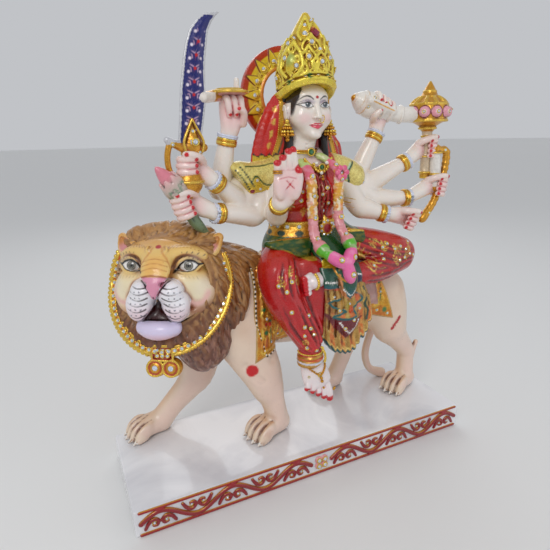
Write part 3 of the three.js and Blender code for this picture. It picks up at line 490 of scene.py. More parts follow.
def hand_finish():
    """Brush marks and rubbed gilding, shared by every painted surface."""
    if "Hand finish" in bpy.data.node_groups:
        return bpy.data.node_groups["Hand finish"]
    group = bpy.data.node_groups.new("Hand finish", "ShaderNodeTree")
    for name, kind in (("Paint", "Color"), ("Gilt", "Float"), ("Paint roughness", "Float"),
                       ("Gold roughness", "Float"), ("Unevenness", "Float"), ("Scale", "Float")):
        group.interface.new_socket(name=name, in_out="INPUT", socket_type="NodeSocket" + kind)
    for name, kind in (("Colour", "Color"), ("Metal", "Float"), ("Roughness", "Float"),
                       ("Height", "Float")):
        group.interface.new_socket(name=name, in_out="OUTPUT", socket_type="NodeSocket" + kind)
    add = group.nodes.new
    given, out = add("NodeGroupInput"), add("NodeGroupOutput")
    place = add("ShaderNodeTexCoord")

    def noise(scale_by, detail):
        size = add("ShaderNodeMath")
        size.operation = "MULTIPLY"
        size.inputs[1].default_value = scale_by
        link(group, given.outputs["Scale"], size.inputs[0])
        node = add("ShaderNodeTexNoise")
        node.inputs["Detail"].default_value = detail
        link(group, place.outputs["Object"], node.inputs["Vector"])
        link(group, size.outputs[0], node.inputs["Scale"])
        return node.outputs["Fac"]

    def spread(source, low, high):
        node = add("ShaderNodeMapRange")
        link(group, source, node.inputs["Value"])
        node.inputs["From Min"].default_value = 0.3
        node.inputs["From Max"].default_value = 0.7
        for socket, value in (("To Min", low), ("To Max", high)):
            if isinstance(value, (int, float)):
                node.inputs[socket].default_value = value
            else:
                link(group, value, node.inputs[socket])
        return node.outputs["Result"]

    def combine(operation, first, second):
        node = add("ShaderNodeMath")
        node.operation = operation
        for k, value in enumerate((first, second)):
            if isinstance(value, (int, float)):
                node.inputs[k].default_value = value
            else:
                link(group, value, node.inputs[k])
        return node.outputs[0]

    broad, fine = noise(1.0, 3.0), noise(6.0, 2.0)
    dark = combine("MULTIPLY", given.outputs["Unevenness"], spread(broad, 0.0, 1.0))
    shade = combine("SUBTRACT", 1.0, dark)
    tone = add("ShaderNodeVectorMath")
    tone.operation = "SCALE"
    link(group, given.outputs["Paint"], tone.inputs[0])
    link(group, shade, tone.inputs["Scale"])
    link(group, tone.outputs["Vector"], out.inputs["Colour"])
    metal = combine("MULTIPLY", given.outputs["Gilt"], spread(fine, 0.7, 0.95))
    link(group, metal, out.inputs["Metal"])
    rough = add("ShaderNodeMix")
    link(group, given.outputs["Gilt"], rough.inputs["Factor"])
    link(group, given.outputs["Paint roughness"], rough.inputs[2])
    link(group, given.outputs["Gold roughness"], rough.inputs[3])
    link(group, combine("ADD", rough.outputs[0], spread(fine, -0.05, 0.07)), out.inputs["Roughness"])
    link(group, combine("ADD", combine("MULTIPLY", fine, 0.4), broad), out.inputs["Height"])
    return group


def shader(name):
    """A new material, its nodes and its principled shader."""
    material = bpy.data.materials.new(name)
    material.use_nodes = True
    tree = material.node_tree
    return material, tree, tree.nodes["Principled BSDF"]


def painted(tree, surface, roughness, gold_roughness, unevenness, scale, coat, relief, glow=0.0):
    """Painted and gilded marble: its colours come from the piece's own paint and gilt."""
    add = tree.nodes.new
    paint, gilt = add("ShaderNodeAttribute"), add("ShaderNodeAttribute")
    paint.attribute_name, gilt.attribute_name = "paint", "gilt"
    look = add("ShaderNodeGroup")
    look.node_tree = hand_finish()
    link(tree, paint.outputs["Color"], look.inputs["Paint"])
    link(tree, gilt.outputs["Fac"], look.inputs["Gilt"])
    for socket, value in (("Paint roughness", roughness), ("Gold roughness", gold_roughness),
                          ("Unevenness", unevenness), ("Scale", scale)):
        look.inputs[socket].default_value = value
    bump = add("ShaderNodeBump")
    bump.inputs["Strength"].default_value = relief
    bump.inputs["Distance"].default_value = 0.001
    link(tree, look.outputs["Height"], bump.inputs["Height"])
    link(tree, look.outputs["Colour"], surface.inputs["Base Color"])
    link(tree, look.outputs["Metal"], surface.inputs["Metallic"])
    link(tree, look.outputs["Roughness"], surface.inputs["Roughness"])
    link(tree, bump.outputs["Normal"], surface.inputs["Normal"])
    surface.inputs["Coat Weight"].default_value = coat
    surface.inputs["Coat Roughness"].default_value = 0.12
    if glow:
        surface.inputs["Subsurface Weight"].default_value = glow
        surface.inputs["Subsurface Radius"].default_value = (0.006, 0.004, 0.003)
        surface.inputs["Subsurface Scale"].default_value = 1.0


def clouded(tree, surface, scale, detail, distortion, stops):
    """A base colour in two tones of cloud; returns the texture's place."""
    add = tree.nodes.new
    place = add("ShaderNodeTexCoord")
    cloud = add("ShaderNodeTexNoise")
    for socket, value in (("Scale", scale), ("Detail", detail), ("Distortion", distortion)):
        cloud.inputs[socket].default_value = value
    link(tree, place.outputs["Object"], cloud.inputs["Vector"])
    tones = add("ShaderNodeValToRGB")
    for element, (position, light) in zip(tones.color_ramp.elements, stops):
        element.position = position
        element.color = (*light, 1)
    link(tree, cloud.outputs["Fac"], tones.inputs["Fac"])
    link(tree, tones.outputs["Color"], surface.inputs["Base Color"])
    return place


def polished_slab(tree, surface):
    """The slab's white marble, with soft grey clouds and a high polish."""
    stops = ((0.36, linear((0.83, 0.83, 0.85))), (0.58, linear((0.93, 0.93, 0.94))))
    place = clouded(tree, surface, 9.0, 6.0, 1.2, stops)
    fine = tree.nodes.new("ShaderNodeTexNoise")
    fine.inputs["Scale"].default_value = 160.0
    link(tree, place.outputs["Object"], fine.inputs["Vector"])
    rough = tree.nodes.new("ShaderNodeMapRange")
    rough.inputs["To Min"].default_value = 0.1
    rough.inputs["To Max"].default_value = 0.24
    link(tree, fine.outputs["Fac"], rough.inputs["Value"])
    link(tree, rough.outputs["Result"], surface.inputs["Roughness"])
    surface.inputs["Coat Weight"].default_value = 0.4
    surface.inputs["Coat Roughness"].default_value = 0.05


def cut_glass(tree, surface, red, green, blue):
    """Faceted glass on foil: bright, with uneven sparkle painted into its colour as light and dark specks.
    """
    base = linear((red, green, blue))
    clouded(tree, surface, 900.0, 2.0, 0.0, ((0.35, base * 0.55), (0.62, base)))
    for socket, value in (("Metallic", 0.35), ("Roughness", 0.06), ("Coat Weight", 1.0),
                          ("Coat Roughness", 0.02)):
        surface.inputs[socket].default_value = value


# Finish: maker, the material's name, and the maker's values. Those of painted surfaces are roughness,
# gold roughness, unevenness, scale, coat, relief and glow; those of glass are its colour.
FINISHES = {
    "enamel": (painted, "painted and gilded marble", 0.3, 0.3, 0.08, 90.0, 0.35, 0.12),
    "skin": (painted, "ivory polished marble", 0.22, 0.28, 0.03, 40.0, 0.45, 0.03, 0.12),
    # The coat's paint holds airbrushed tones and painted shade.
    "coat": (painted, "airbrushed coat", 0.32, 0.3, 0.05, 60.0, 0.3, 0.08, 0.06),
    "hair": (painted, "painted carved hair", 0.36, 0.3, 0.22, 220.0, 0.3, 0.25),
    "cloth": (painted, "glossy painted cloth", 0.26, 0.3, 0.14, 150.0, 0.45, 0.14),
    "gold": (painted, "gold leaf", 0.3, 0.24, 0.2, 260.0, 0.2, 0.3),
    "slab": (polished_slab, "polished white marble"),
    "clear stone": (cut_glass, "clear cut glass", 0.90, 0.94, 1.0),
    "ruby stone": (cut_glass, "ruby cut glass", 0.62, 0.05, 0.22),
    "green stone": (cut_glass, "green cut glass", 0.10, 0.45, 0.25),
}


def look_of(finish):
    """The material of a named finish, made once."""
    maker, name, *values = FINISHES[finish]
    if name in bpy.data.materials:
        return bpy.data.materials[name]
    material, tree, surface = shader(name)
    maker(tree, surface, *values)
    return material


def clear_selection():
    for picked in list(bpy.context.selected_objects):
        picked.select_set(False)


def taken():
    """The points and faces of the primitive just made, which is then removed."""
    made = bpy.context.active_object
    points = np.array([v.co[:] for v in made.data.vertices])
    faces = [tuple(p.vertices) for p in made.data.polygons]
    mesh = made.data
    bpy.data.objects.remove(made)
    bpy.data.meshes.remove(mesh)
    return points, faces


@functools.cache
def bead_pattern():
    """A bead of radius 1."""
    clear_selection()
    bpy.ops.mesh.primitive_ico_sphere_add(subdivisions=2, radius=1.0)
    return taken()


@functools.cache
def stone_pattern(sides):
    """A cut stone of radius 1: girdle, slanting crown and flat table, standing on its setting."""
    clear_selection()
    bpy.ops.mesh.primitive_cone_add(vertices=sides, radius1=1.0, radius2=0.52, depth=0.62)
    bpy.ops.object.mode_set(mode="EDIT")
    bpy.ops.mesh.select_all(action="SELECT")
    bpy.ops.transform.translate(value=(0, 0, 0.2))
    bpy.ops.object.mode_set(mode="OBJECT")
    return taken()


@functools.cache
def setting_pattern():
    """The rim of gold that a stone of radius 1 stands in."""
    clear_selection()
    bpy.ops.mesh.primitive_torus_add(major_segments=12, minor_segments=5, major_radius=1.08,
                                     minor_radius=0.26)
    return taken()


# How a cast is thinned: the share of its triangles that stays, the step of colour that counts as a
# painted edge, and how much more such an edge weighs than form does.
KEPT_SHARE = 0.42
PAINT_STEP = 0.10
EDGE_WEIGHT = 0.02


def painted_edges(faces, shade):
    """Points whose paint differs from a neighbour's."""
    marked = np.zeros(len(shade), bool)
    for block in faces:
        for k in range(block.shape[1]):
            here, there = block[:, k], block[:, k - 1]
            differs = np.abs(shade[here] - shade[there]).max(axis=1) > PAINT_STEP
            marked[here[differs]] = True
            marked[there[differs]] = True
    return np.flatnonzero(marked)


def thinned(points, faces, shade):
    """The surface with fewer triangles, densest where the form or the paint changes."""
    mesh = bpy.data.meshes.new("thinning")
    mesh.from_pydata(points.tolist(), [], [row for block in faces for row in block.tolist()])
    paint = mesh.attributes.new("paint", "FLOAT_COLOR", "POINT")
    paint.data.foreach_set("color", shade.astype(np.float32).ravel())
    mesh.update()
    made = bpy.data.objects.new("thinning", mesh)
    bpy.context.scene.collection.objects.link(made)
    group = made.vertex_groups.new(name="painted edges")
    group.add(painted_edges(faces, shade).tolist(), 1.0, "REPLACE")
    modifier = made.modifiers.new("thinning", "DECIMATE")
    modifier.ratio = KEPT_SHARE
    modifier.use_collapse_triangulate = True
    modifier.vertex_group = group.name
    modifier.invert_vertex_group = True
    modifier.vertex_group_factor = EDGE_WEIGHT
    thin = made.evaluated_get(bpy.context.evaluated_depsgraph_get())
    result = thin.to_mesh()
    spots = np.empty(len(result.vertices) * 3, np.float32)
    result.vertices.foreach_get("co", spots)
    corners = np.empty(len(result.loops), np.int32)
    result.loops.foreach_get("vertex_index", corners)
    tones = np.empty(len(result.vertices) * 4, np.float32)
    result.attributes["paint"].data.foreach_get("color", tones)
    thin.to_mesh_clear()
    bpy.data.objects.remove(made)
    bpy.data.meshes.remove(mesh)
    return spots.reshape(-1, 3).astype(float), [corners.reshape(-1, 3)], tones.reshape(-1, 4)


class Piece:
    """One visible piece: casts, beads, stones and cords gathered into one object."""

    def __init__(self, name):
        self.name = name
        self.looks = []
        self.points, self.faces, self.slots, self.soft = [], [], [], []
        self.colour, self.gilt = [], []
        self.count = 0

    def add(self, points, faces, look, colour="gold", gilt=1.0, soft=True):
        """Faces are lists or arrays of point numbers within `points`."""
        if look not in self.looks:
            self.looks.append(look)
        self.points.append(np.asarray(points, float))
        for block in faces if isinstance(faces[0], np.ndarray) else [faces]:
            rows = (np.array(block) + self.count).tolist() if isinstance(block, np.ndarray) else [
                [v + self.count for v in f] for f in block]
            self.faces += rows
            self.slots += [self.looks.index(look)] * len(rows)
            self.soft += [soft] * len(rows)
        shade = linear(colour) if isinstance(colour, (str, tuple)) else colour
        self.colour.append(np.broadcast_to(shade, (len(points), 3)))
        self.gilt.append(np.broadcast_to(gilt, len(points)))
        self.count += len(points)
        return self

    def cast(self, clay, look, brush, settle=None):
        """A clay's surface, painted by `brush(clay, points, normals)`.

        `settle` moves the painted points at last."""
        points, faces, normals = clay.cast()
        paint = brush(clay, points, normals)
        if settle:
            points = settle(points)
        shade = np.clip(np.column_stack([paint.colour, paint.gilt]), 0, 1)
        points, faces, shade = thinned(clay.place(points), faces, shade)
        return self.add(points, faces, look, shade[:, :3], shade[:, 3])

    def copies(self, pattern, places, axes, scale, look, colour="gold", gilt=1.0, soft=True):
        points, faces = pattern
        for place, axis in zip(places, axes):
            axis = unit(axis)
            side = unit(np.cross(axis, X if abs(axis[0]) < 0.8 else Y))
            turned = points * scale
            spot = turned[:, :1] * side + turned[:, 1:2] * np.cross(axis, side) + turned[:, 2:] * axis
            self.add(spot + place, faces, look, colour, gilt, soft)
        return self

    def beads(self, places, radius=None, look="gold", colour="gold", gilt=1.0):
        places = np.atleast_2d(places)
        radius = radius or mm("bead")
        return self.copies(bead_pattern(), places, [Z] * len(places), radius, look, colour, gilt)

    def stones(self, places, axes, radius=None, look="clear stone", sides=8, setting=True):
        places = np.atleast_2d(places)
        axes = np.broadcast_to(axes, places.shape)
        radius = radius or mm("stone")
        if setting:
            self.copies(setting_pattern(), places, axes, radius, "gold", "pale_gold")
        return self.copies(stone_pattern(sides), places, axes, radius, look, (1, 1, 1), 0.0, soft=False)

    def glue(self, clay, places, radius=None, look="clear stone", sides=8, setting=True):
        """Stones pressed onto a clay's surface."""
        places = clay.press(np.atleast_2d(places))
        axes = clay.place.turned(clay.slope(places))
        return self.stones(clay.place(places), axes, radius, look, sides, setting)

    def cord(self, path, radius, look="gold", colour="gold", gilt=1.0, sides=6, closed=False, flat=1.0,
             up=UP):
        """A round or flattened cord along a path."""
        path = np.array(path, float)
        radii = np.broadcast_to(np.array(radius, float), len(path))
        run = np.gradient(path, axis=0)
        if closed:
            run = np.roll(path, -1, axis=0) - np.roll(path, 1, axis=0)
        run /= np.linalg.norm(run, axis=1)[:, None] + 1e-9
        ups = np.broadcast_to(np.array(up, float), path.shape)
        side = np.cross(ups, run)
        short = np.linalg.norm(side, axis=1) < 1e-3
        side[short] = np.cross(run[short], unit((0.3, 0.5, 0.8)))
        side /= np.linalg.norm(side, axis=1)[:, None]
        rise = np.cross(run, side)
        angles = np.arange(sides) * 2 * math.pi / sides
        ring = (np.cos(angles)[None, :, None] * side[:, None] +
                flat * np.sin(angles)[None, :, None] * rise[:, None])
        points = (path[:, None] + ring * radii[:, None, None]).reshape(-1, 3)
        faces = []
        count = len(path)
        for i in range(count if closed else count - 1):
            p, q = i * sides, (i + 1) % count * sides
            faces += [(p + k, p + (k + 1) % sides, q + (k + 1) % sides, q + k) for k in range(sides)]
        if not closed:
            faces += [tuple(range(sides))[::-1], tuple((count - 1) * sides + k for k in range(sides))]
        return self.add(points, faces, look, colour, gilt)

    def build(self, replaces=()):
        """The finished object, in metres, riding on the statue's one body."""
        points = (np.vstack(self.points) + (0, 0, mm("plinth_height"))) * MM
        mesh = bpy.data.meshes.new(self.name)
        mesh.from_pydata(points.tolist(), [], self.faces)
        for look in self.looks:
            mesh.materials.append(look_of(look))
        mesh.polygons.foreach_set("material_index", np.array(self.slots, np.int32))
        mesh.polygons.foreach_set("use_smooth", np.array(self.soft, bool))
        paint = mesh.attributes.new("paint", "FLOAT_COLOR", "POINT")
        rows = np.column_stack([np.vstack(self.colour), np.ones(self.count)])
        paint.data.foreach_set("color", rows.astype(np.float32).ravel())
        gilt = mesh.attributes.new("gilt", "FLOAT", "POINT")
        gilt.data.foreach_set("value", np.concatenate(self.gilt).astype(np.float32))
        mesh.update()
        made = bpy.data.objects.new(self.name, mesh)
        bpy.context.scene.collection.objects.link(made)
        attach(made, "root")
        if replaces:
            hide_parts(*replaces)
        return made


# The lion
HEAD_AT = (-131, 2, 187)


def lion_head_place():
    """Across the face, out of the face and up, as the head is turned and raised."""
    yaw, lift = math.radians(31), math.radians(15)
    out = np.array((-math.sin(yaw), -math.cos(yaw), 0))
    face = out * math.cos(lift) + Z * math.sin(lift)
    crest = Z * math.cos(lift) - out * math.sin(lift)
    return Place(np.column_stack([(math.cos(yaw), -math.sin(yaw), 0), face, crest]), HEAD_AT)


PAWS = (  # where each paw stands, how far it is turned, and its half-width
    ((-34, -10, -1), 16, 16),
    ((-154, 52, -1), 16, 15),
    ((162, 4, -1), 18, 15),
    ((76, 45, -1), 10, 13),
)
TOES = (-1.5, -0.5, 0.5, 1.5)


def paw_place(at, turn):
    return Place(turned_axes(turn), at)


NEAR_FORELEG = ((-62, -7, 132, 30, 16), (-54, -9, 104, 25, 16), (-44, -11, 80, 21, 15),
                (-37, -11, 58, 16.5, 13.5),
                (-30, -10, 36, 13, 12.5), (-25, -9, 12, 13.5, 12))
NEAR_THIGH = ((126, 6, 140, 26, 18), (130, 2, 114, 27, 18.5), (138, 2, 90, 21, 16), (152, 4, 72, 15, 12.5))


def flank(clay, extra=0.0):
    """The barrel of the body with the near shoulder and thigh, swollen by `extra`."""
    barrel = ((-70, 21, 152, 36, 50), (-30, 22, 150, 37, 52), (20, 22, 146, 35, 53), (70, 22, 140, 33, 49),
              (110, 22, 135, 34, 44), (132, 22, 134, 29, 36))
    clay.tube([[*row[:3], row[3] + extra, row[4] + extra] for row in barrel], ends=0.6)
    for at, radii in (((-60, -3, 128), (31, 15, 40)), ((128, 4, 128), (27, 18, 36)),
                      ((20, 20, 118), (60, 26, 22))):
        clay.ball(at, np.array(radii) + extra, blend=9)
    for leg in (NEAR_FORELEG[:4], NEAR_THIGH[:3]):
        clay.tube([[*row[:3], row[3] + extra, row[4] + extra] for row in leg], up=Y, blend=6)


def lion_clay():
    clay = Clay((-190, -34, -3), (194, 78, 214), mm("coat_grain"))
    flank(clay)
    tail = [[146, 34, 140, 7], [158, 45, 112, 6], [150, 47, 82, 5.5], [138, 45, 56, 5], [133, 44, 34, 5],
            [139, 41, 14, 5], [156, 37, 5, 7, 6]]
    clay.tube(tail, up=Y, blend=4)
    for at, radii in (((-86, 44, 130), (26, 18, 40)), ((122, 40, 126), (28, 17, 36))):
        clay.ball(at, radii, blend=9)
    legs = (
        NEAR_FORELEG,
        [[-88, 44, 120, 26, 15], [-98, 48, 66, 21, 14], [-110, 50, 48, 16, 13], [-128, 52, 30, 13, 12],
         [-145, 52, 12, 13, 12]],
        NEAR_THIGH + ((166, 6, 54, 12, 11), (170, 7, 40, 11, 10.5), (168, 5, 12, 12, 11)),
        [[122, 40, 120, 27, 17], [110, 43, 84, 17, 14], [103, 44, 60, 12.5, 11], [94, 44, 36, 10.5, 10],
         [83, 45, 12, 10.5, 10]],
    )
    for leg in legs:
        clay.tube(leg, up=Y, blend=6)
    clay.tube([[-30, -19, 62, 5], [-26, -18, 40, 4], [-26, -17, 20, 4]], blend=5)
    clay.tube([[183, 3, 60, 3], [178, 4, 44, 3.5]], blend=4)
    for at, turn, wide in PAWS:
        local = paw_place(at, turn)
        clay.tube(local.stations([[12, 0, 11, wide * 0.75, 11], [-3, 0, 12, wide * 0.92, 12],
                                  [-14, 0, 9, wide * 0.9, 8.5]]), blend=4)
        for k in TOES:
            back = abs(k) * 2.4
            clay.tube(local.stations([[-2, k * wide * 0.38, 14, wide * 0.2, 6],
                                      [-14 + back, k * wide * 0.5, 14, wide * 0.27, 8],
                                      [-22 + back, k * wide * 0.53, 9, wide * 0.28, 8],
                                      [-27 + back, k * wide * 0.53, 5, wide * 0.24, 4.5]]), blend=1.2)
            clay.tube(local.stations([[-28 + back, k * wide * 0.53, 6, 2.2, 2.6],
                                      [-33 + back, k * wide * 0.55, 3.4, 1.1, 1.5]]), blend=0.6)
    for groove in ([[-38, -24, 150, 2], [-31, -25, 120, 2.5], [-36, -26, 98, 1.5]],
                   [[98, -16, 160, 2], [96, -20, 130, 3], [106, -18, 104, 2]],
                   [[-66, -25, 96, 1.2], [-58, -27, 84, 1.6], [-50, -27, 76, 1.2]]):
        clay.tube(groove, blend=7, cut=True)
    return clay


def paint_coat(clay, points, normals):
    paint = Paint(points, normals, "cream")
    z = points[:, 2]
    side = 1 - np.abs(normals[:, 1])
    mottle = 0.5 + 0.5 * waves(points, 30, 4)
    # Painted shade where the coat turns away from the front, mixed with a random mottle; then painted shade
    # on the far side, and a pinkish painted light where the lower coat faces the front.
    paint.wash(0.62 * ramp(0.25, 0.95, side) * (0.75 + 0.25 * mottle), (0.84, 0.64, 0.44))
    paint.wash(0.35 * ramp(-0.2, 0.9, normals[:, 1]), "tan")
    paint.wash(0.35 * ramp(0.5, 1.0, -normals[:, 1]) * ramp(120, 60, z), (0.95, 0.80, 0.78))
    # Painted shade in the hollows, with a random mottle on the upper coat; then darker painted shade in the
    # creases.
    paint.wash(0.3 * ramp(0.3, 1, clay.hollows(points, normals, 9)) + 0.25 * (z > 120) * mottle,
               (0.70, 0.46, 0.27))
    paint.wash(0.85 * ramp(0.25, 0.9, clay.hollows(points, normals, 2.5)), (0.42, 0.22, 0.13))
    for at, turn, wide in PAWS:
        local = paw_place(at, turn)
        for k in TOES:
            back = abs(k) * 2.4
            tip = local((-32 + back, k * wide * 0.55, 4))
            paint.spot(local((-25 + back, k * wide * 0.53, 8)), (6, 4.5, 7), (0.95, 0.88, 0.78),
                       strength=0.7)
            paint.spot(tip, (4.2, 2.4, 3.4), (0.97, 0.95, 0.92))
            for edge in (-0.10, 0.10):
                rows = [(-33 + back, (k + edge * 2) * wide * 0.55, 1.5),
                        (-30 + back, (k + edge * 2.4) * wide * 0.55, 7)]
                paint.stroke(clay.press(local(rows)), 0.9, (0.66, 0.42, 0.14), soft=0.5)
        # Painted shade: dark lines between the toes.
        for k in (-1, 0, 1):
            seam = [(-4, k * wide * 0.5, 20), (-14, k * wide * 0.53, 20), (-24, k * wide * 0.53, 12),
                    (-29, k * wide * 0.53, 3)]
            paint.stroke(clay.press(local(spline(seam, 4))), 0.9, (0.40, 0.20, 0.12))
    paint.spot((-60, -26, 89.5), (6.5, 8, 7.5), (0.80, 0.02, 0.07), soft=0.1)
    paint.stroke(clay.front([(126.7, 97), (129.5, 102), (135.5, 110)]), 4.6, "red", soft=0.1)
    # Painted shadow where the paws meet the plinth.
    paint.wash(ramp(3.5, 0.5, z) * 0.5, (0.45, 0.28, 0.18))
    return paint


def lion_body():
    piece = Piece("lion_body")
    piece.cast(lion_clay(), "coat", paint_coat)
    return piece.build()


def lion_head_clay():
    clay = Clay((-60, -30, -54), (60, 60, 56), mm("muzzle_grain"), lion_head_place())
    clay.ball((0, -2, 5), (46, 34, 36))
    clay.ball((0, 12, 20), (34, 19, 20), blend=9)
    clay.ball((0, 10, 26), (38, 18.5, 19), blend=7)
    clay.both("ball", (31, 8, -4, (17.5, 19, 20)), blend=5)
    clay.both("ball", (34, 12, -7, (12.5, 13, 13)), blend=4)
    clay.both("ball", (22, 22, 4, (16, 12, 13)), blend=8)
    clay.tube([[0, 22, 33, 14, 8], [0, 33, 26, 13, 8], [0, 42, 17, 13.5, 7.5], [0, 47.5, 9.5, 12.5, 4.8]],
              up=Y, blend=6)
    clay.both("ball", (12, 36.5, -5, (12.5, 13.5, 11.5)), blend=1.5)
    clay.both("ball", (16.5, 31.5, -16.5, (13, 14.5, 15.5)), blend=3)
    clay.tube([[0, 47.5, 8.5, 11, 4.2], [0, 49.8, 3, 8.5, 4], [0, 50, -4, 4, 3.4], [0, 49, -10, 1.6, 2.4]],
              up=Y, blend=1.2)
    clay.both("ball", (8.2, 50.5, 2.2, (3.4, 5, 2.4)), blend=1.2, cut=True)
    clay.tube([[0, 51, -9, 0.8, 2], [0, 49.5, -15, 1.2, 3]], up=Y, blend=1.5, cut=True)
    clay.tube([[0, 46, -14, 1.5, 8], [0, 42, -21, 4.5, 9], [0, 38, -28, 9, 9], [0, 34, -30, 11, 8]], up=Y,
              blend=2, cut=True)
    clay.tube([[0, -6, -12, 30, 22], [0, 14, -26, 21, 14], [0, 24, -34, 16, 9]], blend=5)
    clay.tube([[-13, 27, -37.5, 8, 8.5], [-7, 31, -39, 8.5, 9.5], [0, 32.5, -39.5, 9, 9.5],
               [7, 31, -39, 8.5, 9.5],
               [13, 27, -37.5, 8, 8.5]], blend=1.5, up=Y)
    clay.both("tube", [[8, 34, 23, 3], [15, 30, 29, 4], [26, 25, 31, 4.4], [37, 15, 28, 3.6]], blend=8)
    clay.both("ball", (26.5, 32, 19, (10.5, 6, 7.5)), blend=4, cut=True)
    clay.both("ball", (26.3, 24.0, 18.8, (10.2, 7.6, 8)), blend=1)
    for lid in ([[15.6, 31.5, 15, 1.2], [19.8, 33, 21.8, 1.6], [26.5, 31.4, 25.0, 1.9],
                 [33.5, 27, 23.4, 1.7], [38.5, 21.5, 20, 1]],
                [[15.6, 31.5, 15, 1.1], [21, 32.6, 12.8, 1.5], [28, 30.2, 12.2, 1.5], [34, 26, 15, 1.3],
                 [38.5, 21.5, 20, 1]]):
        clay.both("tube", lid, blend=1.4)
    for k in range(5):
        high = 13 + 4.0 * k
        clay.tube([[-11, 44.5 - k * 2.9, high - 1, 0.8], [0, 49.6 - k * 3.2, high + 1.5, 1.2],
                   [11, 44.5 - k * 2.9, high - 1, 0.8]],
                  blend=2.5)
    clay.both("tube", [[5, 42, 27, 0.8], [9, 38, 32, 1.2], [8, 34, 36, 0.8]], blend=2)
    clay.both("tube", [[31, 6, 30, 12, 7], [41, 1, 38, 11, 6], [48, -4, 46, 4.5, 4]], up=Y, blend=3)
    clay.both("tube", [[38, 10, 33, 6, 3], [44, 5, 40, 5, 3.5], [47.5, 1, 44.5, 1.6, 2]], up=Y, blend=2,
              cut=True)
    clay.both("tube", [[44, 6, -8, 2], [38, 17, -19, 3.2], [27, 22, -25, 3], [20, 24, -29, 2]], blend=4)
    return clay


EYE_WIDTH, EYE_HEIGHT = 8.4, 4.9
EYES = {-1: -25.0, 1: 27.6}


def paint_lion_eye(paint, clay, points, side):
    u, v, w = points.T
    middle = EYES[side]
    # Painted shade round and above the eye and in its inner corner.
    paint.spot((side * 26.5, 26, 23.5), (11.5, 8, 5.4), (0.62, 0.56, 0.55), soft=0.5, strength=0.6)
    paint.spot((side * 17, 34, 15), (4.5, 6, 5), (0.50, 0.42, 0.40), soft=0.6, strength=0.6)
    white = np.sqrt(((u - middle) / EYE_WIDTH) ** 2 + ((w - 18.4) / EYE_HEIGHT) ** 2)
    inside = (1 - ramp(0.92, 1.0, white)) * (v > 18)
    paint.wash(inside, (0.93, 0.92, 0.90))
    # Painted shadow of the upper lid on the eye.
    paint.wash(0.6 * inside * ramp(19.5, 24, w), (0.50, 0.49, 0.54))
    centre = clay.meet([(middle + 0.4, 60, 18.5)], -Y)[0]
    for radius, colour in ((4.2, (0.05, 0.05, 0.06)), (3.6, (0.56, 0.55, 0.50)), (2.5, (0.07, 0.07, 0.08)),
                           (1.8, (0.50, 0.49, 0.45)), (1.3, "ink")):
        paint.spot(centre, (radius, 9, radius), colour, soft=0.07)
    # Painted highlight: a white glint on the eye.
    paint.spot(centre + (1.3, 0, 1.8), (0.8, 9, 0.8), (0.98, 0.98, 0.98), soft=0.1)
    upper = [(middle + side * x, 60, z) for x, z in ((-13, 12.5), (-10, 15.5), (-7, 20), (-1.5, 23.4),
                                                     (4.5, 22.8), (8.4, 20.2), (12, 20.8))]
    lower = [(middle + side * x, 60, z) for x, z in ((-13, 12.5), (-9.4, 14.2), (-5.4, 13.6), (0.5, 13.4),
                                                     (5.2, 15.2), (8.8, 19.6))]
    paint.stroke(clay.meet(spline(upper, 5), -Y), 2.2, "ink", soft=0.4)
    paint.stroke(clay.meet(spline(lower, 5), -Y), 1.4, "ink", soft=0.4)
    for j in range(6):
        root = (side * (21 + 3.6 * j), 60, 25.6 - 0.28 * (j - 1.5) ** 2)
        tip = (side * (22 + 4.5 * j), 60, 31 - 0.35 * (j - 1.5) ** 2)
        paint.stroke(clay.meet([root, tip], -Y), 0.9, (0.32, 0.24, 0.22), soft=0.4)
        low = (side * (18 + 3.4 * j), 60, 9.6 - 0.2 * j)
        paint.stroke(clay.meet([low, np.array(low) + (side * 1.2, 0, -1.8)], -Y), 0.6, (0.70, 0.60, 0.46),
                     soft=0.6)
    for j in range(10):
        base = np.array((side * (8 + 3.0 * j), 60, 31 + 4.0 * math.sin(math.pi * (j + 1) / 11)))
        paint.stroke(clay.meet([base, base + (side * 2.8, 0, 3.0)], -Y), 0.8, (0.60, 0.36, 0.16), soft=0.5)


def paint_lion_pad(paint, clay, points, side):
    u, v, w = points.T
    upper = np.sqrt(((u - side * 12) / 13.3) ** 2 + ((w + 4.5) / 12.2) ** 2)
    lower = np.sqrt(((u - side * 16.5) / 14) ** 2 + ((w + 16.5) / 16.4) ** 2)
    pad = np.minimum(upper, lower)
    paint.wash((1 - ramp(0.96, 1.03, pad)) * (v > 26) * ramp(-33, -31.5, w), (0.95, 0.94, 0.96))
    paint.wash(0.6 * (1 - ramp(0.8, 1.0, pad)) * (v > 24) * ramp(-12, -28, w), (0.93, 0.76, 0.80))
    edge = (1 - ramp(0.02, 0.09, np.abs(pad - 1.0))) * (v > 26) * (np.abs(u) > 10)
    paint.wash(0.7 * edge * ramp(9, 2, w), (0.56, 0.33, 0.22))
    for k in range(6):
        high = 1.0 - 5.2 * k
        start, reach = 4.0 + 1.25 * k, 22.5 + 1.0 * min(k, 3)
        rows = [(side * (start + (reach - start) * j / 7), 60,
                 high - 3.0 * math.sin(math.pi * j / 7) + 0.5 * j / 7) for j in range(8)]
        paint.stroke(clay.meet(rows, -Y), [1.5, 1.5, 1.4, 1.3, 1.1, 0.9, 0.7, 0.4], (0.16, 0.09, 0.10),
                     soft=0.35)
        for j in range(3):
            paint.spot(clay.meet([(side * (13 + 4.5 * j), 60, high - 5.6)], -Y)[0], 0.7, (0.35, 0.35, 0.42))


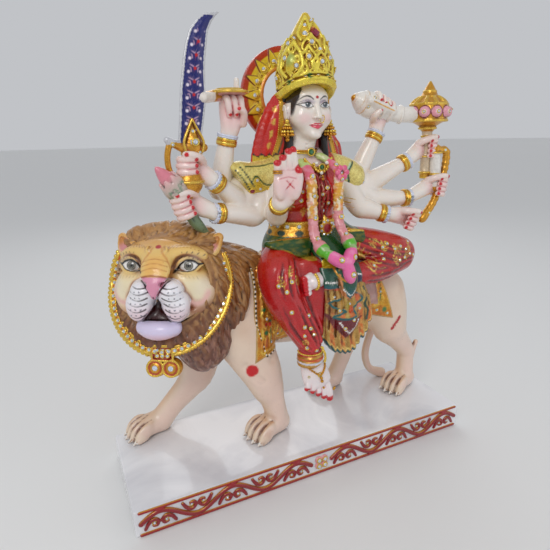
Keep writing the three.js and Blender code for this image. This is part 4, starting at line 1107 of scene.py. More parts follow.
def paint_lion_head(clay, points, normals):
    u, v, w = points.T
    paint = Paint(points, normals, (0.92, 0.77, 0.46))
    across = np.abs(u)
    paint.wash(0.9 * ramp(10, 24, across) * ramp(15, 2, w), (0.95, 0.90, 0.77))
    paint.wash(0.65 * ramp(31, 40, w), (0.84, 0.58, 0.26))
    paint.wash(0.55 * ramp(36, 47, across) * ramp(32, 12, w), (0.80, 0.52, 0.28))
    # Painted shade beneath the cheeks, then painted shade in the hollows of the face.
    paint.wash(0.65 * ramp(-14, -24, w) * ramp(20, 32, across), (0.70, 0.38, 0.20))
    paint.wash(0.55 * ramp(0.3, 1.0, clay.hollows(points, normals, 5)), (0.74, 0.42, 0.18))
    paint.wash(0.6 * ramp(0.35, 0.95, clay.hollows(points, normals, 2)), (0.58, 0.30, 0.13))
    paint.wash(0.5 * ramp(12, 4, across) * ramp(6, 12, w) * ramp(32, 20, w), (0.93, 0.66, 0.30))
    shade = ramp(24, 34, u) * ramp(-8, -18, w)
    paint.wash(0.7 * shade, (0.56, 0.32, 0.18))
    for side in SIDES:
        paint.spot((side * 38, 18, -2), (10, 12, 10), (0.95, 0.90, 0.80), soft=0.6, strength=0.8)
        crescent = spline([(side * 26, 60, -13), (side * 33, 60, -15.5), (side * 40, 60, -13),
                           (side * 44, 60, -6)], 5)
        paint.stroke(clay.meet(crescent, -Y), 5.5, (0.93, 0.74, 0.70), soft=2.6)
        paint_lion_pad(paint, clay, points, side)
        paint_lion_eye(paint, clay, points, side)
        crease = [(side * 12, 60, 9), (side * 13.5, 60, 15), (side * 10.5, 60, 23), (side * 6, 60, 29),
                  (side * 4, 60, 34)]
        paint.stroke(clay.meet(spline(crease, 4), -Y), 1.6, (0.82, 0.56, 0.28), soft=1.2)
        paint.spot((side * 43.5, 8, 38.5), (6, 7, 7.5), "nose", soft=0.35, strength=0.7)
        wing = [(side * 1.6, 60, -10), (side * 5.6, 60, -3), (side * 9, 60, 1.6), (side * 13, 60, 5.5)]
        paint.stroke(clay.meet(spline(wing, 4), -Y), [1.5] * 5 + [2.2] * 4 + [1.5] * 4, "ink", soft=0.4)
        corner = [(side * 9, 60, -24), (side * 13.5, 60, -29.5), (side * 20, 60, -31.2),
                  (side * 25, 60, -33)]
        paint.stroke(clay.meet(spline(corner, 4), -Y), 1.5, "ink", soft=0.5)
    for k in range(3):
        high = 13 + 4.0 * k
        line = [(-11, 60, high + 0.6), (0, 60, high + 3.2), (11, 60, high + 0.6)]
        paint.stroke(clay.meet(spline(line, 4), -Y), 0.8, (0.72, 0.44, 0.20), soft=0.7)
    nose = (w < 8.6) & (v > 42) & (across < np.interp(w, [-10, -4, 3, 8], [1.6, 4.4, 7.8, 11.5]))
    paint.wash(nose * 1.0, "nose")
    rim = [(-13, 60, 7.8), (-6, 60, 9.2), (0, 60, 9.8), (6, 60, 9.2), (13, 60, 7.8)]
    paint.stroke(clay.meet(spline(rim, 3), -Y), 1.6, (0.62, 0.32, 0.14), soft=0.7)
    paint.stroke(clay.meet([(0, 60, -9), (0, 60, -13), (0, 60, -16)], -Y), 2.0, "ink", soft=0.5)
    gape = (v > 16) & (w > -31.5) & (w < -12) & (across < np.interp(w, [-31, -28, -21, -13],
                                                                    [14, 11, 5.5, 1.6]))
    paint.wash(gape * 1.0, "mouth")
    chin = (w < -30.8) & (v > 12)
    paint.wash(chin * ramp(24, 21, across), "lip")
    paint.wash(chin * 0.6 * ramp(-40, -47, w), (0.93, 0.72, 0.74))
    mouth = [(-22, 60, -32.5), (-14, 60, -31), (-7, 60, -30.4), (0, 60, -30.2), (7, 60, -30.4),
             (14, 60, -31), (22, 60, -32.5)]
    paint.stroke(clay.meet(spline(mouth, 4), -Y), 1.5, "ink", soft=0.5)
    paint.spot(clay.meet([(1, 60, 35)], -Y)[0], (2.6, 6, 2.0), "red", soft=0.2)
    return paint


def lion_head():
    piece = Piece("lion_head")

    def settle(points):
        """The muzzle is turned a little farther to the viewer's right than the brow."""
        return points + np.outer(3.2 * ramp(26, 50, points[:, 1]) - 0.5, X)

    piece.cast(lion_head_clay(), "coat", paint_lion_head, settle)
    return piece.build()


def collar_line(start=28, end=-208, steps=60, out=0.0, forward=0.0):
    """The collar's line on the head's own axes, from one ear round the chin to the other."""
    rows = []
    for angle in np.radians(np.linspace(start, end, steps)):
        reach = -7 + 24 * max(0.0, -math.sin(angle)) + forward
        rows.append((math.cos(angle) * (56 + out), reach, math.sin(angle) * (61 + out)))
    return np.array(rows)


# The near edge of the mane, seen from the side: (height, x), front of the shoulder to the nape.
MANE_EDGE = ((90, -94), (101, -88), (117, -79), (136, -69), (150, -62), (172, -57), (188, -55), (212, -49),
             (260, -30))


def hair_lines(clay, head, starts, steps, stride, phase):
    """Lines of hair that run on over the surface, away from the face and down, each with its own wave."""
    centre = head((0, 5, 5))
    lines = [clay.press(starts, 0.3)]
    for step in range(steps):
        at = lines[-1]
        local = (at - centre) @ head.axes
        around = local * (1, 0, 1)
        around /= np.linalg.norm(around, axis=1)[:, None] + 1e-6
        top = ramp(18, 46, local[:, 2])[:, None]
        ahead = around * (0.35 + 0.35 * top) + (0, -1, 0) * (0.35 + 0.65 * top)
        run = head.turned(ahead) - Z * (1.0 - top)
        normals = clay.slope(at)
        run -= normals * (run * normals).sum(axis=1)[:, None]
        run /= np.linalg.norm(run, axis=1)[:, None] + 1e-6
        side = np.cross(normals, run)
        run += side * (0.42 * np.sin(phase + 0.85 * step))[:, None]
        lines.append(clay.press(at + run * stride[:, None], 0.3))
    return np.stack(lines, axis=1)


def mane_clay():
    clay = Clay((-192, -60, 90), (-24, 78, 252), mm("mane_grain"))
    clay.tube([[-129, 3, 186, 46, 50], [-122, 10, 184, 51, 55], [-110, 13, 174, 48, 57],
               [-85, 18, 164, 42, 56],
               [-61, 20, 160, 39, 52], [-44, 21, 156, 35, 46]], ends=0.12)
    clay.tube([[-116, -4, 150, 36, 26], [-106, -3, 126, 30, 25], [-108, 2, 117, 26, 15]], up=X, blend=6)
    clay.ball((-96, -6, 132), (22, 20, 29), blend=6)
    head = lion_head_place()
    ruff = collar_line(out=-8, forward=-1.5)
    clay.tube(np.column_stack([head(ruff), np.full(len(ruff), 6.5)]), blend=5, steps=1)
    clay.tube(head.stations([[-30, -8, 40, 16], [0, -8, 47, 14], [30, -8, 40, 16]]), up=Y, blend=6)
    near_edge = np.array(MANE_EDGE)
    clay.keep((-192, -60, 90), (-24, 14, 252), lambda x, y, z: np.maximum(
        (x - np.interp(z, near_edge[:, 0], near_edge[:, 1])) * 0.85, -FAR) - np.clip(y + 4, 0, None) * 3.0,
        blend=5)
    random = np.random.default_rng(11)
    rim = np.linspace(0, 2 * math.pi, 64, endpoint=False)
    hairline = head(np.column_stack([np.cos(rim) * 44, np.full(64, 10.0), 4 + np.sin(rim) * 40]))
    points = clay.cast()[0]
    local = head.back(points)
    open_skin = (local[:, 1] < 22) & ((points[:, 0] < -40) | (points[:, 1] > 30))
    chosen = random.choice(np.nonzero(open_skin)[0], 620, replace=False)
    starts = np.vstack([hairline, points[chosen]])
    count = len(starts)
    lines = hair_lines(clay, head, starts, 9, random.uniform(3.6, 5.4, count),
                       random.uniform(0, 6.3, count))
    shape = np.array((0.5, 0.85, 1, 1, 1, 0.95, 0.85, 0.7, 0.45, 0.15))
    for k, line in enumerate(lines):
        thick = random.uniform(1.5, 2.3)
        clay.tube(np.column_stack([line, shape * thick, shape * thick * 0.9]), blend=0.5, steps=1)
    clay.ball(head((0, 22, 2.5)), (43.5, 36, 39.3), axes=head.axes, blend=1.5, cut=True)
    # The hairline: short locks that lie over the edge of the face all round.
    for k in range(84):
        angle = 2 * math.pi * (k + random.uniform(-0.2, 0.2)) / 84
        sway = random.uniform(-0.10, 0.10)
        peak = 1 - 0.10 * math.exp(-((angle - math.pi / 2) / 0.28) ** 2)
        path = []
        for out, back in ((40.5, 15), (45.5, 11), (49.5, 4), (52, -5), (53, -15)):
            turn = angle + sway * (back - 15) / 12 + 0.03 * math.sin(back * 0.5 + k)
            fall = 0.0 if math.sin(angle) > 0.3 else (15 - back) * 0.25
            rise = 3 + 1.2 * max(0.0, math.sin(angle))
            path.append((math.cos(turn) * out * 1.02 * peak, back,
                         rise + math.sin(turn) * out * 0.98 * peak - fall))
        if -2.75 < math.atan2(math.sin(angle), math.cos(angle)) < -0.9:
            continue
        thick = np.array((0.4, 1.5, 2.0, 1.8, 0.6)) * random.uniform(0.85, 1.15)
        clay.tube(np.column_stack([head(path), thick]), blend=0.6, steps=3)
    return clay


def paint_mane(clay, points, normals):
    x, z = points[:, 0], points[:, 2]
    paint = Paint(points, normals, "mane")
    paint.wash(ramp(215, 165, z), (0.46, 0.26, 0.13))
    paint.wash(ramp(150, 118, z), "mane_low")
    paint.wash(0.5 * ramp(228, 244, z) + 0.3 * ramp(-80, -45, x), (0.78, 0.56, 0.28))
    streaks = waves(points * (1.0, 1.0, 0.35), 6, 21)
    paint.wash(0.30 * ramp(0.1, 0.9, streaks), (0.76, 0.56, 0.34))
    paint.wash(0.35 * ramp(0.1, 0.9, -streaks), (0.34, 0.17, 0.09))
    # Painted shade between the locks, then painted highlights on their crests.
    paint.wash(0.8 * ramp(0.2, 0.85, clay.hollows(points, normals, 1.8)), (0.20, 0.09, 0.04))
    crest = ramp(0.3, 0.85, clay.ridges(points, normals, 1.6))
    paint.wash(0.45 * crest * ramp(140, 175, z), (0.86, 0.66, 0.40))
    paint.wash(0.45 * crest * ramp(165, 130, z), (0.78, 0.58, 0.50))
    return paint


def mane():
    piece = Piece("lion_mane")
    piece.cast(mane_clay(), "hair", paint_mane)
    return piece.build()


# The goddess
def goddess_head_place():
    """The head's axes: across, back and up. The face looks along the second one's other way."""
    return Place(turned_axes(1, -1) @ np.diag((1.15, 1.0, 1.0)), (20.5, 3.5, 342))


HEAD_TALL = 62.0  # chin to crown, under the headdress
CHIN = -24.0
EYE_LINE = CHIN + HEAD_TALL / 2
BROW_LINE = EYE_LINE + HEAD_TALL * 0.095
NOSE_BASE = (BROW_LINE + CHIN) / 2
MOUTH_LINE = NOSE_BASE - (NOSE_BASE - CHIN) / 3
EYE_APART = HEAD_TALL * 2 / 3 / 5


def face_clay():
    clay = Clay((-26, -29, -62), (26, 30, 34), mm("face_grain"), goddess_head_place())
    clay.ball((0, 3, 8), (20, 21, 27))
    clay.ball((0, -3, -1), (17.6, 17.5, 21), blend=4)
    clay.ball((0, -9, CHIN + 8), (9.5, 9, 8.2), blend=6)
    clay.both("ball", (9.6, -10.5, -4, (8.2, 8, 9.2)), blend=5)
    clay.ball((0, -9, BROW_LINE + 3), (14.5, 11, 9), blend=5)
    clay.both("ball", (EYE_APART + 0.2, -21.8, EYE_LINE + 0.4, (6, 3.8, 3.8)), blend=3.5, cut=True)
    clay.both("ball", (EYE_APART + 0.1, -14.9, EYE_LINE, (5.6, 4.3, 4.0)), blend=0.8)
    for high, wide in ((3.0, 0.85), (-2.5, 0.6)):
        clay.both("tube", [[EYE_APART - 4.5, -18.9, EYE_LINE - 0.8, 0.45],
                           [EYE_APART, -19.3, EYE_LINE + high, wide],
                           [EYE_APART + 5.1, -16.2, EYE_LINE + 0.4, 0.45]], blend=0.8)
    clay.tube([[0, -18.6, BROW_LINE - 1.5, 2.2, 1.5], [0, -20.6, EYE_LINE - 2, 2.0, 1.8],
               [0, -22.9, NOSE_BASE + 4, 2.4, 2.2], [0, -23.8, NOSE_BASE + 1.8, 2.7, 2.2]], up=Y, blend=2.4)
    clay.both("ball", (2.9, -21.0, NOSE_BASE + 1.3, (2.0, 2.3, 1.7)), blend=1)
    clay.both("ball", (1.6, -22.8, NOSE_BASE - 0.5, (0.9, 1.2, 0.7)), blend=0.4, cut=True)
    clay.tube([[0, -21.6, NOSE_BASE - 1.5, 0.4], [0, -22, MOUTH_LINE + 2.4, 0.5]], blend=0.8, cut=True)
    clay.tube([[-6.4, -16.9, MOUTH_LINE + 0.5, 0.4], [-3, -19.6, MOUTH_LINE + 1.2, 1.15],
               [0, -20.4, MOUTH_LINE + 0.9, 1.05],
               [3, -19.6, MOUTH_LINE + 1.2, 1.15], [6.4, -16.9, MOUTH_LINE + 0.5, 0.4]], blend=0.8)
    clay.tube([[-5.2, -17.3, MOUTH_LINE - 0.8, 0.5], [0, -20.1, MOUTH_LINE - 1.7, 1.6],
               [5.2, -17.3, MOUTH_LINE - 0.8, 0.5]],
              blend=0.8)
    clay.tube([[-6.8, -17.6, MOUTH_LINE + 0.3, 0.25], [0, -21.8, MOUTH_LINE - 0.1, 0.3],
               [6.8, -17.6, MOUTH_LINE + 0.3, 0.25]],
              blend=0.4, cut=True)
    clay.ball((0, -16.6, CHIN + 3.6), (5, 4.5, 4), blend=4)
    clay.both("ball", (19.6, 0.5, 1, (2.4, 4.8, 8)), blend=1)
    clay.both("tube", [[21.4, -2.5, -4, 0.8], [22.2, -4, 3, 0.9], [22, 0, 8, 0.9], [21.6, 3.4, 4, 0.8]],
              blend=0.6)
    clay.tube([[-1, 2, -16, 12.5, 11], [-3, 3, -27, 12, 11], [-4, 4, -34, 12.8, 11.5], [-3, 6, -42, 17, 11],
               [0, 8, -52, 27, 11]],
              up=Y, blend=4)
    for low in (-29.5, -33.5):
        clay.tube([[-11, -4, low + 2, 0.3], [0, -8.6, low, 0.4], [11, -4, low + 2, 0.3]], blend=0.8,
                  cut=True)
    return clay


def facing(clay, rows):
    """Points of the face's front at given (across, up)."""
    rows = np.atleast_2d(np.array(rows, float))
    return clay.meet(np.column_stack([rows[:, 0], np.full(len(rows), -28.9), rows[:, 1]]), Y, 40)


def paint_face(clay, points, normals):
    x, y, z = points.T
    paint = Paint(points, normals, "skin")
    # Painted shade in the hollows of the face.
    paint.wash(0.25 * ramp(0.3, 1, clay.hollows(points, normals, 3)), (0.86, 0.74, 0.62))
    line = BROW_LINE + 14 - 0.02 * x**2
    temple = ramp(-0.6, 0.6, np.abs(x) - 14.2 - 0.30 * np.clip(13 - z, 0, 20) +
                  0.35 * np.clip(z - 13, 0, 9))
    paint.wash(temple * (z > -9) * (y > -14) * (y < 4), (0.17, 0.12, 0.10))
    ear = (np.abs(x) > 17.4) & (y > -5.5) & (z < 10)
    paint.wash(ear * 1.0, "skin")
    # Painted shade inside the ear.
    paint.wash(ear * 0.5 * ramp(0.2, 0.9, clay.hollows(points, normals, 2)), (0.80, 0.62, 0.66))
    paint.wash(ramp(4, 7, y) * (z > -26), "hair")
    paint.wash(ramp(-0.5, 0.5, z - line), "hair")
    for side in SIDES:
        paint.spot(facing(clay, [(side * 11, -5)])[0], (6, 8, 5), "blush", soft=0.7, strength=0.35)
        across = side * EYE_APART
        paint.spot(facing(clay, [(across + side * 0.3, EYE_LINE + 2.6)])[0], (6.2, 5, 3),
                   (0.62, 0.58, 0.74), soft=0.5, strength=0.5)
        apart = np.sqrt(((x - across - side * 0.3) / 5.0) ** 2 + ((z - EYE_LINE - 0.1) / 2.35) ** 2)
        paint.wash((1 - ramp(0.9, 1.05, apart)) * (y < -10), (0.96, 0.95, 0.95))
        ball = facing(clay, [(across + side * 0.1, EYE_LINE + 0.4)])[0]
        for radius, colour in ((2.35, (0.10, 0.10, 0.12)), (1.9, (0.32, 0.38, 0.42)), (1.15, "ink")):
            paint.spot(ball, (radius, 4, radius), colour, soft=0.12)
        # Painted highlight: a white glint on the eye.
        paint.spot(ball + (-0.7, 0, 0.9), (0.5, 4, 0.5), (1, 1, 1), soft=0.2)
        upper = [(across - side * 4.8, EYE_LINE - 1.1), (across - side * 2.5, EYE_LINE + 1.7),
                 (across + side * 0.5, EYE_LINE + 2.6),
                 (across + side * 3.4, EYE_LINE + 1.7), (across + side * 7.4, EYE_LINE + 1.0)]
        lower = [(across - side * 4.8, EYE_LINE - 1.1), (across - side * 2, EYE_LINE - 2.0),
                 (across + side * 1, EYE_LINE - 2.3),
                 (across + side * 4, EYE_LINE - 1.2), (across + side * 7.0, EYE_LINE + 0.9)]
        paint.stroke(facing(clay, spline(upper, 5)), np.interp(np.arange(21), [0, 10, 20], [0.8, 1.5, 0.7]),
                     "ink", soft=0.3)
        paint.stroke(facing(clay, spline(lower, 5)), 0.7, "ink", soft=0.3)
        for k in range(5):
            root = (across + side * (0.5 + 1.6 * k), EYE_LINE + 2.9 - 0.16 * k * k)
            paint.stroke(facing(clay, [root, (root[0] + side * 1.1, root[1] + 1.2)]), 0.35, "ink",
                         soft=0.25)
        brow = [(side * 3.2, BROW_LINE - 0.8), (side * 6.5, BROW_LINE + 1.8),
                (side * 10.5, BROW_LINE + 2.0), (side * 15.4, BROW_LINE - 1.8)]
        paint.stroke(facing(clay, spline(brow, 6)), np.interp(np.arange(19), [0, 7, 18], [0.8, 1.6, 0.5]),
                     "ink", soft=0.3)
        paint.stroke(facing(clay, spline([(across - side * 4, EYE_LINE + 2.4), (across, EYE_LINE + 4.6),
                                          (across + side * 5.4, EYE_LINE + 2.8)], 5)),
                     0.45, (0.42, 0.34, 0.40), soft=0.35)
        # Painted shade in the nostrils.
        paint.spot((side * 1.6, -22.4, NOSE_BASE - 0.4), (0.9, 1.6, 0.7), (0.62, 0.32, 0.30), soft=0.3)
    upper_lip = [(-6.3, MOUTH_LINE + 0.4), (-3, MOUTH_LINE + 1.5), (-1, MOUTH_LINE + 1.9),
                 (0, MOUTH_LINE + 1.5),
                 (1, MOUTH_LINE + 1.9), (3, MOUTH_LINE + 1.5), (6.3, MOUTH_LINE + 0.4)]
    paint.stroke(facing(clay, spline(upper_lip, 3)),
                 np.interp(np.arange(19), [0, 6, 9, 12, 18], [0.6, 2.0, 1.7, 2.0, 0.6]),
                 (0.84, 0.22, 0.32), soft=0.3)
    paint.stroke(facing(clay, spline([(-5.2, MOUTH_LINE - 0.6), (0, MOUTH_LINE - 1.9),
                                      (5.2, MOUTH_LINE - 0.6)], 6)),
                 np.interp(np.arange(13), [0, 6, 12], [0.8, 2.9, 0.8]), (0.87, 0.28, 0.38), soft=0.3)
    parting = facing(clay, spline([(-6.6, MOUTH_LINE + 0.5), (0, MOUTH_LINE - 0.1),
                                   (6.6, MOUTH_LINE + 0.5)], 6))
    paint.stroke(parting, np.interp(np.arange(13), [0, 6, 12], [0.8, 2.2, 0.8]), (0.86, 0.25, 0.36),
                 soft=0.3)
    paint.stroke(parting, 0.45, (0.58, 0.08, 0.16), soft=0.4)
    paint.spot(facing(clay, [(0, BROW_LINE + 1.2)])[0], (1.5, 4, 1.5), "red", soft=0.15)
    return paint


def goddess_face():
    piece = Piece("goddess_face")
    clay = face_clay()
    piece.cast(clay, "skin", paint_face)
    return piece.build()


def hair():
    clay = Clay((-30, -22, -48), (30, 34, 32), 0.9, goddess_head_place())
    for side in SIDES:
        for k in range(6):
            back = 7 + k * 2.8
            clay.tube([[side * (17.6 - 0.2 * k), back - 5, 22, 2.4], [side * 20.4, back, 8, 2.8],
                       [side * (20.4 + 0.1 * k), back - 1, -10, 3],
                       [side * (17.5 + 0.3 * k), back - 7, -24, 3.4],
                       [side * (18.5 + 0.3 * k), back - 8, -40, 3]], blend=0.6, up=X, folds=(3, 0.25, 0.6))
    clay.ball((0, 13, 6), (20.5, 16, 24), blend=2)

    def brush(clay, points, normals):
        paint = Paint(points, normals, "hair")
        paint.wash(0.5 * ramp(0.2, 0.9, waves(points * (1, 1, 0.3), 5, 3)), (0.22, 0.15, 0.13))
        return paint

    piece = Piece("hair")
    piece.cast(clay, "hair", brush)
    return piece.build()


WRISTS = {
    "disc": (-63, 9, 320), "sword": (-82, -5, 282), "lotus": (-83, -8, 253), "blessing": (-27, -28, 260),
    "conch": (113, 14, 321), "mace": (145, -1, 291), "bow": (146, -6, 251), "lap": (108, -14, 237),
}
HANDS = {
    "disc": (-57, 6, 342), "sword": (-106, -8, 295), "lotus": (-113, -10, 263),
    "blessing": (-21.5, -34, 279.5),
    "conch": (119, 14, 345), "mace": (176, 0, 305), "bow": (187, -8, 262), "lap": (138, -18, 230),
}
ELBOWS = {
    "disc": (-72, 15, 270), "sword": (-52, 8, 258), "lotus": (-38, 4, 246), "blessing": (-20, -6, 246),
    "conch": (94, 16, 284), "mace": (100, 8, 268), "bow": (102, 2, 252), "lap": (80, -4, 246),
}
SHOULDERS = {
    "disc": (-20, 13, 280), "sword": (-20, 13, 280), "lotus": (-20, 13, 280), "blessing": (-14, 6, 278),
    "conch": (68, 13, 276), "mace": (68, 13, 276), "bow": (68, 13, 276), "lap": (68, 13, 276),
}


def arm(clay, name):
    shoulder, elbow, wrist = (np.array(d[name], float) for d in (SHOULDERS, ELBOWS, WRISTS))
    upper = shoulder + (elbow - shoulder) * 0.6
    fore = elbow + (wrist - elbow) * 0.28
    mid = elbow + (wrist - elbow) * 0.65
    thick = 11.0 if name in ("disc", "conch") else 12.0
    rows = [[*shoulder, thick + 1], [*upper, thick], [*(elbow + (fore - elbow) * 0.15), thick - 0.6],
            [*fore, thick - 0.8], [*mid, 9.2], [*wrist, 7.3]]
    clay.tube(rows, blend=3)


class Hand:
    """A hand's own axes, and the nails that its fingers carry."""

    def __init__(self, clay, name, axis, size=1.0):
        self.clay, self.size = clay, size
        self.at, self.wrist = np.array(HANDS[name], float), np.array(WRISTS[name], float)
        self.rod = unit(axis)
        across = self.wrist - self.at
        self.side = unit(across - across.dot(self.rod) * self.rod)
        self.back = np.cross(self.rod, self.side)
        if self.back[1] < 0:
            self.back = -self.back
        self.nails, self.seams, self.palms = [], [], [self.at]

    def place(self, side, back, rod):
        return self.at + (self.side * side + self.back * back + self.rod * rod) * self.size

    def finger(self, rows, blend=0.7, nail=(0, -1)):
        """A finger through rows of (side, back, rod, radius); the nail lies on its end."""
        path = [[*self.place(*r[:3]), r[3] * self.size] for r in rows]
        self.clay.tube(path, blend=blend, steps=3)
        tip = self.place(*rows[-1][:3])
        out = self.side * nail[0] + self.back * nail[1]
        self.nails.append((tip + unit(out) * rows[-1][3] * 0.9 * self.size, 2.0 * self.size))

    def fist(self, thumb=1):
        clay, place = self.clay, self.place
        heel = self.wrist + (place(6, 3, 0) - self.wrist) * 0.5
        clay.tube([[*self.wrist, 7.2, 7], [*heel, 8.8, 7.2], [*place(5, 4, 0), 10.5, 6],
                   [*place(-3, 5.5, 0), 10.5, 4.2]],
                  up=self.back, blend=2)
        for k in range(4):
            r = (k - 1.5) * 5.5
            long = 1 - 0.05 * abs(k - 1.5)
            self.finger([(-1, 6.5, r, 3.1), (-8.4 * long, 3.2, r, 3.2), (-9.6 * long, -3.4, r, 3.1),
                         (-4, -8, r, 3.0),
                         (3.2 * long, -8, r, 2.6)])
            if k:
                self.seams.append([place(-10, 2, r - 2.75), place(-11, -3, r - 2.75),
                                   place(-5, -10, r - 2.75), place(3, -9.4, r - 2.75)])
        self.finger([(13, 0, thumb * 5, 4.2), (8, -6, thumb * 9, 3.9), (0, -9, thumb * 12, 3.4),
                     (-6, -8, thumb * 12.6, 2.9)], 1.2)


def arm_brush(hands, wrists):
    """Paint for a cast of arms: ivory, with ochre painted shade on the undersides and in the folds, pink
    palms with pink painted shade in their creases and between the fingers, and red nails.
    """

    def brush(clay, points, normals):
        paint = Paint(points, normals, "skin")
        # Painted shade under the arms and in the folds.
        under = ramp(0.1, 0.9, -normals[:, 2])
        paint.wash(0.45 * under + 0.2 * ramp(0.3, 1, clay.hollows(points, normals, 6)), (0.88, 0.76, 0.56))
        for hand in hands:
            for at in hand.palms:
                paint.spot(at, (17, 14, 17), "blush", soft=0.5, strength=0.5)
            # Painted shade: pink lines between the fingers and in the palm's creases.
            for seam in hand.seams:
                paint.stroke(seam, 0.9, (0.80, 0.42, 0.45), soft=0.7)
        # Pink painted shade in the creases near the hands.
        near = np.min([np.linalg.norm(points - np.array(HANDS[w]), axis=1) for w in wrists], axis=0)
        paint.wash(0.7 * ramp(30, 18, near) * ramp(0.3, 0.9, clay.hollows(points, normals, 1.6)),
                   (0.82, 0.45, 0.48))
        for hand in hands:
            for at, radius in hand.nails:
                paint.spot(at, radius, (0.78, 0.03, 0.10), soft=0.12)
        return paint
    return brush


def bangle(piece, name, gap=0.0, frill=True):
    """A gold band on a wrist, with a pale pearly frill on the hand's side."""
    elbow, wrist = np.array(ELBOWS[name], float), np.array(WRISTS[name], float)
    axis = unit(wrist - elbow)
    side = unit(np.cross(axis, (0.2, 0.3, 0.9)))
    rise = np.cross(axis, side)
    for along, radius, thick, colour in ((-5.4, 8.7, 1.3, "gold"), (-3.8, 8.7, 1.6, "pale_gold"),
                                         (-2.0, 8.6, 1.6, "gold"), (-0.4, 8.4, 1.3, "pale_gold")):
        ring = arc(wrist + axis * (along + gap), side, rise, (radius, radius), 0, 345, 24)
        piece.cord(ring, thick, colour=colour, closed=True)
    if frill:
        for along, radius in ((1.6, 8.3), (3.2, 8.5)):
            turns = np.linspace(0, 2 * math.pi, 48, endpoint=False)
            reach = radius + 0.7 * np.cos(16 * turns)
            ring = wrist + axis * (along + gap) + np.outer(reach * np.cos(turns),
                                                           side) + np.outer(reach * np.sin(turns), rise)
            piece.cord(ring, 1.2, look="skin", colour=(0.86, 0.88, 0.95), gilt=0.0, closed=True)


def open_hand(clay):
    """The front hand, raised in blessing: palm to the viewer, fingers together, thumb beside them."""
    hand = Hand(clay, "blessing", Z)
    w, h = hand.wrist, hand.at
    clay.tube([[*w, 8.4, 7.4], [h[0] - 1, h[1] + 3, h[2] - 12, 12, 6.6], [*h, 14, 5.4],
               [h[0] - 0.5, h[1], h[2] + 9, 12.6, 4.4],
               [h[0] - 0.5, h[1], h[2] + 13, 11.6, 3.8]], up=Y, blend=2, ends=0.5)
    clay.ball((h[0] + 7, h[1] - 3, h[2] - 6), (6, 4, 10), blend=3)
    clay.ball((h[0] - 8, h[1] - 2.4, h[2] - 5), (5, 3.6, 10), blend=3)
    tips = ((-11.2, 18.5), (-5.6, 23), (0.4, 28.4), (5.6, 30))
    for k, (side, high) in enumerate(tips):
        root = np.array((h[0] - 9.3 + 6.0 * k, h[1], h[2] + 10))
        tip = np.array((h[0] + side, h[1] - 2, h[2] + high))
        clay.tube([[*root, 3.5, 3.6], [*(root + (tip - root) * 0.5 + (0, -0.6, 0)), 3.5, 3.4],
                   [*tip, 3.2, 3.0]], up=Y, blend=1.2)
        hand.nails.append((tip + (0, -1.6, 1.0), 3.9))
        hand.seams.append([root + (-2.4, -3.6, 2), root + (2.4, -3.6, 2)])
    thumb = np.array((h[0] + 11, h[1] - 3, h[2] + 11))
    clay.tube([[*(thumb + (-2, 1, -17)), 5], [*(thumb + (0.4, 0.4, -8)), 4.2], [*thumb, 3.4]], blend=1.6)
    hand.nails.append((thumb + (0, -1, 1.2), 4.6))
    hand.seams += [[(h[0] - 11, h[1] - 4.6, h[2] + 4), (h[0] - 1, h[1] - 5.2, h[2] + 6),
                    (h[0] + 7, h[1] - 5, h[2] + 4)],
                   [(h[0] - 7, h[1] - 4.6, h[2] - 8), (h[0] + 1, h[1] - 5.2, h[2] - 1),
                    (h[0] + 6, h[1] - 5, h[2] + 1)]]
    return hand


def disc_hand(clay):
    """One finger stands up through the disc; the others curl below it."""
    hand = Hand(clay, "disc", Z)
    w, h = hand.wrist, hand.at
    clay.tube([[*w, 7.4, 7], [h[0] - 3, h[1] + 1, h[2] - 12, 9.5, 7], [h[0] - 1, h[1] + 2, h[2] + 2, 12, 6],
               [h[0], h[1] + 2, h[2] + 14, 12.5, 5]], up=Y, blend=2)
    clay.tube([[h[0] + 4, h[1], h[2] + 12, 3.2], [h[0] + 4.5, h[1], h[2] + 22, 2.9],
               [h[0] + 4.5, h[1], h[2] + 30, 2.3]], blend=1)
    for k in range(3):
        x = h[0] - 8 + k * 6.4
        clay.tube([[x, h[1] + 1, h[2] + 15, 3.2], [x + 0.5, h[1] - 6, h[2] + 13, 3.2],
                   [x + 1.5, h[1] - 7.4, h[2] + 5, 2.9],
                   [x + 2.5, h[1] - 5.6, h[2] - 1, 2.5]], blend=0.7)
        hand.nails.append((np.array((x + 2.6, h[1] - 7.4, h[2] - 0.6)), 1.9))
    clay.tube([[h[0] + 9, h[1] - 1, h[2] - 8, 4.2], [h[0] + 8, h[1] - 7, h[2] + 1, 3.5],
               [h[0] + 3, h[1] - 9.5, h[2] + 4, 2.8]], blend=1.2)
    hand.nails.append((np.array((h[0] + 2, h[1] - 11.5, h[2] + 4.5)), 1.9))
    return hand


def conch_hand(clay):
    """The hand that holds up the conch, its fingers over the shell."""
    hand = Hand(clay, "conch", Z)
    w, h = hand.wrist, hand.at
    clay.tube([[*w, 7.4, 7], [h[0] - 3, h[1] + 1, h[2] - 13, 9.5, 7.4], [h[0] + 1, h[1] + 3, h[2], 12, 7],
               [h[0] + 3, h[1] + 4, h[2] + 10, 11, 6]], up=Y, blend=2)
    for k in range(4):
        x = h[0] - 7 + k * 6.2
        high = h[2] + 17 - k * 3.2
        clay.tube([[x, h[1] + 4, high - 8, 3.2], [x - 0.5, h[1] + 1, high, 3.2],
                   [x - 1, h[1] - 7, high + 1, 3.0],
                   [x - 1.5, h[1] - 11, high - 5, 2.5]], blend=0.7)
        hand.nails.append((np.array((x - 1.5, h[1] - 13.2, high - 5.5)), 1.9))
    clay.tube([[h[0] - 10, h[1] - 1, h[2] - 8, 4.4], [h[0] - 13, h[1] - 8, h[2] - 4, 3.7],
               [h[0] - 9, h[1] - 12, h[2] + 1, 2.8]], blend=1.2)
    hand.nails.append((np.array((h[0] - 8, h[1] - 14, h[2] + 2)), 1.9))
    return hand


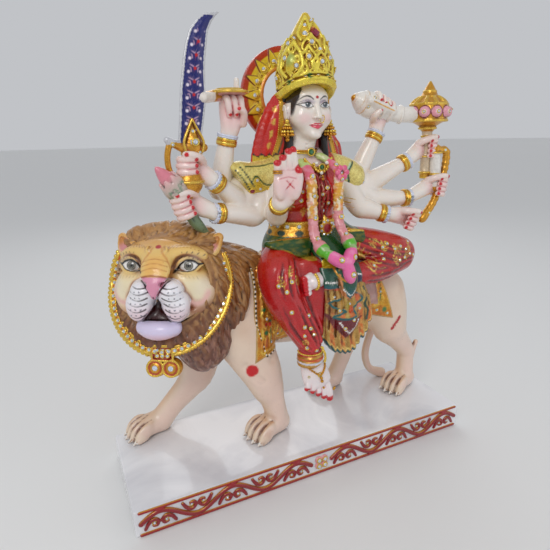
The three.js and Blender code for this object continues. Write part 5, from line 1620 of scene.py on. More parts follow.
def right_arms():
    clay = Clay((-128, -48, 226), (6, 34, 386), mm("limb_grain"))
    names = ("disc", "sword", "lotus", "blessing")
    for name in names:
        arm(clay, name)
    hands = [disc_hand(clay), open_hand(clay)]
    for name, axis, thumb in (("sword", Z, 1), ("lotus", (0.35, 0, -1), -1)):
        hand = Hand(clay, name, axis)
        hand.fist(thumb)
        hands.append(hand)
    piece = Piece("right_arms")
    h = HANDS["blessing"]
    marked = arm_brush(hands, names)

    def brush(clay, points, normals):
        paint = marked(clay, points, normals)
        # A small red mark on the blessing palm: four short strokes round a dot.
        cx, cz = h[0] + 0.5, h[2] - 1
        paint.spot(clay.front([(cx, cz)])[0], (1.3, 4, 1.3), (0.75, 0.05, 0.15), soft=0.3)
        for k in range(4):
            turn = math.pi / 4 + k * math.pi / 2
            ends = [(cx + r * math.cos(turn), cz + r * math.sin(turn)) for r in (2.0, 4.8)]
            paint.stroke(clay.front(ends), 1.1, (0.75, 0.05, 0.15), soft=0.4)
        return paint

    piece.cast(clay, "skin", brush)
    for name in names:
        bangle(piece, name, frill=name != "blessing")
    for x, z in ((h[0] - 10, h[2] + 9.5), (h[0] + 11, h[2] + 3)):
        for rise in (0, 1.8):
            piece.cord(arc((x, h[1] - 1, z + rise), X, Y, (4.0, 4.4), 0, 330, 12), 0.8, closed=True)
    return piece.build()


def left_arms():
    clay = Clay((60, -42, 212), (216, 36, 378), mm("limb_grain"))
    names = ("conch", "mace", "bow", "lap")
    for name in names:
        arm(clay, name)
    hands = [conch_hand(clay)]
    for name, axis, thumb in (("mace", (0.05, 0, 1), 1), ("bow", (0.2, 0, 1), 1),
                              ("lap", (0.3, -0.3, 1), 1)):
        hand = Hand(clay, name, axis)
        hand.fist(thumb)
        hands.append(hand)
    piece = Piece("left_arms")
    piece.cast(clay, "skin", arm_brush(hands, names))
    for name in names:
        bangle(piece, name)
    return piece.build()


def sprig(paint, clay, at, size, lean=0.0, colour="pale_gold"):
    """A small gold motif painted from the front: a stem with pairs of curved leaves and a dot on top."""
    c, s = math.cos(lean), math.sin(lean)

    def spot(a, b):
        return (at[0] + (a * c - b * s) * size, at[1] + (a * s + b * c) * size)

    lines = [[(0, -1), (0, 0.9)]]
    for high in (-0.6, -0.1, 0.4):
        for side in SIDES:
            lines.append([(0, high), (side * 0.35, high + 0.12), (side * 0.6, high + 0.42)])
    for line in lines:
        paint.stroke(clay.front([spot(*p) for p in line]), 0.9, colour, soft=0.5, gold=0.9)
    paint.spot(clay.front([spot(0, 1.2)])[0], 1.1, colour, soft=0.3, gold=0.9)


def torso_clay():
    clay = Clay((-70, -32, 196), (98, 46, 310), mm("cloth_grain"))
    clay.tube([[24, 14, 204, 45, 32], [21, 10, 222, 37, 26], [19.5, 8, 238, 33, 23], [21, 7, 254, 34, 23],
               [23, 8, 272, 39, 23], [23, 11, 290, 36, 18], [22, 13, 300, 22, 12]], up=Y, ends=0.5)
    for side in SIDES:
        clay.ball((22 + side * 17, -9, 263), (15, 12.5, 13.5), blend=5)
    for row in ([[2, 14, 293, 13, 14], [-20, 12, 284, 17, 16.5], [-40, 10, 281, 17.5, 17],
                 [-58, 6, 287, 12, 13]],
                [[48, 14, 292, 13, 14], [69, 12, 284, 17.5, 15.5], [81, 10, 275, 17.5, 16.5]]):
        clay.tube(row, blend=3, ends=0.3)
    clay.keep((-70, -32, 250), (-20, 46, 310), lambda x, y, z: -0.82 * (x + 53) - 0.57 * (z - 278),
              blend=1.2)
    for k in range(6):
        x = 11 + 4.2 * k
        line = clay.front(spline([(x, 290), (x + 0.6, 272), (x + 0.8, 256), (x + 0.4, 242)], 4))
        for lean, thick, cut in ((0, 1.5, False), (2.1, 1.0, True)):
            clay.tube(np.column_stack([line + (lean, 0, 0), np.full(len(line), thick)]), blend=1.0, steps=1,
                      cut=cut)
    for k in range(6):
        rows = [[(12 - 1.5 * k, 262 + 5 * k), (-2, 252 + 5 * k), (-12 - 2 * k, 252 + 4 * k)],
                [(36 + 1.5 * k, 258 + 4 * k), (46, 252 + 4 * k), (57 + k, 250 + 4 * k)]]
        for line in rows:
            on = clay.front(spline(line, 5))
            clay.tube(np.column_stack([on, 1.5 * np.sin(np.linspace(0.3, 2.8, len(on)))]), blend=1.4,
                      steps=1)
    return clay


RIGHT_SCALLOP = ((-46, 279), (-41, 285), (-35, 279), (-29, 276), (-22, 276))
RIGHT_HEM = ((-49, 272), (-45, 266), (-38, 268), (-31, 266), (-24, 266.5))
LEFT_SCALLOP = ((64, 262), (68, 272), (66, 284), (74, 294))


def paint_blouse(clay, points, normals):
    x, y, z = points.T
    paint = Paint(points, normals, (0.76, 0.05, 0.05))
    hollow = clay.hollows(points, normals, 2.0)
    paint.wash(0.4 * ramp(0.0, 0.8, waves(points, 22, 8)) + 0.3 * ramp(256, 246, z), (0.78, 0.18, 0.09))
    paint.wash(0.95 * ramp(15, 11, np.abs(x - 22)) * (z > 236) * (y < 0), (0.50, 0.01, 0.07))
    # Painted shade in the folds, then painted highlights on the ridges.
    paint.wash(0.6 * ramp(0.25, 0.9, hollow), (0.40, 0.01, 0.05))
    paint.wash(0.30 * ramp(0.2, 0.8, clay.ridges(points, normals, 2.0)), (0.90, 0.26, 0.20))
    stipple = ramp(-0.1, 0.5, waves(points, 2.6, 17))
    for side in SIDES:
        sleeve = ramp(24, 27, side * (x - 23) - 4) * (z > 250 + 20 * (y > 9))
        paint.wash(sleeve, (0.92, 0.86, 0.50), gold=0.2)
        paint.wash(0.6 * sleeve * stipple, (0.80, 0.70, 0.34), gold=0.3)
        # Painted shade in the folds of the gold sleeve.
        paint.wash(sleeve * 0.4 * ramp(0.4, 0.9, hollow), (0.55, 0.42, 0.12))
    hem = (x < -16) & (z < np.interp(x, [p[0] for p in RIGHT_SCALLOP], [p[1] for p in RIGHT_SCALLOP]))
    paint.wash(hem * 1.0, (0.86, 0.74, 0.22), gold=0.6)
    line = clay.front(spline(RIGHT_SCALLOP, 5))
    paint.stroke(line, 1.9, (0.02, 0.30, 0.18), soft=0.35)
    paint.stroke(line + (0, 0, -1.8), 1.0, (0.95, 0.88, 0.45), soft=0.35, gold=0.7)
    paint.stroke(clay.front(spline([(-50, 294), (-34, 294), (-18, 296)], 5)), 1.7, (0.02, 0.28, 0.17),
                 soft=0.4)
    for shift in (0, 4.4):
        for share in np.linspace(0, 1, 9):
            spot = (-60 + 12.5 * share + shift, 291 - 18 * share + 0.6 * shift)
            paint.spot(clay.front([spot])[0], (1.1, 4, 1.1), (0.02, 0.18, 0.14), soft=0.3)
    paint.stroke(clay.front([(-62, 290), (-48, 270)]), 1.8, (0.90, 0.84, 0.36), soft=0.4, gold=0.7)
    line = clay.front(spline(LEFT_SCALLOP, 5))
    paint.stroke(line, 2.4, (0.02, 0.30, 0.20), soft=0.35)
    paint.stroke(line + (-2.6, 0, 0), 2.0, (0.74, 0.88, 0.76), soft=0.4)
    sprig(paint, clay, (6, 247), 4.0)
    for k in range(9):
        turn = math.radians(200 - 27 * k)
        burst = [(-9.5 + 2.2 * math.cos(turn), 249 + 2.2 * math.sin(turn)),
                 (-9.5 + 5.6 * math.cos(turn), 249 + 5.6 * math.sin(turn))]
        paint.stroke(clay.front(burst), 0.9, "pale_gold", soft=0.4, gold=0.9)
    for low, lean in ((279, 1), (270, -1), (262, 1), (254, -1)):
        for side in SIDES:
            curl = [(22 + side * 1.5, low), (22 + side * 5, low + 3), (22 + side * 8, low + 1),
                    (22 + side * 6, low - 3)]
            paint.stroke(clay.front(spline([(p[0] + lean, p[1]) for p in curl], 4)), 0.8,
                         (0.94, 0.84, 0.62), soft=0.4, gold=0.5)
    skin = (z > 291 + 0.012 * (x - 20) ** 2) & (np.abs(x - 20) < 22) & (y < 12)
    paint.wash(skin * 1.0, (0.93, 0.82, 0.80))
    return paint


def blouse():
    piece = Piece("blouse")
    clay = torso_clay()
    piece.cast(clay, "cloth", paint_blouse)
    dots = [(2.7, 268.4), (0.8, 259.9), (-6.7, 258.2), (19.7, 272), (19.8, 262), (32, 270.4), (33, 255.2),
            (27, 264), (30, 247),
            (17, 280), (-36, 272.5), (-40, 281), (86, 272), (76, 262), (58, 285), (60, 268), (46, 264)]
    piece.glue(clay, clay.front(dots), 1.8)
    piece.glue(clay, clay.front([(-43.6, 270.8), (-25, 270.5)]), 2.8, look="ruby stone")
    for rows in (RIGHT_HEM, ((70, 259), (78, 262), (86, 266), (92, 274))):
        seen = clay.front(spaced(np.array([(x, 0, z) for x, z in spline(rows, 5)]), 2.0)[:, (0, 2)])
        edge = clay.press(seen[seen[:, 1] > -40], 0.4)
        piece.beads(edge, 1.1, colour="pale_gold")
    return piece.build()


def jewellery():
    """Choker and necklace, earrings and nose ring, all in gold."""
    piece = Piece("jewellery")
    head = goddess_head_place()
    neck = arc((-3.5, 4, -33.5), X, Y, (13.6, 12.6), 0, 350, 36)
    neck[:, 2] += 2.0 * np.sin(np.radians(np.linspace(0, 350, 36)))
    piece.cord(head(neck), 1.2, colour="gold", closed=True)
    piece.cord(head(neck - (0, 0, 2.0)), 0.9, colour="pale_gold", closed=True)
    piece.stones([head((-1, -10, -36.5))], -Y, 3.4, look="green stone")
    bodice = spline([(8, 300), (13, 295), (19, 291.5), (24, 290), (30, 291.5), (35, 295), (40, 300)], 5)
    places = np.column_stack([bodice[:, 0], -13.5 - 0.25 * (bodice[:, 1] < 294), bodice[:, 1]])
    for drop, thick, colour in ((0, 1.3, "pale_gold"), (-2.4, 1.5, "gold")):
        piece.cord(places + (0, 0, drop), thick, colour=colour)
    pendant = np.array((26, -16.5, 291))
    for k in range(9):
        turn = math.radians(180 + 22.5 * k)
        piece.beads([pendant + (8.5 * math.cos(turn), 0.5, 3 + 7.5 * math.sin(turn))], 1.8,
                    colour="pale_gold")
    for dx, dz in ((-6, 4), (6, 4), (0, -5.5)):
        piece.beads([pendant + (dx, 0, dz)], 2.0, look="enamel", colour=(0.93, 0.92, 0.88), gilt=0)
    piece.stones([pendant + (0, -1, 0)], -Y, 3.0, look="green stone")
    piece.beads([pendant + (1.5, 0, -9), pendant + (1.8, 0, -12)], 1.7, colour="gold")
    for side in SIDES:
        ear = np.array((side * 21.4, -4.0, -7))
        piece.beads(head([ear]), 2.4, colour="pale_gold")
        for row, (low, wide) in enumerate(((3.4, 1.8), (6.4, 3.2), (9.6, 4.6), (12.6, 5.0))):
            ring = arc(ear - (0, 0, low), X, Y, (wide, wide), 0, 325, 10)
            piece.beads(head(ring), 1.55, colour="gold" if row % 2 else "pale_gold")
        piece.beads(head([ear - (0, 0, low) for low in (6, 10, 14, 17)]), 2.2, colour="gold")
    ring = arc((3.4, -23.2, NOSE_BASE - 0.5), (0.8, 0.3, 0.4), Z, (3.0, 3.4), 0, 330, 16)
    piece.cord(head(ring), 0.42, colour="pale_gold", closed=True)
    piece.beads(head([(3.6, -23.6, NOSE_BASE - 3.8)]), 0.8, colour="pale_gold")
    return piece.build()


def veil():
    clay = Clay((-46, -6, 266), (92, 44, 378), mm("cloth_grain"))
    clay.tube([[24, 17, 370, 26, 18], [23, 18, 352, 31, 17], [18, 19, 336, 39, 17], [16, 20, 320, 46, 15.5],
               [17, 20, 304, 53, 13.5], [20, 20, 290, 54, 12.5], [23, 20, 276, 50, 11]], up=Y,
               folds=(11, 0.7, 0.04), ends=0.4)
    clay.tube([[22, -6, 378, 22, 14], [22, -5, 345, 23.5, 20], [22, -5, 322, 24.5, 20],
               [22, -9, 300, 31, 19], [22, -14, 280, 40, 18]],
              up=Y, blend=1.5, cut=True, ends=0.3)

    def edge(side):
        rows = [(22 + side * w, z) for w, z in ((24.5, 366), (25.6, 350), (26.4, 334), (28, 320),
                                                (32.5, 306), (38, 292))]
        return spline(clay.front(rows), 5)

    def brush(clay, points, normals):
        paint = Paint(points, normals, (0.78, 0.09, 0.05))
        x, y, z = points.T
        paint.wash(0.6 * ramp(0.2, 0.9, clay.hollows(points, normals, 3)), "maroon")
        paint.wash(0.3 * ramp(0, 0.8, waves(points, 30, 5)), (0.84, 0.20, 0.08))
        for side in SIDES:
            line = edge(side)
            paint.stroke(line + (side * -1.2, 0, 0), 2.0, (0.02, 0.30, 0.20), soft=0.5)
            paint.stroke(line + (side * 2.2, 0, 0), 4.4, (0.84, 0.64, 0.16), soft=0.5, gold=0.8)
            for k, low in enumerate((346, 334, 323, 312)):
                at = (22 + side * (34 + 2.4 * k), low)
                sprig(paint, clay, at, 2.6, lean=side * 0.3)
        for high in (300, 330, 355):
            for k in range(6):
                spot = (-6 + 12 * k, 60, high - 2 * abs(k - 2.5))
                hit = clay.meet([spot], -Y)[0]
                paint.spot(hit, (2.2, 6, 3.2), "pale_gold", soft=0.3, gold=0.8)
        left_border = (x < 0) & (y < 17) & (z < 303 + 1.2 * np.sin(x * 0.9)) & (z > 292)
        paint.wash(left_border * 1.0, (0.86, 0.74, 0.20), gold=0.6)
        paint.wash(((x < 0) & (y < 17) & (np.abs(z - 303.4 - 1.2 * np.sin(x * 0.9)) < 0.8)) * 1.0,
                   (0.25, 0.08, 0.02))
        paint.wash(ramp(281, 277, z), "gold", gold=0.9)
        return paint

    piece = Piece("veil")
    piece.cast(clay, "cloth", brush)
    for side in SIDES:
        line = spaced(clay.press(edge(side) + (side * 4.6, 0, 0), 0.2), 2.1)
        piece.beads(line, 0.75, colour="pale_gold")
    return piece.build()


CROWN_AT = np.array((19.5, 5, 0))
CROWN_PROFILE = ((352, 25), (358, 26.5), (368, 27), (380, 26.5), (388, 25), (396, 22.8), (404, 19.6),
                 (412, 15),
                 (420, 10.5), (428, 5.5), (434, 1.5))


def crown_radius(z):
    return np.interp(z, [p[0] for p in CROWN_PROFILE], [p[1] for p in CROWN_PROFILE])


def on_crown(angle, z, lift=0.0):
    """A point on the crown, at an angle in degrees from its front, positive to the viewer's right."""
    turn = math.radians(angle - 90)
    reach = crown_radius(z) + lift
    return CROWN_AT + (reach * math.cos(turn), reach * math.sin(turn), z)


def brim(angle):
    """How high the crown's lower edge stands: it arches over the forehead."""
    return 356.5 + 12.0 * max(0.0, math.cos(math.radians(angle)))


def crown_clay():
    clay = Clay((-16, -30, 345), (58, 42, 437), mm("gold_grain"))

    def rule(x, y, z):
        reach = np.hypot(x - CROWN_AT[0], y - CROWN_AT[1])
        edge = 356.5 + 12.0 * np.maximum(0, (CROWN_AT[1] - y) / (reach + 1e-6))
        return np.maximum((reach - crown_radius(z)) * 0.92, np.maximum(edge - z, z - 432))

    clay.shape((-16, -30, 350), (58, 42, 437), rule)
    for high, thick, lift in ((0.8, 1.5, 1.2), (4.2, 2.0, 2.0), (9.0, 1.3, 1.2)):
        ring = [[*on_crown(a, brim(a) + high, lift), thick] for a in range(0, 361, 15)]
        clay.tube(ring, blend=1, steps=1)
    # Tiers of pointed leaves: two raised edges that meet in a tip, with a boss between them.
    for count, low, high, wide, thick, start in ((7, 10, 26, 22, 1.4, 6), (7, 378, 399, 21, 1.5, 30),
                                                 (6, 394, 410, 24, 1.4, -13)):
        for k in range(count):
            at = start + 360 * k / count
            base = low if low > 100 else low + brim(at)
            tall = high - low
            for side in SIDES:
                rows = [[*on_crown(at + side * wide * share, base + tall * up, 0.6 + 1.4 * up), thick]
                        for share, up in ((0.55, 0), (0.95, 0.28), (0.8, 0.6), (0.35, 0.86), (0, 1.08))]
                clay.tube(rows, blend=0.8, steps=3)
                curl = [[*on_crown(at + side * wide * share, base + tall * up, 1.0), 0.9]
                        for share, up in ((0.1, 0.05), (0.55, 0.2), (0.5, 0.5), (0.2, 0.45), (0.3, 0.3))]
                clay.tube(curl, blend=0.5, steps=3)
            clay.ball(on_crown(at, base + tall * 0.62, 0.4), (2.8, 2.8, 3.6), blend=1)
    # The leaf that stands out at the viewer's left, and the setting of the square stone.
    for side in SIDES:
        rows = [[*on_crown(-58 + side * a, z, 2.6), 1.7]
                for a, z in ((8, 374), (24, 382), (20, 394), (0, 404))]
        clay.tube(rows, blend=1, steps=4)
    clay.ball(on_crown(-58, 386, 0), (5.5, 5.5, 8), blend=2)
    for side in SIDES:
        rows = [[*on_crown(-30 + side * a, z, 1.2), 1.4]
                for a, z in ((10, 406), (24, 412), (20, 419), (0, 428))]
        clay.tube(rows, blend=0.8, steps=3)
    for side in SIDES:
        rows = [[*on_crown(17 + side * a, z, 1.0), 1.3]
                for a, z in ((26, 407), (27, 414), (20, 420), (0, 424))]
        clay.tube(rows, blend=0.8, steps=3)
    clay.ball((CROWN_AT[0], 5, 429), (3.2, 3.2, 4.4), blend=1.5)
    clay.ball((23, -10, 414), (6.4, 4.4, 6.4), cut=True, blend=0.6)
    return clay


def gold_brush(base="gold", light="pale_gold", dark=(0.50, 0.26, 0.06), reach=2.4, gold=0.85):
    """Gold paint, with painted highlights on what stands out and brown painted shade in the grooves."""

    def brush(clay, points, normals):
        paint = Paint(points, normals, base, gold=gold)
        # Painted highlight on the ridges, then painted shade in the grooves.
        paint.wash(0.7 * ramp(0.1, 0.7, clay.ridges(points, normals, reach)), light, gold=gold)
        paint.wash(0.8 * ramp(0.25, 0.95, clay.hollows(points, normals, reach)), dark, gold=0.5 * gold)
        return paint

    return brush


def crown():
    clay = crown_clay()
    gilded = gold_brush((0.93, 0.79, 0.16), (0.98, 0.91, 0.36), (0.60, 0.38, 0.06), gold=0.5)

    def brush(clay, points, normals):
        paint = gilded(clay, points, normals)
        for k in range(9):
            at = 40 * k + 20
            paint.spot(on_crown(at, brim(at) + 6.5, 2), (3.0, 3.0, 2.6), (0.16, 0.46, 0.28), soft=0.3,
                       gold=0.2, strength=0.9)
        paint.spot(on_crown(-58, 388, 2), (5, 5, 6.5), (0.66, 0.74, 0.40), soft=0.3, gold=0.2, strength=0.9)
        for angle, z in ((-24, 402), (-34, 390), (10, 390), (34, 392), (-10, 412)):
            paint.spot(on_crown(angle, z, 0.5), (2.8, 2.8, 3.2), (0.60, 0.33, 0.06), soft=0.3, gold=0.4,
                       strength=0.9)
        paint.spot((23, -9, 414), (6, 6, 6), (0.86, 0.22, 0.34), soft=0.2, gold=0.2, strength=0.8)
        return paint

    piece = Piece("crown")
    piece.cast(clay, "gold", brush)
    piece.beads([on_crown(a, brim(a) + 1.0, 1.6) for a in range(0, 360, 8)], 1.1, colour="pale_gold")
    piece.glue(clay, [on_crown(a, brim(a) + 6.6, 2) for a in (-76, -52, -28, -4, 20, 44, 68)], 2.0)
    piece.glue(clay, [on_crown(a, brim(a) + 6.6, 2) for a in (-64, -16, 32)], 1.8, look="green stone")
    for count, z, start in ((7, 19, 6), (7, 391, 30), (6, 404, -13)):
        angles = [start + 360 * k / count for k in range(count)]
        piece.glue(clay, [on_crown(a, z if z > 100 else z + brim(a), 1.5) for a in angles], 2.6)
    extra = [on_crown(a, z, 2) for a, z in ((6, 398), (-20, 410), (30, 400), (-30, 421), (8, 425),
                                            (-62, 408))]
    piece.glue(clay, extra, 2.2)
    piece.glue(clay, [on_crown(-30, 413, 1)], 2.8)
    piece.glue(clay, [on_crown(-44, 378, 2)], 2.6, look="ruby stone")
    return piece.build()


HALO_AT = np.array((18, 49, 362.5))
HALO_OUTER, HALO_INNER, HALO_TEETH, HALO_LEAF = 49.0, 26.5, 16, 18.6
HALO_BOSSES, HALO_CORD = 33.5, 27.6


def halo():
    clay = Clay((-34, 36, 310), (72, 60, 415), mm("gold_grain"))

    def polar(x, z):
        reach = np.sqrt((x - HALO_AT[0]) ** 2 + (z - HALO_AT[2]) ** 2)
        turn = np.arctan2(z - HALO_AT[2], x - HALO_AT[0]) * HALO_TEETH / (2 * math.pi)
        return reach, np.abs(turn - np.round(turn)) * 2

    def leaf(x, z):
        """1 inside a pointed leaf, 0 between leaves."""
        reach, apart = polar(x, z)
        return ramp(-0.08, 0.08, 1.02 - (reach - 30.5) / HALO_LEAF - apart)

    def rule(x, y, z):
        reach = polar(x, z)[0]
        across = np.abs(reach - (HALO_OUTER + HALO_INNER) / 2) - (HALO_OUTER - HALO_INNER) / 2
        front = 46.2 - 1.8 * leaf(x, z) - 1.6 * ramp(31, 28.5, reach)
        return np.maximum(across, np.maximum(front - y, y - 53.5))

    clay.shape((-34, 36, 310), (72, 60, 415), rule, blend=0.6)
    for k in range(HALO_TEETH):
        turn = 2 * math.pi * k / HALO_TEETH
        clay.ball(HALO_AT + (math.cos(turn) * HALO_BOSSES, -5, math.sin(turn) * HALO_BOSSES),
                  (2.4, 1.6, 2.4), blend=0.8)
    clay.tube([[36, 26, 384, 11, 8], [36, 48, 384, 11, 8]], blend=2)
    gilded = gold_brush((0.98, 0.86, 0.24), (1.0, 0.94, 0.42), (0.70, 0.42, 0.10), gold=0.25)

    def brush(clay, points, normals):
        paint = gilded(clay, points, normals)
        x, y, z = points.T
        reach, apart = polar(x, z)
        gap = (1 - leaf(x, z)) * (reach > 31) * (y < 56)
        paint.wash(gap * ramp(42.5, 43.5, reach), (0.76, 0.22, 0.08))
        edge = np.abs(apart - (1.0 - (reach - 30.5) / HALO_LEAF))
        paint.wash((1 - ramp(0.03, 0.11, edge)) * (reach > 32) * (y < 50), (0.48, 0.14, 0.05))
        square = (np.maximum(np.abs(reach - 36), (1 - apart) * 7) < 2.2) & (y < 50)
        paint.wash(square * 1.0, (0.97, 0.86, 0.36), gold=0.6)
        paint.wash(ramp(47.8, 48.6, reach) * (1 - leaf(x, z)), (0.76, 0.20, 0.08))
        paint.wash(ramp(30.5, 29.5, reach) * 0.8, (0.86, 0.42, 0.14), gold=0.3)
        paint.wash(ramp(52.5, 53.3, y) * 0.9, (0.74, 0.08, 0.06))
        return paint

    piece = Piece("halo")
    piece.cast(clay, "gold", brush)
    spots = [HALO_AT + (math.cos(t) * 38, -8, math.sin(t) * 38)
             for t in np.arange(HALO_TEETH) * 2 * math.pi / HALO_TEETH]
    piece.glue(clay, spots, 2.5)
    ring = arc(HALO_AT + (0, -3.6, 0), X, Z, (HALO_CORD, HALO_CORD), 0, 358, 72)
    piece.cord(ring, 1.0, colour=(0.90, 0.60, 0.22), closed=True)
    return piece.build()


RIGHT_LEG = [[0, 4, 203, 22], [-20, -12, 199, 21, 20], [-30, -27, 189, 21.5, 20], [-27, -36, 164, 22, 18],
             [-13, -40, 138, 19, 16],
             [-4, -43, 119, 14, 13], [-3, -45, 108, 11, 11]]
LEFT_THIGH = [[46, 2, 205, 25, 23], [84, -8, 202, 25, 21], [112, -16, 196, 24, 20], [128, -18, 192, 18]]
LEFT_SHIN = [[124, -26, 186, 13], [92, -36, 183, 12, 13], [60, -40, 181, 12, 12.5], [16, -42, 183, 10]]
ANKLE = (-3, -45)


def skirt_clay():
    clay = Clay((-62, -68, 90), (158, 54, 234), mm("cloth_grain"))
    clay.tube([[0, 12, 204, 27, 33], [25, 12, 204, 29, 37], [54, 12, 204, 27, 33]])
    clay.tube(RIGHT_LEG, up=X, blend=6)
    clay.tube(LEFT_THIGH, blend=6)
    clay.tube(LEFT_SHIN, blend=5)
    # The cloth that hangs between the two legs.
    clay.tube([[6, -34, 196, 20, 10], [4, -42, 176, 17, 8], [6, -43, 152, 14, 7], [6, -44, 130, 7, 6]],
              up=Y, blend=6)
    # Folds, pressed onto the legs: a fan of drapes down the shin and long ones along both thighs.
    shapes = [[(-41 + 7 * k, 166 + 2 * k), (-31 + 6.4 * k, 143 + 1.5 * k), (-17 + 5 * k, 123 + 1.5 * k),
               (-6 + 2.4 * k, 113.5 + 1.4 * k), (6, 116 + 3 * k)] for k in range(6)]
    shapes += [[(-33 + 8 * k, 206), (-38 + 8 * k, 195), (-40 + 8 * k, 184), (-38 + 8 * k, 172)]
               for k in range(3)]
    shapes += [[(122 - 2 * k, 170 + 7 * k), (98, 166 + 7 * k), (76, 166 + 7 * k), (56, 170 + 6 * k)]
               for k in range(4)]
    shapes += [[(56, 222 - 6 * k), (78, 214 - 7 * k), (104, 203 - 6 * k), (134, 196 - 3 * k)]
               for k in range(4)]
    for rows in shapes:
        rows = np.array(rows, float)
        for lean, thick, cut in ((0, 1.9, False), (3.2, 1.3, True)):
            line = clay.front(spline(rows + (lean, 0), 6))
            if line[:, 1].min() > -74:
                wide = thick * np.sin(np.linspace(0.25, math.pi - 0.25, len(line)))
                clay.tube(np.column_stack([line, wide]), blend=1.6, steps=1, cut=cut)
    for high, wide in ((105.5, 12.4), (101.5, 12.8), (97.5, 12.4)):
        ring = [[ANKLE[0] + wide * math.cos(a), ANKLE[1] + wide * math.sin(a), high + 1.8 * math.cos(a),
                 1.4]
                for a in np.linspace(0, 2 * math.pi, 13)]
        clay.tube(ring, blend=1.2, steps=2)
    clay.tube([[*ANKLE, 110, 11, 11], [*ANKLE, 97, 12, 12]], blend=2, ends=0.2)
    return clay


def paint_skirt(clay, points, normals):
    x, y, z = points.T
    paint = Paint(points, normals, (0.72, 0.03, 0.06))
    paint.wash(0.65 * ramp(185, 214, z) * ramp(0.0, 0.8, 0.6 + 0.4 * waves(points, 40, 2)),
               (0.76, 0.20, 0.10))
    paint.wash(0.45 * ramp(150, 118, z), (0.78, 0.05, 0.12))
    # Painted shade in the folds, then painted highlights on the ridges.
    paint.wash(0.85 * ramp(0.2, 0.8, clay.hollows(points, normals, 2.6)), (0.36, 0.01, 0.05))
    paint.wash(0.35 * ramp(0.2, 0.75, clay.ridges(points, normals, 2.6)), (0.88, 0.22, 0.22))
    # Painted shade on the cloth between the legs.
    inner = ramp(6, 12, x) * (z < 190) * (y < -20) * (x < 30)
    paint.wash(inner * 0.8, (0.34, 0.01, 0.04))
    rim = np.interp(x, [p[0] for p in SASH_RIM], [p[1] for p in SASH_RIM]) - 1
    sash = ((z > rim) & (x < 8) | (z > np.interp(x, (46, 57, 66, 73, 77), (212, 211, 212, 217, 226))) &
            (x > 40) & (x < 78)) & (y < 20) | (y > 12) & (z > 203)
    paint.wash(sash * 1.0, (0.08, 0.30, 0.12))
    paint.wash(sash * 0.8 * ramp(0.1, 0.5, np.sin(x * 0.9 + z * 0.25)), (0.62, 0.56, 0.14), gold=0.4)
    paint.wash((np.abs(z - rim) < 1.6) * (x < 8) * (x > -40) * (y < 0) * 1.0, (0.84, 0.70, 0.22), gold=0.7)
    around = np.hypot(x - ANKLE[0], y - ANKLE[1])
    hem = (z < 107.5 + 0.12 * (x - ANKLE[0])) & (around < 22)
    paint.wash(hem * 1.0, (0.80, 0.60, 0.26), gold=0.8)
    paint.wash(hem * (np.abs(z - 103.5) < 1.2) * 1.0, (0.82, 0.36, 0.16))
    paint.wash(hem * (np.abs(z - 99.5) < 1.3) * 1.0, (0.86, 0.86, 0.90))
    for at, size, lean in (((-36, 188), 5, 0.3), ((-26, 196), 4.4, -0.4), ((-18, 186), 4.4, 0.2),
                           ((94, 204), 5.4, -0.4),
                           ((110, 200), 6, 0.5), ((122, 194), 5, -0.2), ((82, 208), 5, 0.4),
                           ((104, 190), 4.6, 0.2),
                           ((128, 200), 4.2, 0.2), ((70, 196), 4.4, 0.9), ((-14, 124), 3.4, 0.3)):
        sprig(paint, clay, at, size, lean)
    for start, turn in (((62, 206), 1.0), ((66, 198), 1.3), ((64, 190), 1.6), ((92, 210), 2.6),
                        ((104, 206), -0.4)):
        for k in range(4):
            tip = (start[0] + (9 + 4 * k) * math.cos(turn - 0.35 * k),
                   start[1] + (6 + 2 * k) * math.sin(turn - 0.5 * k) - 3 * k)
            middle = ((start[0] + tip[0]) / 2 + 1.5, (start[1] + tip[1]) / 2 - 2.5 - k)
            paint.stroke(clay.front(spline([start, middle, tip], 5)), 0.9, "pale_gold", soft=0.5, gold=0.9)
    return paint


def foot(clay, rows, toes, nails, up, seams):
    """A bare foot along rows of stations, ending in toes given by root and tip."""
    clay.tube(rows, up=up, blend=2.5)
    for root, tip, thick in toes:
        middle = (np.array(root) + tip) / 2 + (0, -1.2, 0)
        clay.tube([[*root, thick, thick], [*middle, thick * 1.05, thick],
                   [*tip, thick * 0.9, thick * 0.85]], up=up, blend=0.8)
        nails.append((np.array(tip) + (0, -1.0, -0.6), thick * 1.25))
        seams.append([np.array(root) + (-thick, -2.4, 6), np.array(tip) + (-thick, -2.4, 0)])


def skirt():
    clay = skirt_clay()
    piece = Piece("skirt")
    piece.cast(clay, "cloth", paint_skirt)
    dots = [(-40, 186), (-33, 180), (-26, 188), (-30, 160), (-17, 143), (-9.5, 140), (-16, 133), (-6, 133),
            (-10, 152),
            (-12, 118), (-2, 114), (92, 205), (72, 190), (88, 194), (98, 208), (106, 202), (114, 204),
            (122, 200),
            (128, 194), (118, 192), (110, 190), (134, 192), (130, 206), (90, 198)]
    piece.glue(clay, clay.front(dots), 1.8)
    ring = arc((*ANKLE, 109), X, Y, (12, 12), 150, 390, 30)
    piece.beads(clay.press(ring, 0.3), 1.0, colour="pale_gold")
    frill = [(9.5, 122), (10.5, 116), (11, 110), (11.5, 104), (11.5, 99)]
    piece.beads(clay.press(clay.front(spline(frill, 3)), 0.4), 1.3, colour="pale_gold")
    return piece.build()


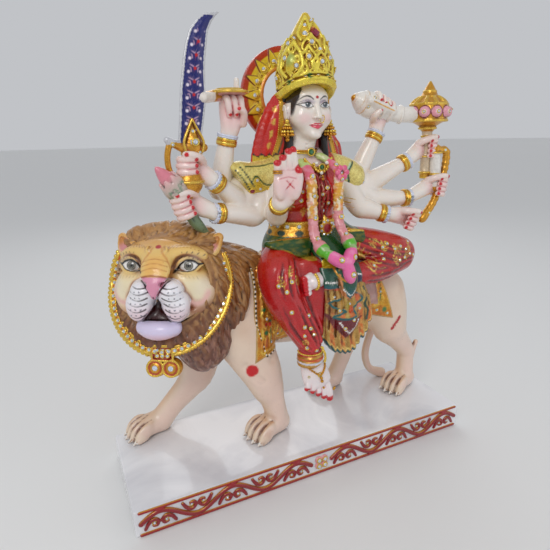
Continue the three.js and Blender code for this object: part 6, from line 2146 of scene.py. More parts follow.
def feet():
    clay = Clay((-34, -72, 42), (34, -18, 208), mm("limb_grain"))
    nails, seams = [], []
    hanging = [[-2, -42, 104, 9, 9], [-1, -44, 94, 12, 9.5], [1, -48, 84, 15, 8], [3.5, -51, 74, 15, 6.5]]
    toes = [((-9 + 5.6 * k, -51 - 0.4 * k, 77 - 2.6 * k),
             (-11.5 + 6.0 * k + 0.6 * k, -53 - 0.5 * k, 70.5 - 4.4 * k),
             2.9 + 0.12 * k) for k in range(4)]
    toes.append(((13, -52, 70), (15.2, -55, 54.5), 4.4))
    foot(clay, hanging, toes, nails, Y, seams)
    folded = [[26, -38, 186, 8, 8], [10, -43, 184.5, 9, 8], [-2, -46, 183.5, 10, 7.5]]
    short = [((-4, -47, 190.5 - 4.4 * k), (-12.5 + 0.6 * k, -49, 188.5 - 4.0 * k), 3.1 - 0.15 * k)
             for k in range(5)]
    foot(clay, folded, short, nails, Z, [])

    def brush(clay, points, normals):
        paint = Paint(points, normals, (0.93, 0.88, 0.88))
        # Painted shade in the hollows of the feet.
        paint.wash(0.5 * ramp(0.3, 1, clay.hollows(points, normals, 3)), (0.86, 0.62, 0.66))
        for at, radius in nails:
            paint.spot(at, radius, (0.78, 0.03, 0.10), soft=0.15)
        # Painted shade: pink lines between the toes.
        for seam in seams:
            paint.stroke(seam, 0.9, (0.84, 0.45, 0.52), soft=0.7)
        return paint

    piece = Piece("feet")
    piece.cast(clay, "skin", brush)
    chain = [(-13, 99), (-7, 92), (2.5, 85), (9, 90), (13.5, 97)]
    piece.beads(clay.press(clay.front(spline(chain, 5)), 0.5), 1.3, colour="gold")
    piece.glue(clay, clay.front([(2.6, 85)]), 2.2)
    piece.beads(clay.press(clay.front([(3.4, 81.5), (4, 78)]), 1.0), 1.7, colour="gold")
    piece.glue(clay, clay.front([(-9, 84)]), 1.1)
    anklet = spaced(clay.press(on_front(clay, spline([(1, 194), (0.5, 187), (0.5, 180), (1, 174)], 4), -70),
                               0.5), 2.6)
    piece.beads(anklet, 1.6, colour="pale_gold")
    return piece.build()


BELT_AT = (20, 8)


def read_off(value, rows, by=0, give=1):
    """One column of a short table, read by another one and filled in between its rows."""
    return np.interp(value, [row[by] for row in rows], [row[give] for row in rows])


def level_ring(x, y, z, reach, thick, count=19):
    """Stations of a closed level ring for Clay.tube."""
    return [[x + reach * math.cos(a), y + reach * math.sin(a), z, thick]
            for a in np.linspace(0, 2 * math.pi, count)]


def on_front(clay, rows, least=-60):
    """The points seen from the front at given places, without those that miss the clay."""
    on = clay.front(rows)
    return on[on[:, 1] > least]


def belt_line(radius_x, radius_y, low, count, rise=0.0):
    """A ring round the waist, its height moved by `rise` toward the viewer's left."""
    turns = np.linspace(0, 2 * math.pi, count, endpoint=False)
    return np.column_stack([BELT_AT[0] + radius_x * np.cos(turns), BELT_AT[1] + radius_y * np.sin(turns),
                            low - rise * np.cos(turns)])


SASH_EDGE = ((-35, -20, 215.5), (-24, -26, 211), (-13, -30, 206.5), (-3, -32, 202.5), (8, -33, 200))
SASH_RIM = ((-38, 219), (-33, 219.5), (-26, 218), (-14, 212), (-2, 206), (8, 205.5))
LOBE_RIM = ((50, 225), (62, 225), (75, 222), (73, 216), (66, 210), (57, 209))


def belt():
    clay = Clay((-54, -50, 194), (92, 52, 250), mm("cloth_grain"))
    clay.tube([[20, 8, 222, 41, 29.5], [20, 8, 231.5, 38.5, 28]], up=Y, blend=1, ends=0.15)
    clay.tube([[22, 8, 205, 54, 37], [21, 8, 214, 47, 34], [20, 8, 224, 41.5, 30]], up=Y, blend=1, ends=0.1)
    clay.tube([[4, -26, 212, 12, 4], [-14, -24, 216, 9, 5], [-30, -22, 218.5, 5, 5],
               [-36, -17, 219.5, 3, 4]], up=Y, blend=3)
    clay.tube([[56, -22, 219, 9, 5], [70, -25, 218, 7, 4]], up=Y, blend=2)
    closed = list(range(25)) + [0]
    for high in (222.5, 229.5, 236.5):
        ring = belt_line(41.5 - 0.2 * (high - 222), 29.6 - 0.15 * (high - 222), high, 25)[closed]
        clay.tube(np.column_stack([ring, np.full(26, 1.3)]), blend=0.8, steps=1)
    for at in belt_line(40.2, 29.4, 226, 40):
        curl = [[at[0] + dx, at[1], at[2] + dz, 0.9]
                for dx, dz in ((-1.6, -1.6), (-0.6, 1.2), (1.2, 0.8), (0.6, -0.8))]
        clay.tube(curl, blend=0.5, steps=2)
    clay.ball((27, -25, 231), (7.5, 3, 8.5), blend=1.5)
    clay.keep((-54, -50, 230), (92, 52, 250), lambda x, y, z: z - 237.6, blend=0.8)
    clay.tube([[27, -24, 238, 4, 2], [25, -23, 244, 0.8, 0.8]], up=Y, blend=1)
    low_edge = spline(SASH_EDGE, 6)[:, (0, 2)] + (0, 2.8)
    rims = [on_front(clay, low_edge), on_front(clay, spline(LOBE_RIM, 5))]
    for rim in rims:
        clay.tube(np.column_stack([rim, np.full(len(rim), 1.7)]), blend=1, steps=1)

    def brush(clay, points, normals):
        x, z = points[:, 0], points[:, 2]
        paint = gold_brush()(clay, points, normals)
        for at in belt_line(40.5, 29.5, 226.5, 12):
            paint.spot(at, (4.4, 5, 3.0), (0.03, 0.22, 0.14), soft=0.15)
        low = z < 223.5
        paint.wash(low * 1.0, (0.10, 0.30, 0.10))
        paint.wash(low * 0.6 * ramp(-0.2, 0.6, waves(points * (1, 1, 2.4), 9, 7)), (0.52, 0.48, 0.12),
                   gold=0.4)
        # Painted shade in the folds of the green cloth.
        paint.wash(low * 0.7 * ramp(0.3, 1, clay.hollows(points, normals, 3)), (0.03, 0.15, 0.09))
        below = (z < read_off(x, SASH_EDGE, give=2) - 3) & (x < 9) | (z < 209) & (x > 9)
        paint.wash(below * 1.0, (0.70, 0.10, 0.07))
        for rim in rims:
            paint.stroke(rim, 2.8, (0.92, 0.80, 0.26), soft=0.3, gold=0.5)
        paint.spot((27, -28, 231), (4.5, 6, 5), (0.60, 0.02, 0.10), soft=0.2)
        return paint

    piece = Piece("belt")
    piece.cast(clay, "gold", brush)
    piece.glue(clay, belt_line(39, 28, 232.5, 18, rise=0.8), 2.7)
    clasp = [(27 + 6.4 * math.cos(a), -38, 231 + 7.2 * math.sin(a)) for a in np.arange(9) * 2 * math.pi / 9]
    piece.glue(clay, clay.meet(clasp, Y), 1.7)
    piece.beads([at + (0, 0, 0.6) for at in spaced(belt_line(38.2, 27.6, 236.8, 60), 2.3)], 0.8,
                colour="pale_gold")
    return piece.build()


APRON_HEM = ((6, 122), (11, 117), (19, 108), (33, 104.5), (45, 109), (48, 117), (55, 119), (62, 131),
             (70, 150))


def apron_clay():
    clay = Clay((-4, -74, 94), (82, -8, 228), 1.0)
    clay.tube([[27, -22, 206, 19, 9], [31, -42, 190, 21, 10], [35, -48, 168, 24.5, 9],
               [38, -49, 148, 27, 8.5], [38.5, -50, 126, 28.5, 7], [38, -50, 98, 30, 5.5]],
              up=Y, folds=(18, 1.5, 0.0), blend=1, ends=0.2)
    clay.tube([[26, -14, 224, 20, 8], [28, -34, 208, 20, 7], [31, -50, 190, 17, 6]], up=Y, blend=2)
    panels = (
        [[32, -53, 196, 10, 3.6], [34, -57, 184, 10.5, 3.6], [34.5, -58.5, 172, 7.5, 3],
         [34.5, -58, 164, 1.8, 2]],
        [[15, -46, 196, 8.5, 3.4], [15.5, -53, 184, 8.5, 3.4], [15.5, -55, 176, 8, 2.6]],
        [[46.5, -48, 196, 5, 3.4], [47.5, -53, 186, 5, 3.4], [48, -54, 179, 4.6, 2.6]],
        [[35, -55, 146, 15, 3.2], [35, -57.5, 138, 13, 3.4], [34, -58, 129, 7, 3],
         [33, -57.5, 123, 1.8, 2]],
    )
    for rows in panels:
        clay.tube(rows, up=Y, blend=0.8, ends=0.3)
    for k in range(10):
        x = 13 + 5.6 * k
        low = float(read_off(x, APRON_HEM))
        out = 0.2 * (k - 4.5) ** 2
        clay.tube([[x + 1, -54 + out, low + 26, 1.4], [x + 0.4, -57 + out, low + 12, 2.4],
                   [x, -59 + out, low + 1, 3.2]], blend=1.4)
    clay.keep((-4, -74, 94), (82, -8, 150), lambda x, y, z: (
        read_off(x, APRON_HEM) + 1.2 * np.sin((x - 13) * 2 * math.pi / 5.6 - 1.5) - z) * 0.8, blend=0.6)
    for line in ZIGZAGS:
        on = clay.front(spline(line, 4))
        clay.tube(np.column_stack([on, np.full(len(on), 1.6)]), blend=0.8, steps=1)
    return clay


ZIGZAGS = (((25, 164), (14.5, 161.5), (18, 156), (31, 150), (18, 145.5), (33, 142), (43, 143.5)),
           ((43.5, 168), (51, 161), (40, 153.5), (42.5, 146)))
SHIELD = ((23.8, 194), (24, 184), (26, 174), (30, 166.5), (34.5, 162.5), (40, 165), (43.5, 171), (44, 184),
          (43, 194))
MAROON = ((7, 152), (19, 133.5), (31.5, 121), (43.5, 132), (52, 142), (38, 141), (19, 144.5))


def paint_apron(clay, points, normals):
    x, y, z = points.T
    front = y < -42
    paint = Paint(points, normals, (0.72, 0.55, 0.26), gold=0.6)
    pleat = 0.5 + 0.5 * np.sin((x - 36) * 2 * math.pi / 11.2)
    paint.wash(ramp(0.4, 0.7, pleat) * (z < 150), (0.84, 0.45, 0.18), gold=0.15)
    paint.wash(0.6 * ramp(24, 14, x) * ramp(176, 160, z) * ramp(128, 140, z), (0.58, 0.24, 0.06), gold=0.2)
    paint.wash(0.5 * ramp(0.1, 0.8, waves(points, 7, 15)) * (z < 172), (0.86, 0.74, 0.40), gold=0.6)
    # Painted shade in the hollows of the pleats.
    paint.wash(0.75 * ramp(0.25, 0.9, clay.hollows(points, normals, 2.2)), (0.32, 0.13, 0.05))
    paint.wash((z > 195) * 1.0, (0.05, 0.28, 0.10))
    paint.wash((np.abs(x - 12 + 0.55 * (z - 200)) < 8) * (z > 192) * (z < 208) * front * 1.0,
               (0.84, 0.70, 0.10), gold=0.5)
    shield = inside_outline(x, z, SHIELD)
    slant = z + 0.1 * (x - 10)
    left = (x < 23.6) & (slant > 174.5) & (slant < 196.5) & front
    right = (x > 44) & (z > 178.5 - 0.1 * (x - 44)) & (z < 197) & front
    for panel in (left, right):
        paint.wash(panel * 1.0, (0.02, 0.29, 0.20))
    paint.wash(left * (slant < 180.5) * 1.0, (0.03, 0.33, 0.36))
    paint.wash(left * (slant < 176.5) * 1.0, (0.84, 0.42, 0.28), gold=0.4)
    paint.wash(right * (z < 187) * 1.0, (0.03, 0.10, 0.26))
    paint.wash(((shield < 0) & front) * 1.0, (0.02, 0.30, 0.20))
    paint.wash(((shield < 0) & front & (z < 174 - 0.5 * np.abs(x - 34))) * 1.0, (0.03, 0.33, 0.36))
    paint.wash(((np.abs(shield) < 1.1) & front & (z < 190)) * 1.0, (0.84, 0.56, 0.36), gold=0.5)
    rim = [(20, 196), (22, 190), (26.5, 184.5), (32, 182.5), (37.5, 184.5), (40, 192), (40.5, 197)]
    paint.stroke(clay.front(spline(rim, 4)), 1.8, "gold", soft=0.4, gold=0.9)
    maroon = inside_outline(x, z, MAROON)
    paint.wash(((maroon < 0) & front) * 1.0, (0.42, 0.02, 0.08))
    for line in ZIGZAGS:
        paint.stroke(clay.front(spline(line, 4)), 2.5, (0.02, 0.36, 0.36), soft=0.35)
    for at, colour in (((37, 151), (0.88, 0.36, 0.18)), ((45, 163), (0.88, 0.40, 0.20)),
                       ((34, 156), (0.66, 0.62, 0.20)),
                       ((26, 157), (0.80, 0.60, 0.30)), ((48, 152), (0.88, 0.50, 0.46))):
        paint.spot(clay.front([at])[0], (3.0, 5, 4.2), colour, soft=0.4, strength=0.9)
    trim = [(20, 143.5), (33, 141.5), (44, 142.5)]
    paint.stroke(clay.front(spline(trim, 4)), 1.5, (0.02, 0.30, 0.34), soft=0.35)
    for rows in ([(9, 183), (16, 182.3), (22.6, 181.6)],
                 [(25.5, 176), (29.7, 171.6), (34.5, 167.7), (38.8, 170.2), (42.8, 174.5)],
                 [(44.5, 187.5), (51, 186)], [(24, 139), (33, 127.5), (38, 129.5), (42, 132.5), (46, 139)]):
        for spot in clay.front(spaced(spline(rows, 4), 2.3)):
            paint.spot(spot, 0.95, (0.97, 0.96, 0.94), soft=0.2)
    edge = [(54.5, 172), (58.8, 162), (56.5, 153), (60.5, 146), (58.5, 137)]
    paint.stroke(clay.front(spline(edge, 4)), 2.8, (0.03, 0.24, 0.16), soft=0.4)
    hem = z - read_off(x, APRON_HEM) - 1.2 * np.sin((x - 13) * 2 * math.pi / 5.6 - 1.5)
    paint.wash(ramp(3.2, 2.2, hem), (0.03, 0.33, 0.33))
    paint.wash((np.abs(hem - 4.4) < 0.8) * 1.0, (0.90, 0.78, 0.44), gold=0.7)
    return paint


def apron():
    clay = apron_clay()
    piece = Piece("apron")
    piece.cast(clay, "cloth", paint_apron)
    spots = [(29.5, 132.5), (40, 140), (24, 152), (37, 157), (20, 166), (49, 172), (53, 156), (49, 150)]
    piece.glue(clay, clay.front(spots), 1.7)
    return piece.build()


GARLAND = (
    [[8, -8, 297], [9.5, -17, 290], [8, -27, 281], [8, -29, 263], [9, -29, 245], [8, -33, 231],
     [8, -38, 222], [9, -45, 216], [11.5, -51, 211.5]],
    [[31, -4, 302], [37, -12, 296], [40, -21, 291], [40, -27, 285], [38.5, -29, 270], [38.5, -29, 250],
     [38, -32, 237], [39, -37, 228], [41.5, -44, 219], [41, -50, 214]],
)
# Kinds of flower along a strand: from, to (as a share of its length), colour.
GARLAND_BANDS = ((0.0, 0.12, (0.74, 0.82, 0.50)), (0.10, 0.26, (0.90, 0.42, 0.52)),
                 (0.26, 0.62, "marigold"), (0.62, 0.94, (0.88, 0.56, 0.58)),
                 (0.94, 1.0, (0.36, 0.72, 0.16)))
PETALS = (((11, -53.5, 211.5), (28, -59, 200)), ((40.5, -53, 213), (31, -59, 201)),
          ((30.5, -60, 200), (33.5, -61.5, 185)))


def garland():
    clay = Clay((-6, -74, 172), (66, 10, 310), 0.85)
    strands = [spline(rows, 12) for rows in GARLAND]
    random = np.random.default_rng(23)
    for strand in strands:
        even = spaced(strand, 2.9)
        for k, at in enumerate(even[:-2]):
            clay.ball(at, (5.2, 4.6, 2.8), blend=0.8)
            for turn in range(5):
                a = 2 * math.pi * (turn + 0.5 * (k % 2)) / 5 + random.uniform(-0.3, 0.3)
                size = random.uniform(1.5, 2.3)
                clay.ball(at + (3.9 * math.cos(a), 3.4 * math.sin(a), random.uniform(-0.8, 0.8)),
                          (size, size, size * 0.8), blend=0.5)
        ends = np.column_stack([strand[-16:-1:5], np.full(3, 6.9)])
        clay.tube(ends, blend=0.5, ends=0.3)
    for start, end in PETALS:
        start, end = np.array(start, float), np.array(end, float)
        rows = [[*(start + (end - start) * t), r]
                for t, r in ((0, 4.8), (0.35, 6.2), (0.75, 6.4), (1.0, 4.8))]
        clay.tube(rows, blend=1.0)
    flower = np.array((40, -33, 286))
    for k in range(6):
        clay.ball(flower + (5 * math.cos(k * 1.05), 0, 5 * math.sin(k * 1.05)), (3.0, 2.2, 3.0), blend=0.5)

    def brush(clay, points, normals):
        paint = Paint(points, normals, (0.93, 0.42, 0.66))
        for strand in strands:
            rows = spaced(strand, 1.5)
            gap = np.full(len(points), FAR)
            share = np.zeros(len(points))
            for k, at in enumerate(rows):
                near = np.linalg.norm(points - at, axis=1)
                closer = near < gap
                gap[closer] = near[closer]
                share[closer] = k / (len(rows) - 1)
            own = (gap < 9.5) & ((share < 0.97) | (gap < 7.6))
            for low, high, colour in GARLAND_BANDS:
                paint.wash((own & (share >= low) & (share <= high)) * 1.0, colour)
            patch = ramp(0.1, 0.35, waves(points, 7.5, 31))
            middle = own & (share > 0.26) & (share < 0.62)
            paint.wash(middle * patch * 0.9, (0.96, 0.92, 0.80))
            paint.wash(middle * ramp(0.2, 0.5, waves(points, 9, 5)) * 0.6, (0.90, 0.48, 0.10))
        paint.spot(flower, (9, 7, 9), (0.90, 0.36, 0.52), soft=0.2)
        paint.wash(0.25 * ramp(0.0, 0.8, waves(points, 9, 12)), (0.99, 0.80, 0.88))
        # Painted shade between the flowers, then painted highlights on their ridges.
        paint.wash(0.60 * ramp(0.3, 0.9, clay.hollows(points, normals, 1.8)), (0.60, 0.18, 0.20))
        paint.wash(0.30 * ramp(0.3, 0.9, clay.ridges(points, normals, 1.8)), (0.99, 0.90, 0.88))
        return paint

    piece = Piece("garland")
    piece.cast(clay, "enamel", brush)
    for strand in strands:
        spots = spaced(strand, 19.0)[1:-1] + (0, -6, 0)
        piece.glue(clay, spots, 2.2)
    piece.glue(clay, clay.front([(22, 206), (38, 207), (33, 191), (40, 286), (8, 283)]), 2.4)
    return piece.build()


BLADE_LEFT = ((-114.3, 319), (-111.6, 340), (-109.4, 361), (-104.9, 386), (-102, 398), (-98, 408),
              (-91.5, 416), (-83.4, 422), (-70.4, 423.5))
BLADE_RIGHT = ((-93.9, 319), (-90.5, 335), (-87.5, 351), (-86.7, 376), (-85.7, 387), (-82, 408), (-78, 416),
               (-74, 420.5), (-70.4, 423.5))


def blade_edges(z):
    return read_off(z, BLADE_LEFT, by=1, give=0), read_off(z, BLADE_RIGHT, by=1, give=0)


def sword():
    clay = Clay((-130, -28, 258), (-66, 12, 427), mm("face_grain"))

    def blade(x, y, z):
        left, right = blade_edges(z)
        middle, half = (left + right) / 2, (right - left) / 2
        across = (np.abs(x - middle) - half) * 0.9
        thick = 1.5 + 1.6 * ramp(0, 7, -across)
        return np.maximum(np.maximum(across, np.abs(y + 8) - thick), np.maximum(316 - z, z - 423.5))

    clay.shape((-118, -14, 314), (-68, -2, 425), blade)
    # Langet at the foot of the blade, quillons, grip, cup, knuckle guard and boss.
    clay.tube([[-102, -8, 306, 7.5, 6.5], [-102, -8, 314, 9.5, 7], [-102, -8, 325, 5.5, 5.5],
               [-102, -8, 338, 0.8, 1.5]], up=Y, blend=1.5)
    for side in SIDES:
        clay.tube([[-102 + side * 7.5, -14, 310, 1.2], [-102 + side * 8.8, -14, 318, 1.2],
                   [-102 + side * 5, -13.5, 327, 1.1], [-102, -13, 337, 0.9]], blend=0.5)
    clay.tube([[-92, -8, 313, 4], [-104, -8, 312, 5.5], [-116, -8, 316, 4], [-124, -8, 320, 3]], blend=1.5)
    clay.tube([[-106, -8, 279, 5.4], [-106, -8, 312, 5.8]], blend=1)
    for k in range(5):
        clay.tube(level_ring(-106, -8, 288 + 5 * k, 6.2, 0.9, 13), blend=0.5, steps=1)
    clay.tube([[-107, -8, 262, 3.2], [-107, -8, 274, 4], [-107, -8, 281, 11], [-107, -8, 284, 12.6]],
              blend=1, ends=0.15)
    clay.tube(level_ring(-107, -8, 283.6, 12.6, 1.5), blend=0.6, steps=1)
    clay.tube([[-122, -8, 318, 2.8], [-125, -8, 306, 2.7], [-124, -8, 294, 2.7], [-118, -8, 285, 2.6]],
              blend=1)
    clay.ball((-110, -12, 274), 6.3, blend=1.5)
    clay.ball((-101, -12, 318), (4.4, 3.5, 5.2), blend=1)

    def brush(clay, points, normals):
        x, y, z = points.T
        paint = gold_brush()(clay, points, normals)
        left, right = blade_edges(z)
        middle, half = (left + right) / 2, (right - left) / 2
        langet = np.interp(z, [316, 325, 338], [9.5, 7, 1.4])
        steel = (z > 316) & (np.abs(y + 8) < 3.6) & ((z > 338) | (np.abs(x + 102) > langet))
        paint.wash(steel * 1.0, (0.80, 0.80, 0.82), gold=0.25)
        field = steel & (half - np.abs(x - middle) > 1.7) & (z < 420)
        paint.wash(field * 1.0, "blue", gold=0.15)
        for k in range(8):
            low = 330 + 10.5 * k
            l0, r0 = blade_edges(low)
            l1, r1 = blade_edges(low + 6)
            c0, c1, w = (l0 + r0) / 2, (l1 + r1) / 2, (r0 - l0) / 2
            for front in (-11.5, -4.5):
                for side in SIDES:
                    curl = spline([(c0 + side * 1.2, front, low - 3), (c0 + side * w * 0.62, front, low),
                                   (c1 + side * w * 0.66, front, low + 5),
                                   (c1 + side * w * 0.34, front, low + 6.5),
                                   (c1 + side * w * 0.28, front, low + 3.6)], 4)
                    paint.stroke(curl, 1.1, (0.90, 0.74, 0.84), soft=0.5)
                    paint.spot((c1 + side * w * 0.52, front, low + 3.4), 1.5, (0.94, 0.88, 0.94), soft=0.3)
                paint.spot((c0, front, low - 4.5), 1.4, (0.78, 0.04, 0.08), soft=0.2)
        paint.stroke(spline([(-109, -14, 312), (-102, -14, 309), (-95, -14, 312)], 4), 1.2, "red", soft=0.4)
        return paint

    piece = Piece("sword")
    piece.cast(clay, "gold", brush)
    piece.glue(clay, clay.front([(-102, 327), (-107, 309), (-97, 309), (-120, 316)]), 1.7)
    piece.stones([(-101, -16.2, 318)], [-Y], 2.9)
    return piece.build()


def disc():
    clay = Clay((-98, -18, 344), (-38, 28, 372), mm("gold_grain"))
    clay.shape((-80, -14, 352), (-40, 26, 368), lambda x, y, z: np.maximum(
        np.hypot(x + 60, y - 6) - 17.6, np.abs(z - 361) -
        np.interp(np.hypot(x + 60, y - 6), [0, 11, 17.6], [2.6, 2.2, 0.9])))
    clay.tube(level_ring(-60, 6, 361, 17.2, 1.4, 25), blend=0.6, steps=1)
    for reach in (6, 12.5):
        clay.tube(level_ring(-60, 6, 363.4, reach, 0.9), blend=0.5, steps=1)
    clay.tube([[-71, 5, 358, 5, 3.5], [-90, -7, 355, 5, 6]], up=Y, blend=2)

    def brush(clay, points, normals):
        x, y, z = points.T
        paint = gold_brush()(clay, points, normals)
        reach = np.hypot(x + 60, y - 6)
        paint.wash((normals[:, 2] < -0.3) * (reach < 15.5) * 1.0, (0.86, 0.62, 0.58))
        paint.wash((normals[:, 2] > 0.3) * (np.abs(reach - 9.3) < 2.2) * 0.9, (0.80, 0.40, 0.40))
        paint.wash((x < -74) * (z < 360) * ramp(17.8, 19.5, reach), "skin")
        return paint

    piece = Piece("disc")
    piece.cast(clay, "gold", brush)
    piece.glue(clay, [(-60 + 9.3 * math.cos(a), 6 + 9.3 * math.sin(a), 366)
                      for a in np.arange(8) * math.pi / 4], 1.6)
    return piece.build()


def lotus():
    clay = Clay((-146, -36, 226), (-84, 4, 306), mm("limb_grain"))
    heart = np.array((-121, -11.5, 279))
    tip = np.array((-137, -15.5, 297))
    axis = unit(tip - heart)
    clay.tube([[-111, -10, 266, 4.4], [-119, -11, 276, 9, 8], [-127, -13, 286, 8.4, 7.2],
               [-134, -15, 294, 4], [-137.5, -15.5, 298, 1]], blend=1)
    side = unit(np.cross(axis, Y))
    out = np.cross(side, axis)
    for ring, (count, foot_at, top_at, wide, reach) in enumerate(((6, -8, 13, 6.4, 8.6),
                                                                  (6, -9, 8, 6.0, 9.6),
                                                                  (5, -11, 2, 5.0, 9.0))):
        for k in range(count):
            a = 2 * math.pi * (k + 0.5 * ring) / count
            lean = side * math.cos(a) + out * math.sin(a)
            rows = []
            for share, span, far in ((0, 0.45, 0.55), (0.3, 0.95, 0.92), (0.6, 0.85, 1.0),
                                     (0.85, 0.45, 0.95), (1.0, 0.08, 0.86)):
                at = heart + axis * (foot_at + (top_at - foot_at) * share) + lean * reach * far
                rows.append([*at, wide * span, 1.3])
            clay.tube(rows, up=tuple(lean), blend=0.5)
    clay.tube([[-111, -10, 257, 6, 5], [-103, -10, 245, 5.4], [-93, -6, 235, 2.5]], blend=1.5)
    clay.tube([[-111, -10, 268, 4.2], [-111, -10, 257, 4.6]], blend=1.5)

    def brush(clay, points, normals):
        paint = Paint(points, normals, (0.50, 0.58, 0.48))
        along = (points - heart) @ axis
        paint.wash(0.9 * ramp(2, 16, along), (0.90, 0.50, 0.58))
        paint.wash(0.6 * ramp(-4, -10, along), (0.36, 0.46, 0.28))
        # Painted shade between the petals, then painted highlights on their edges.
        paint.wash(0.9 * ramp(0.3, 0.95, clay.hollows(points, normals, 1.8)), (0.16, 0.20, 0.18))
        paint.wash(0.55 * ramp(0.2, 0.8, clay.ridges(points, normals, 2)), (0.93, 0.80, 0.78))
        stem = (along < -16) * 1.0
        paint.wash(stem, (0.42, 0.50, 0.36))
        for k in range(3):
            paint.stroke([(-112 + 3 * k, -16 + k, 262), (-108 + 3 * k, -16 + k, 250),
                          (-98 + 2 * k, -12 + k, 239)], 0.9, (0.12, 0.16, 0.14), soft=0.4)
        return paint

    piece = Piece("lotus")
    piece.cast(clay, "enamel", brush)
    return piece.build()


CONCH_LINE = ([85, 18, 360, 2.5], [90, 17.5, 358, 6], [97, 17, 355, 11.5, 10.5], [106, 16, 352, 14, 12.5],
              [116, 14, 349, 12.5, 11.5], [127, 11, 345, 9.5, 9], [140, 7, 342, 8.5, 8.5],
              [162, 1, 342, 8.5, 9])


def conch():
    clay = Clay((80, -16, 328), (170, 34, 374), mm("limb_grain"))
    clay.tube(CONCH_LINE, up=Y, blend=2, ends=0.5)
    line = spline([r[:3] for r in CONCH_LINE], 6)
    girth = np.interp(np.linspace(0, 1, len(line)), np.linspace(0, 1, len(CONCH_LINE)),
                      [r[3] for r in CONCH_LINE])

    def hoop(index, thick, lift=0.4):
        at, along = line[index], unit(line[min(index + 1, len(line) - 1)] - line[index - 1])
        side = unit(np.cross(along, Y))
        rise = np.cross(side, along)
        reach = girth[index] + lift
        return [[*(at + (side * math.cos(a) + rise * math.sin(a)) * reach), thick]
                for a in np.linspace(0, 2 * math.pi, 19)]

    hoops = (3, 6, 9, 12)
    for index in hoops:
        clay.tube(hoop(index, 1.3), blend=0.8, steps=1)
    for index in (26, 31, 36):
        clay.tube(hoop(index, 1.6), blend=0.8, steps=1)
    clay.tube([[98, 4, 356, 3], [112, 3, 350, 4.6], [128, 2, 345, 3]], blend=3)
    clay.tube([[100, 1, 355, 1.4], [112, -0.5, 350, 1.8], [126, 0, 345.5, 1.4]], blend=0.8)

    def brush(clay, points, normals):
        paint = Paint(points, normals, "marble")
        # Painted shade in the hollows of the shell.
        paint.wash(0.35 * ramp(0.2, 1, clay.hollows(points, normals, 3)), (0.80, 0.62, 0.52))
        for index in hoops + (26, 31, 36):
            paint.stroke([r[:3] for r in hoop(index, 1, 0.8)], 1.7, "gold", soft=0.2, gold=0.9)
        paint.stroke(spline([(100, 0, 355), (112, -2, 350), (126, -1, 345.5)], 5), 1.5, "gold", soft=0.3,
                     gold=0.9)
        paint.spot((85, 18, 360), 4, "gold", soft=0.2, gold=0.9)
        for k in range(6):
            paint.spot(line[14 + 2 * k] + (0, -10, 4), 1.5, (0.84, 0.20, 0.24), soft=0.3)
        return paint

    piece = Piece("conch")
    piece.cast(clay, "enamel", brush)
    piece.glue(clay, clay.front([(105, 359), (112, 343), (120, 353), (97, 350)]), 1.6)
    return piece.build()


MACE_PROFILE = ((272, 5.5), (300, 5.5), (323, 5.8), (326, 8.5), (329, 9), (332, 14), (335, 20), (343, 22),
                (352, 20), (357, 14.5), (361, 9.5), (365, 7.5), (370, 5), (377, 0.8))


def mace():
    clay = Clay((146, -28, 266), (210, 28, 380), mm("gold_grain"))
    at = (175, 0)
    clay.shape((150, -26, 270), (200, 26, 379), lambda x, y, z: np.maximum(
        (np.hypot(x - at[0], y - at[1]) - read_off(z, MACE_PROFILE)) * 0.85,
        np.maximum(271 - z, z - 377)), blend=1)
    for z, reach, thick in ((335, 20.4, 1.6), (352.5, 19.6, 1.4), (360, 10, 1.5), (327, 9, 1.5),
                            (366, 6.6, 1.2), (318, 6, 1.2), (296, 6, 1.2), (278, 6, 1.3)):
        clay.tube(level_ring(at[0], at[1], z, reach, thick), blend=0.6, steps=1)
    for k in range(10):
        a = 2 * math.pi * k / 10
        lean = np.array((math.cos(a), math.sin(a), 0))
        rows = [[*(np.array((175, 0, z)) + lean * r), t]
                for z, r, t in ((352, 19.6, 2.0), (356, 16, 2.2), (360, 11, 1.6))]
        clay.tube(rows, blend=0.8, steps=2)
        clay.ball(np.array((175, 0, 344)) + lean * 20.0, (5.4, 5.4, 6.0), blend=0.6)
    clay.tube([[190, -2.5, 346, 8.8], [196, -3.5, 346.5, 6], [201, -4, 347, 3.4],
               [206.5, -4.5, 347.5, 0.8]], blend=1)
    ring = [[192, -2.5 + 8.6 * math.cos(a), 346 + 8.6 * math.sin(a), 1.2]
            for a in np.linspace(0, 2 * math.pi, 15)]
    clay.tube(ring, blend=0.5, steps=1)

    def brush(clay, points, normals):
        x, y, z = points.T
        paint = gold_brush()(clay, points, normals)
        turn = np.arctan2(y - at[1], x - at[0]) * 10 / (2 * math.pi)
        near = np.abs(turn - np.round(turn)) * 2 * math.pi / 10 * 21
        reach = np.hypot(x - at[0], y - at[1])
        button = np.hypot(near, z - 344)
        head = (reach > 17) & (x < 194)
        paint.wash(head * (button < 6.8) * 1.0, (0.45, 0.10, 0.12))
        paint.wash(head * (button < 5.8) * 1.0, (0.94, 0.66, 0.72))
        paint.wash(head * (button < 2.6) * 1.0, (0.96, 0.88, 0.86))
        paint.wash((reach < 6.4) * (z < 324) * (z > 279) * 0.75, (0.85, 0.80, 0.72), gold=0.2)
        return paint

    piece = Piece("mace")
    piece.cast(clay, "gold", brush)
    spots = [np.array((175, 0, 344)) + np.array((math.cos(a), math.sin(a), 0)) * 26
             for a in np.arange(10) * 2 * math.pi / 10]
    piece.glue(clay, [s for s in spots if s[0] < 195], 1.6)
    return piece.build()


BOW_ARC = [[188, -8, 303, 4.2], [198, -8, 301, 4], [198.5, -8, 286, 3.6], [194, -8, 268, 3.6],
           [185, -8, 245, 4], [172, -8, 228, 4.6]]


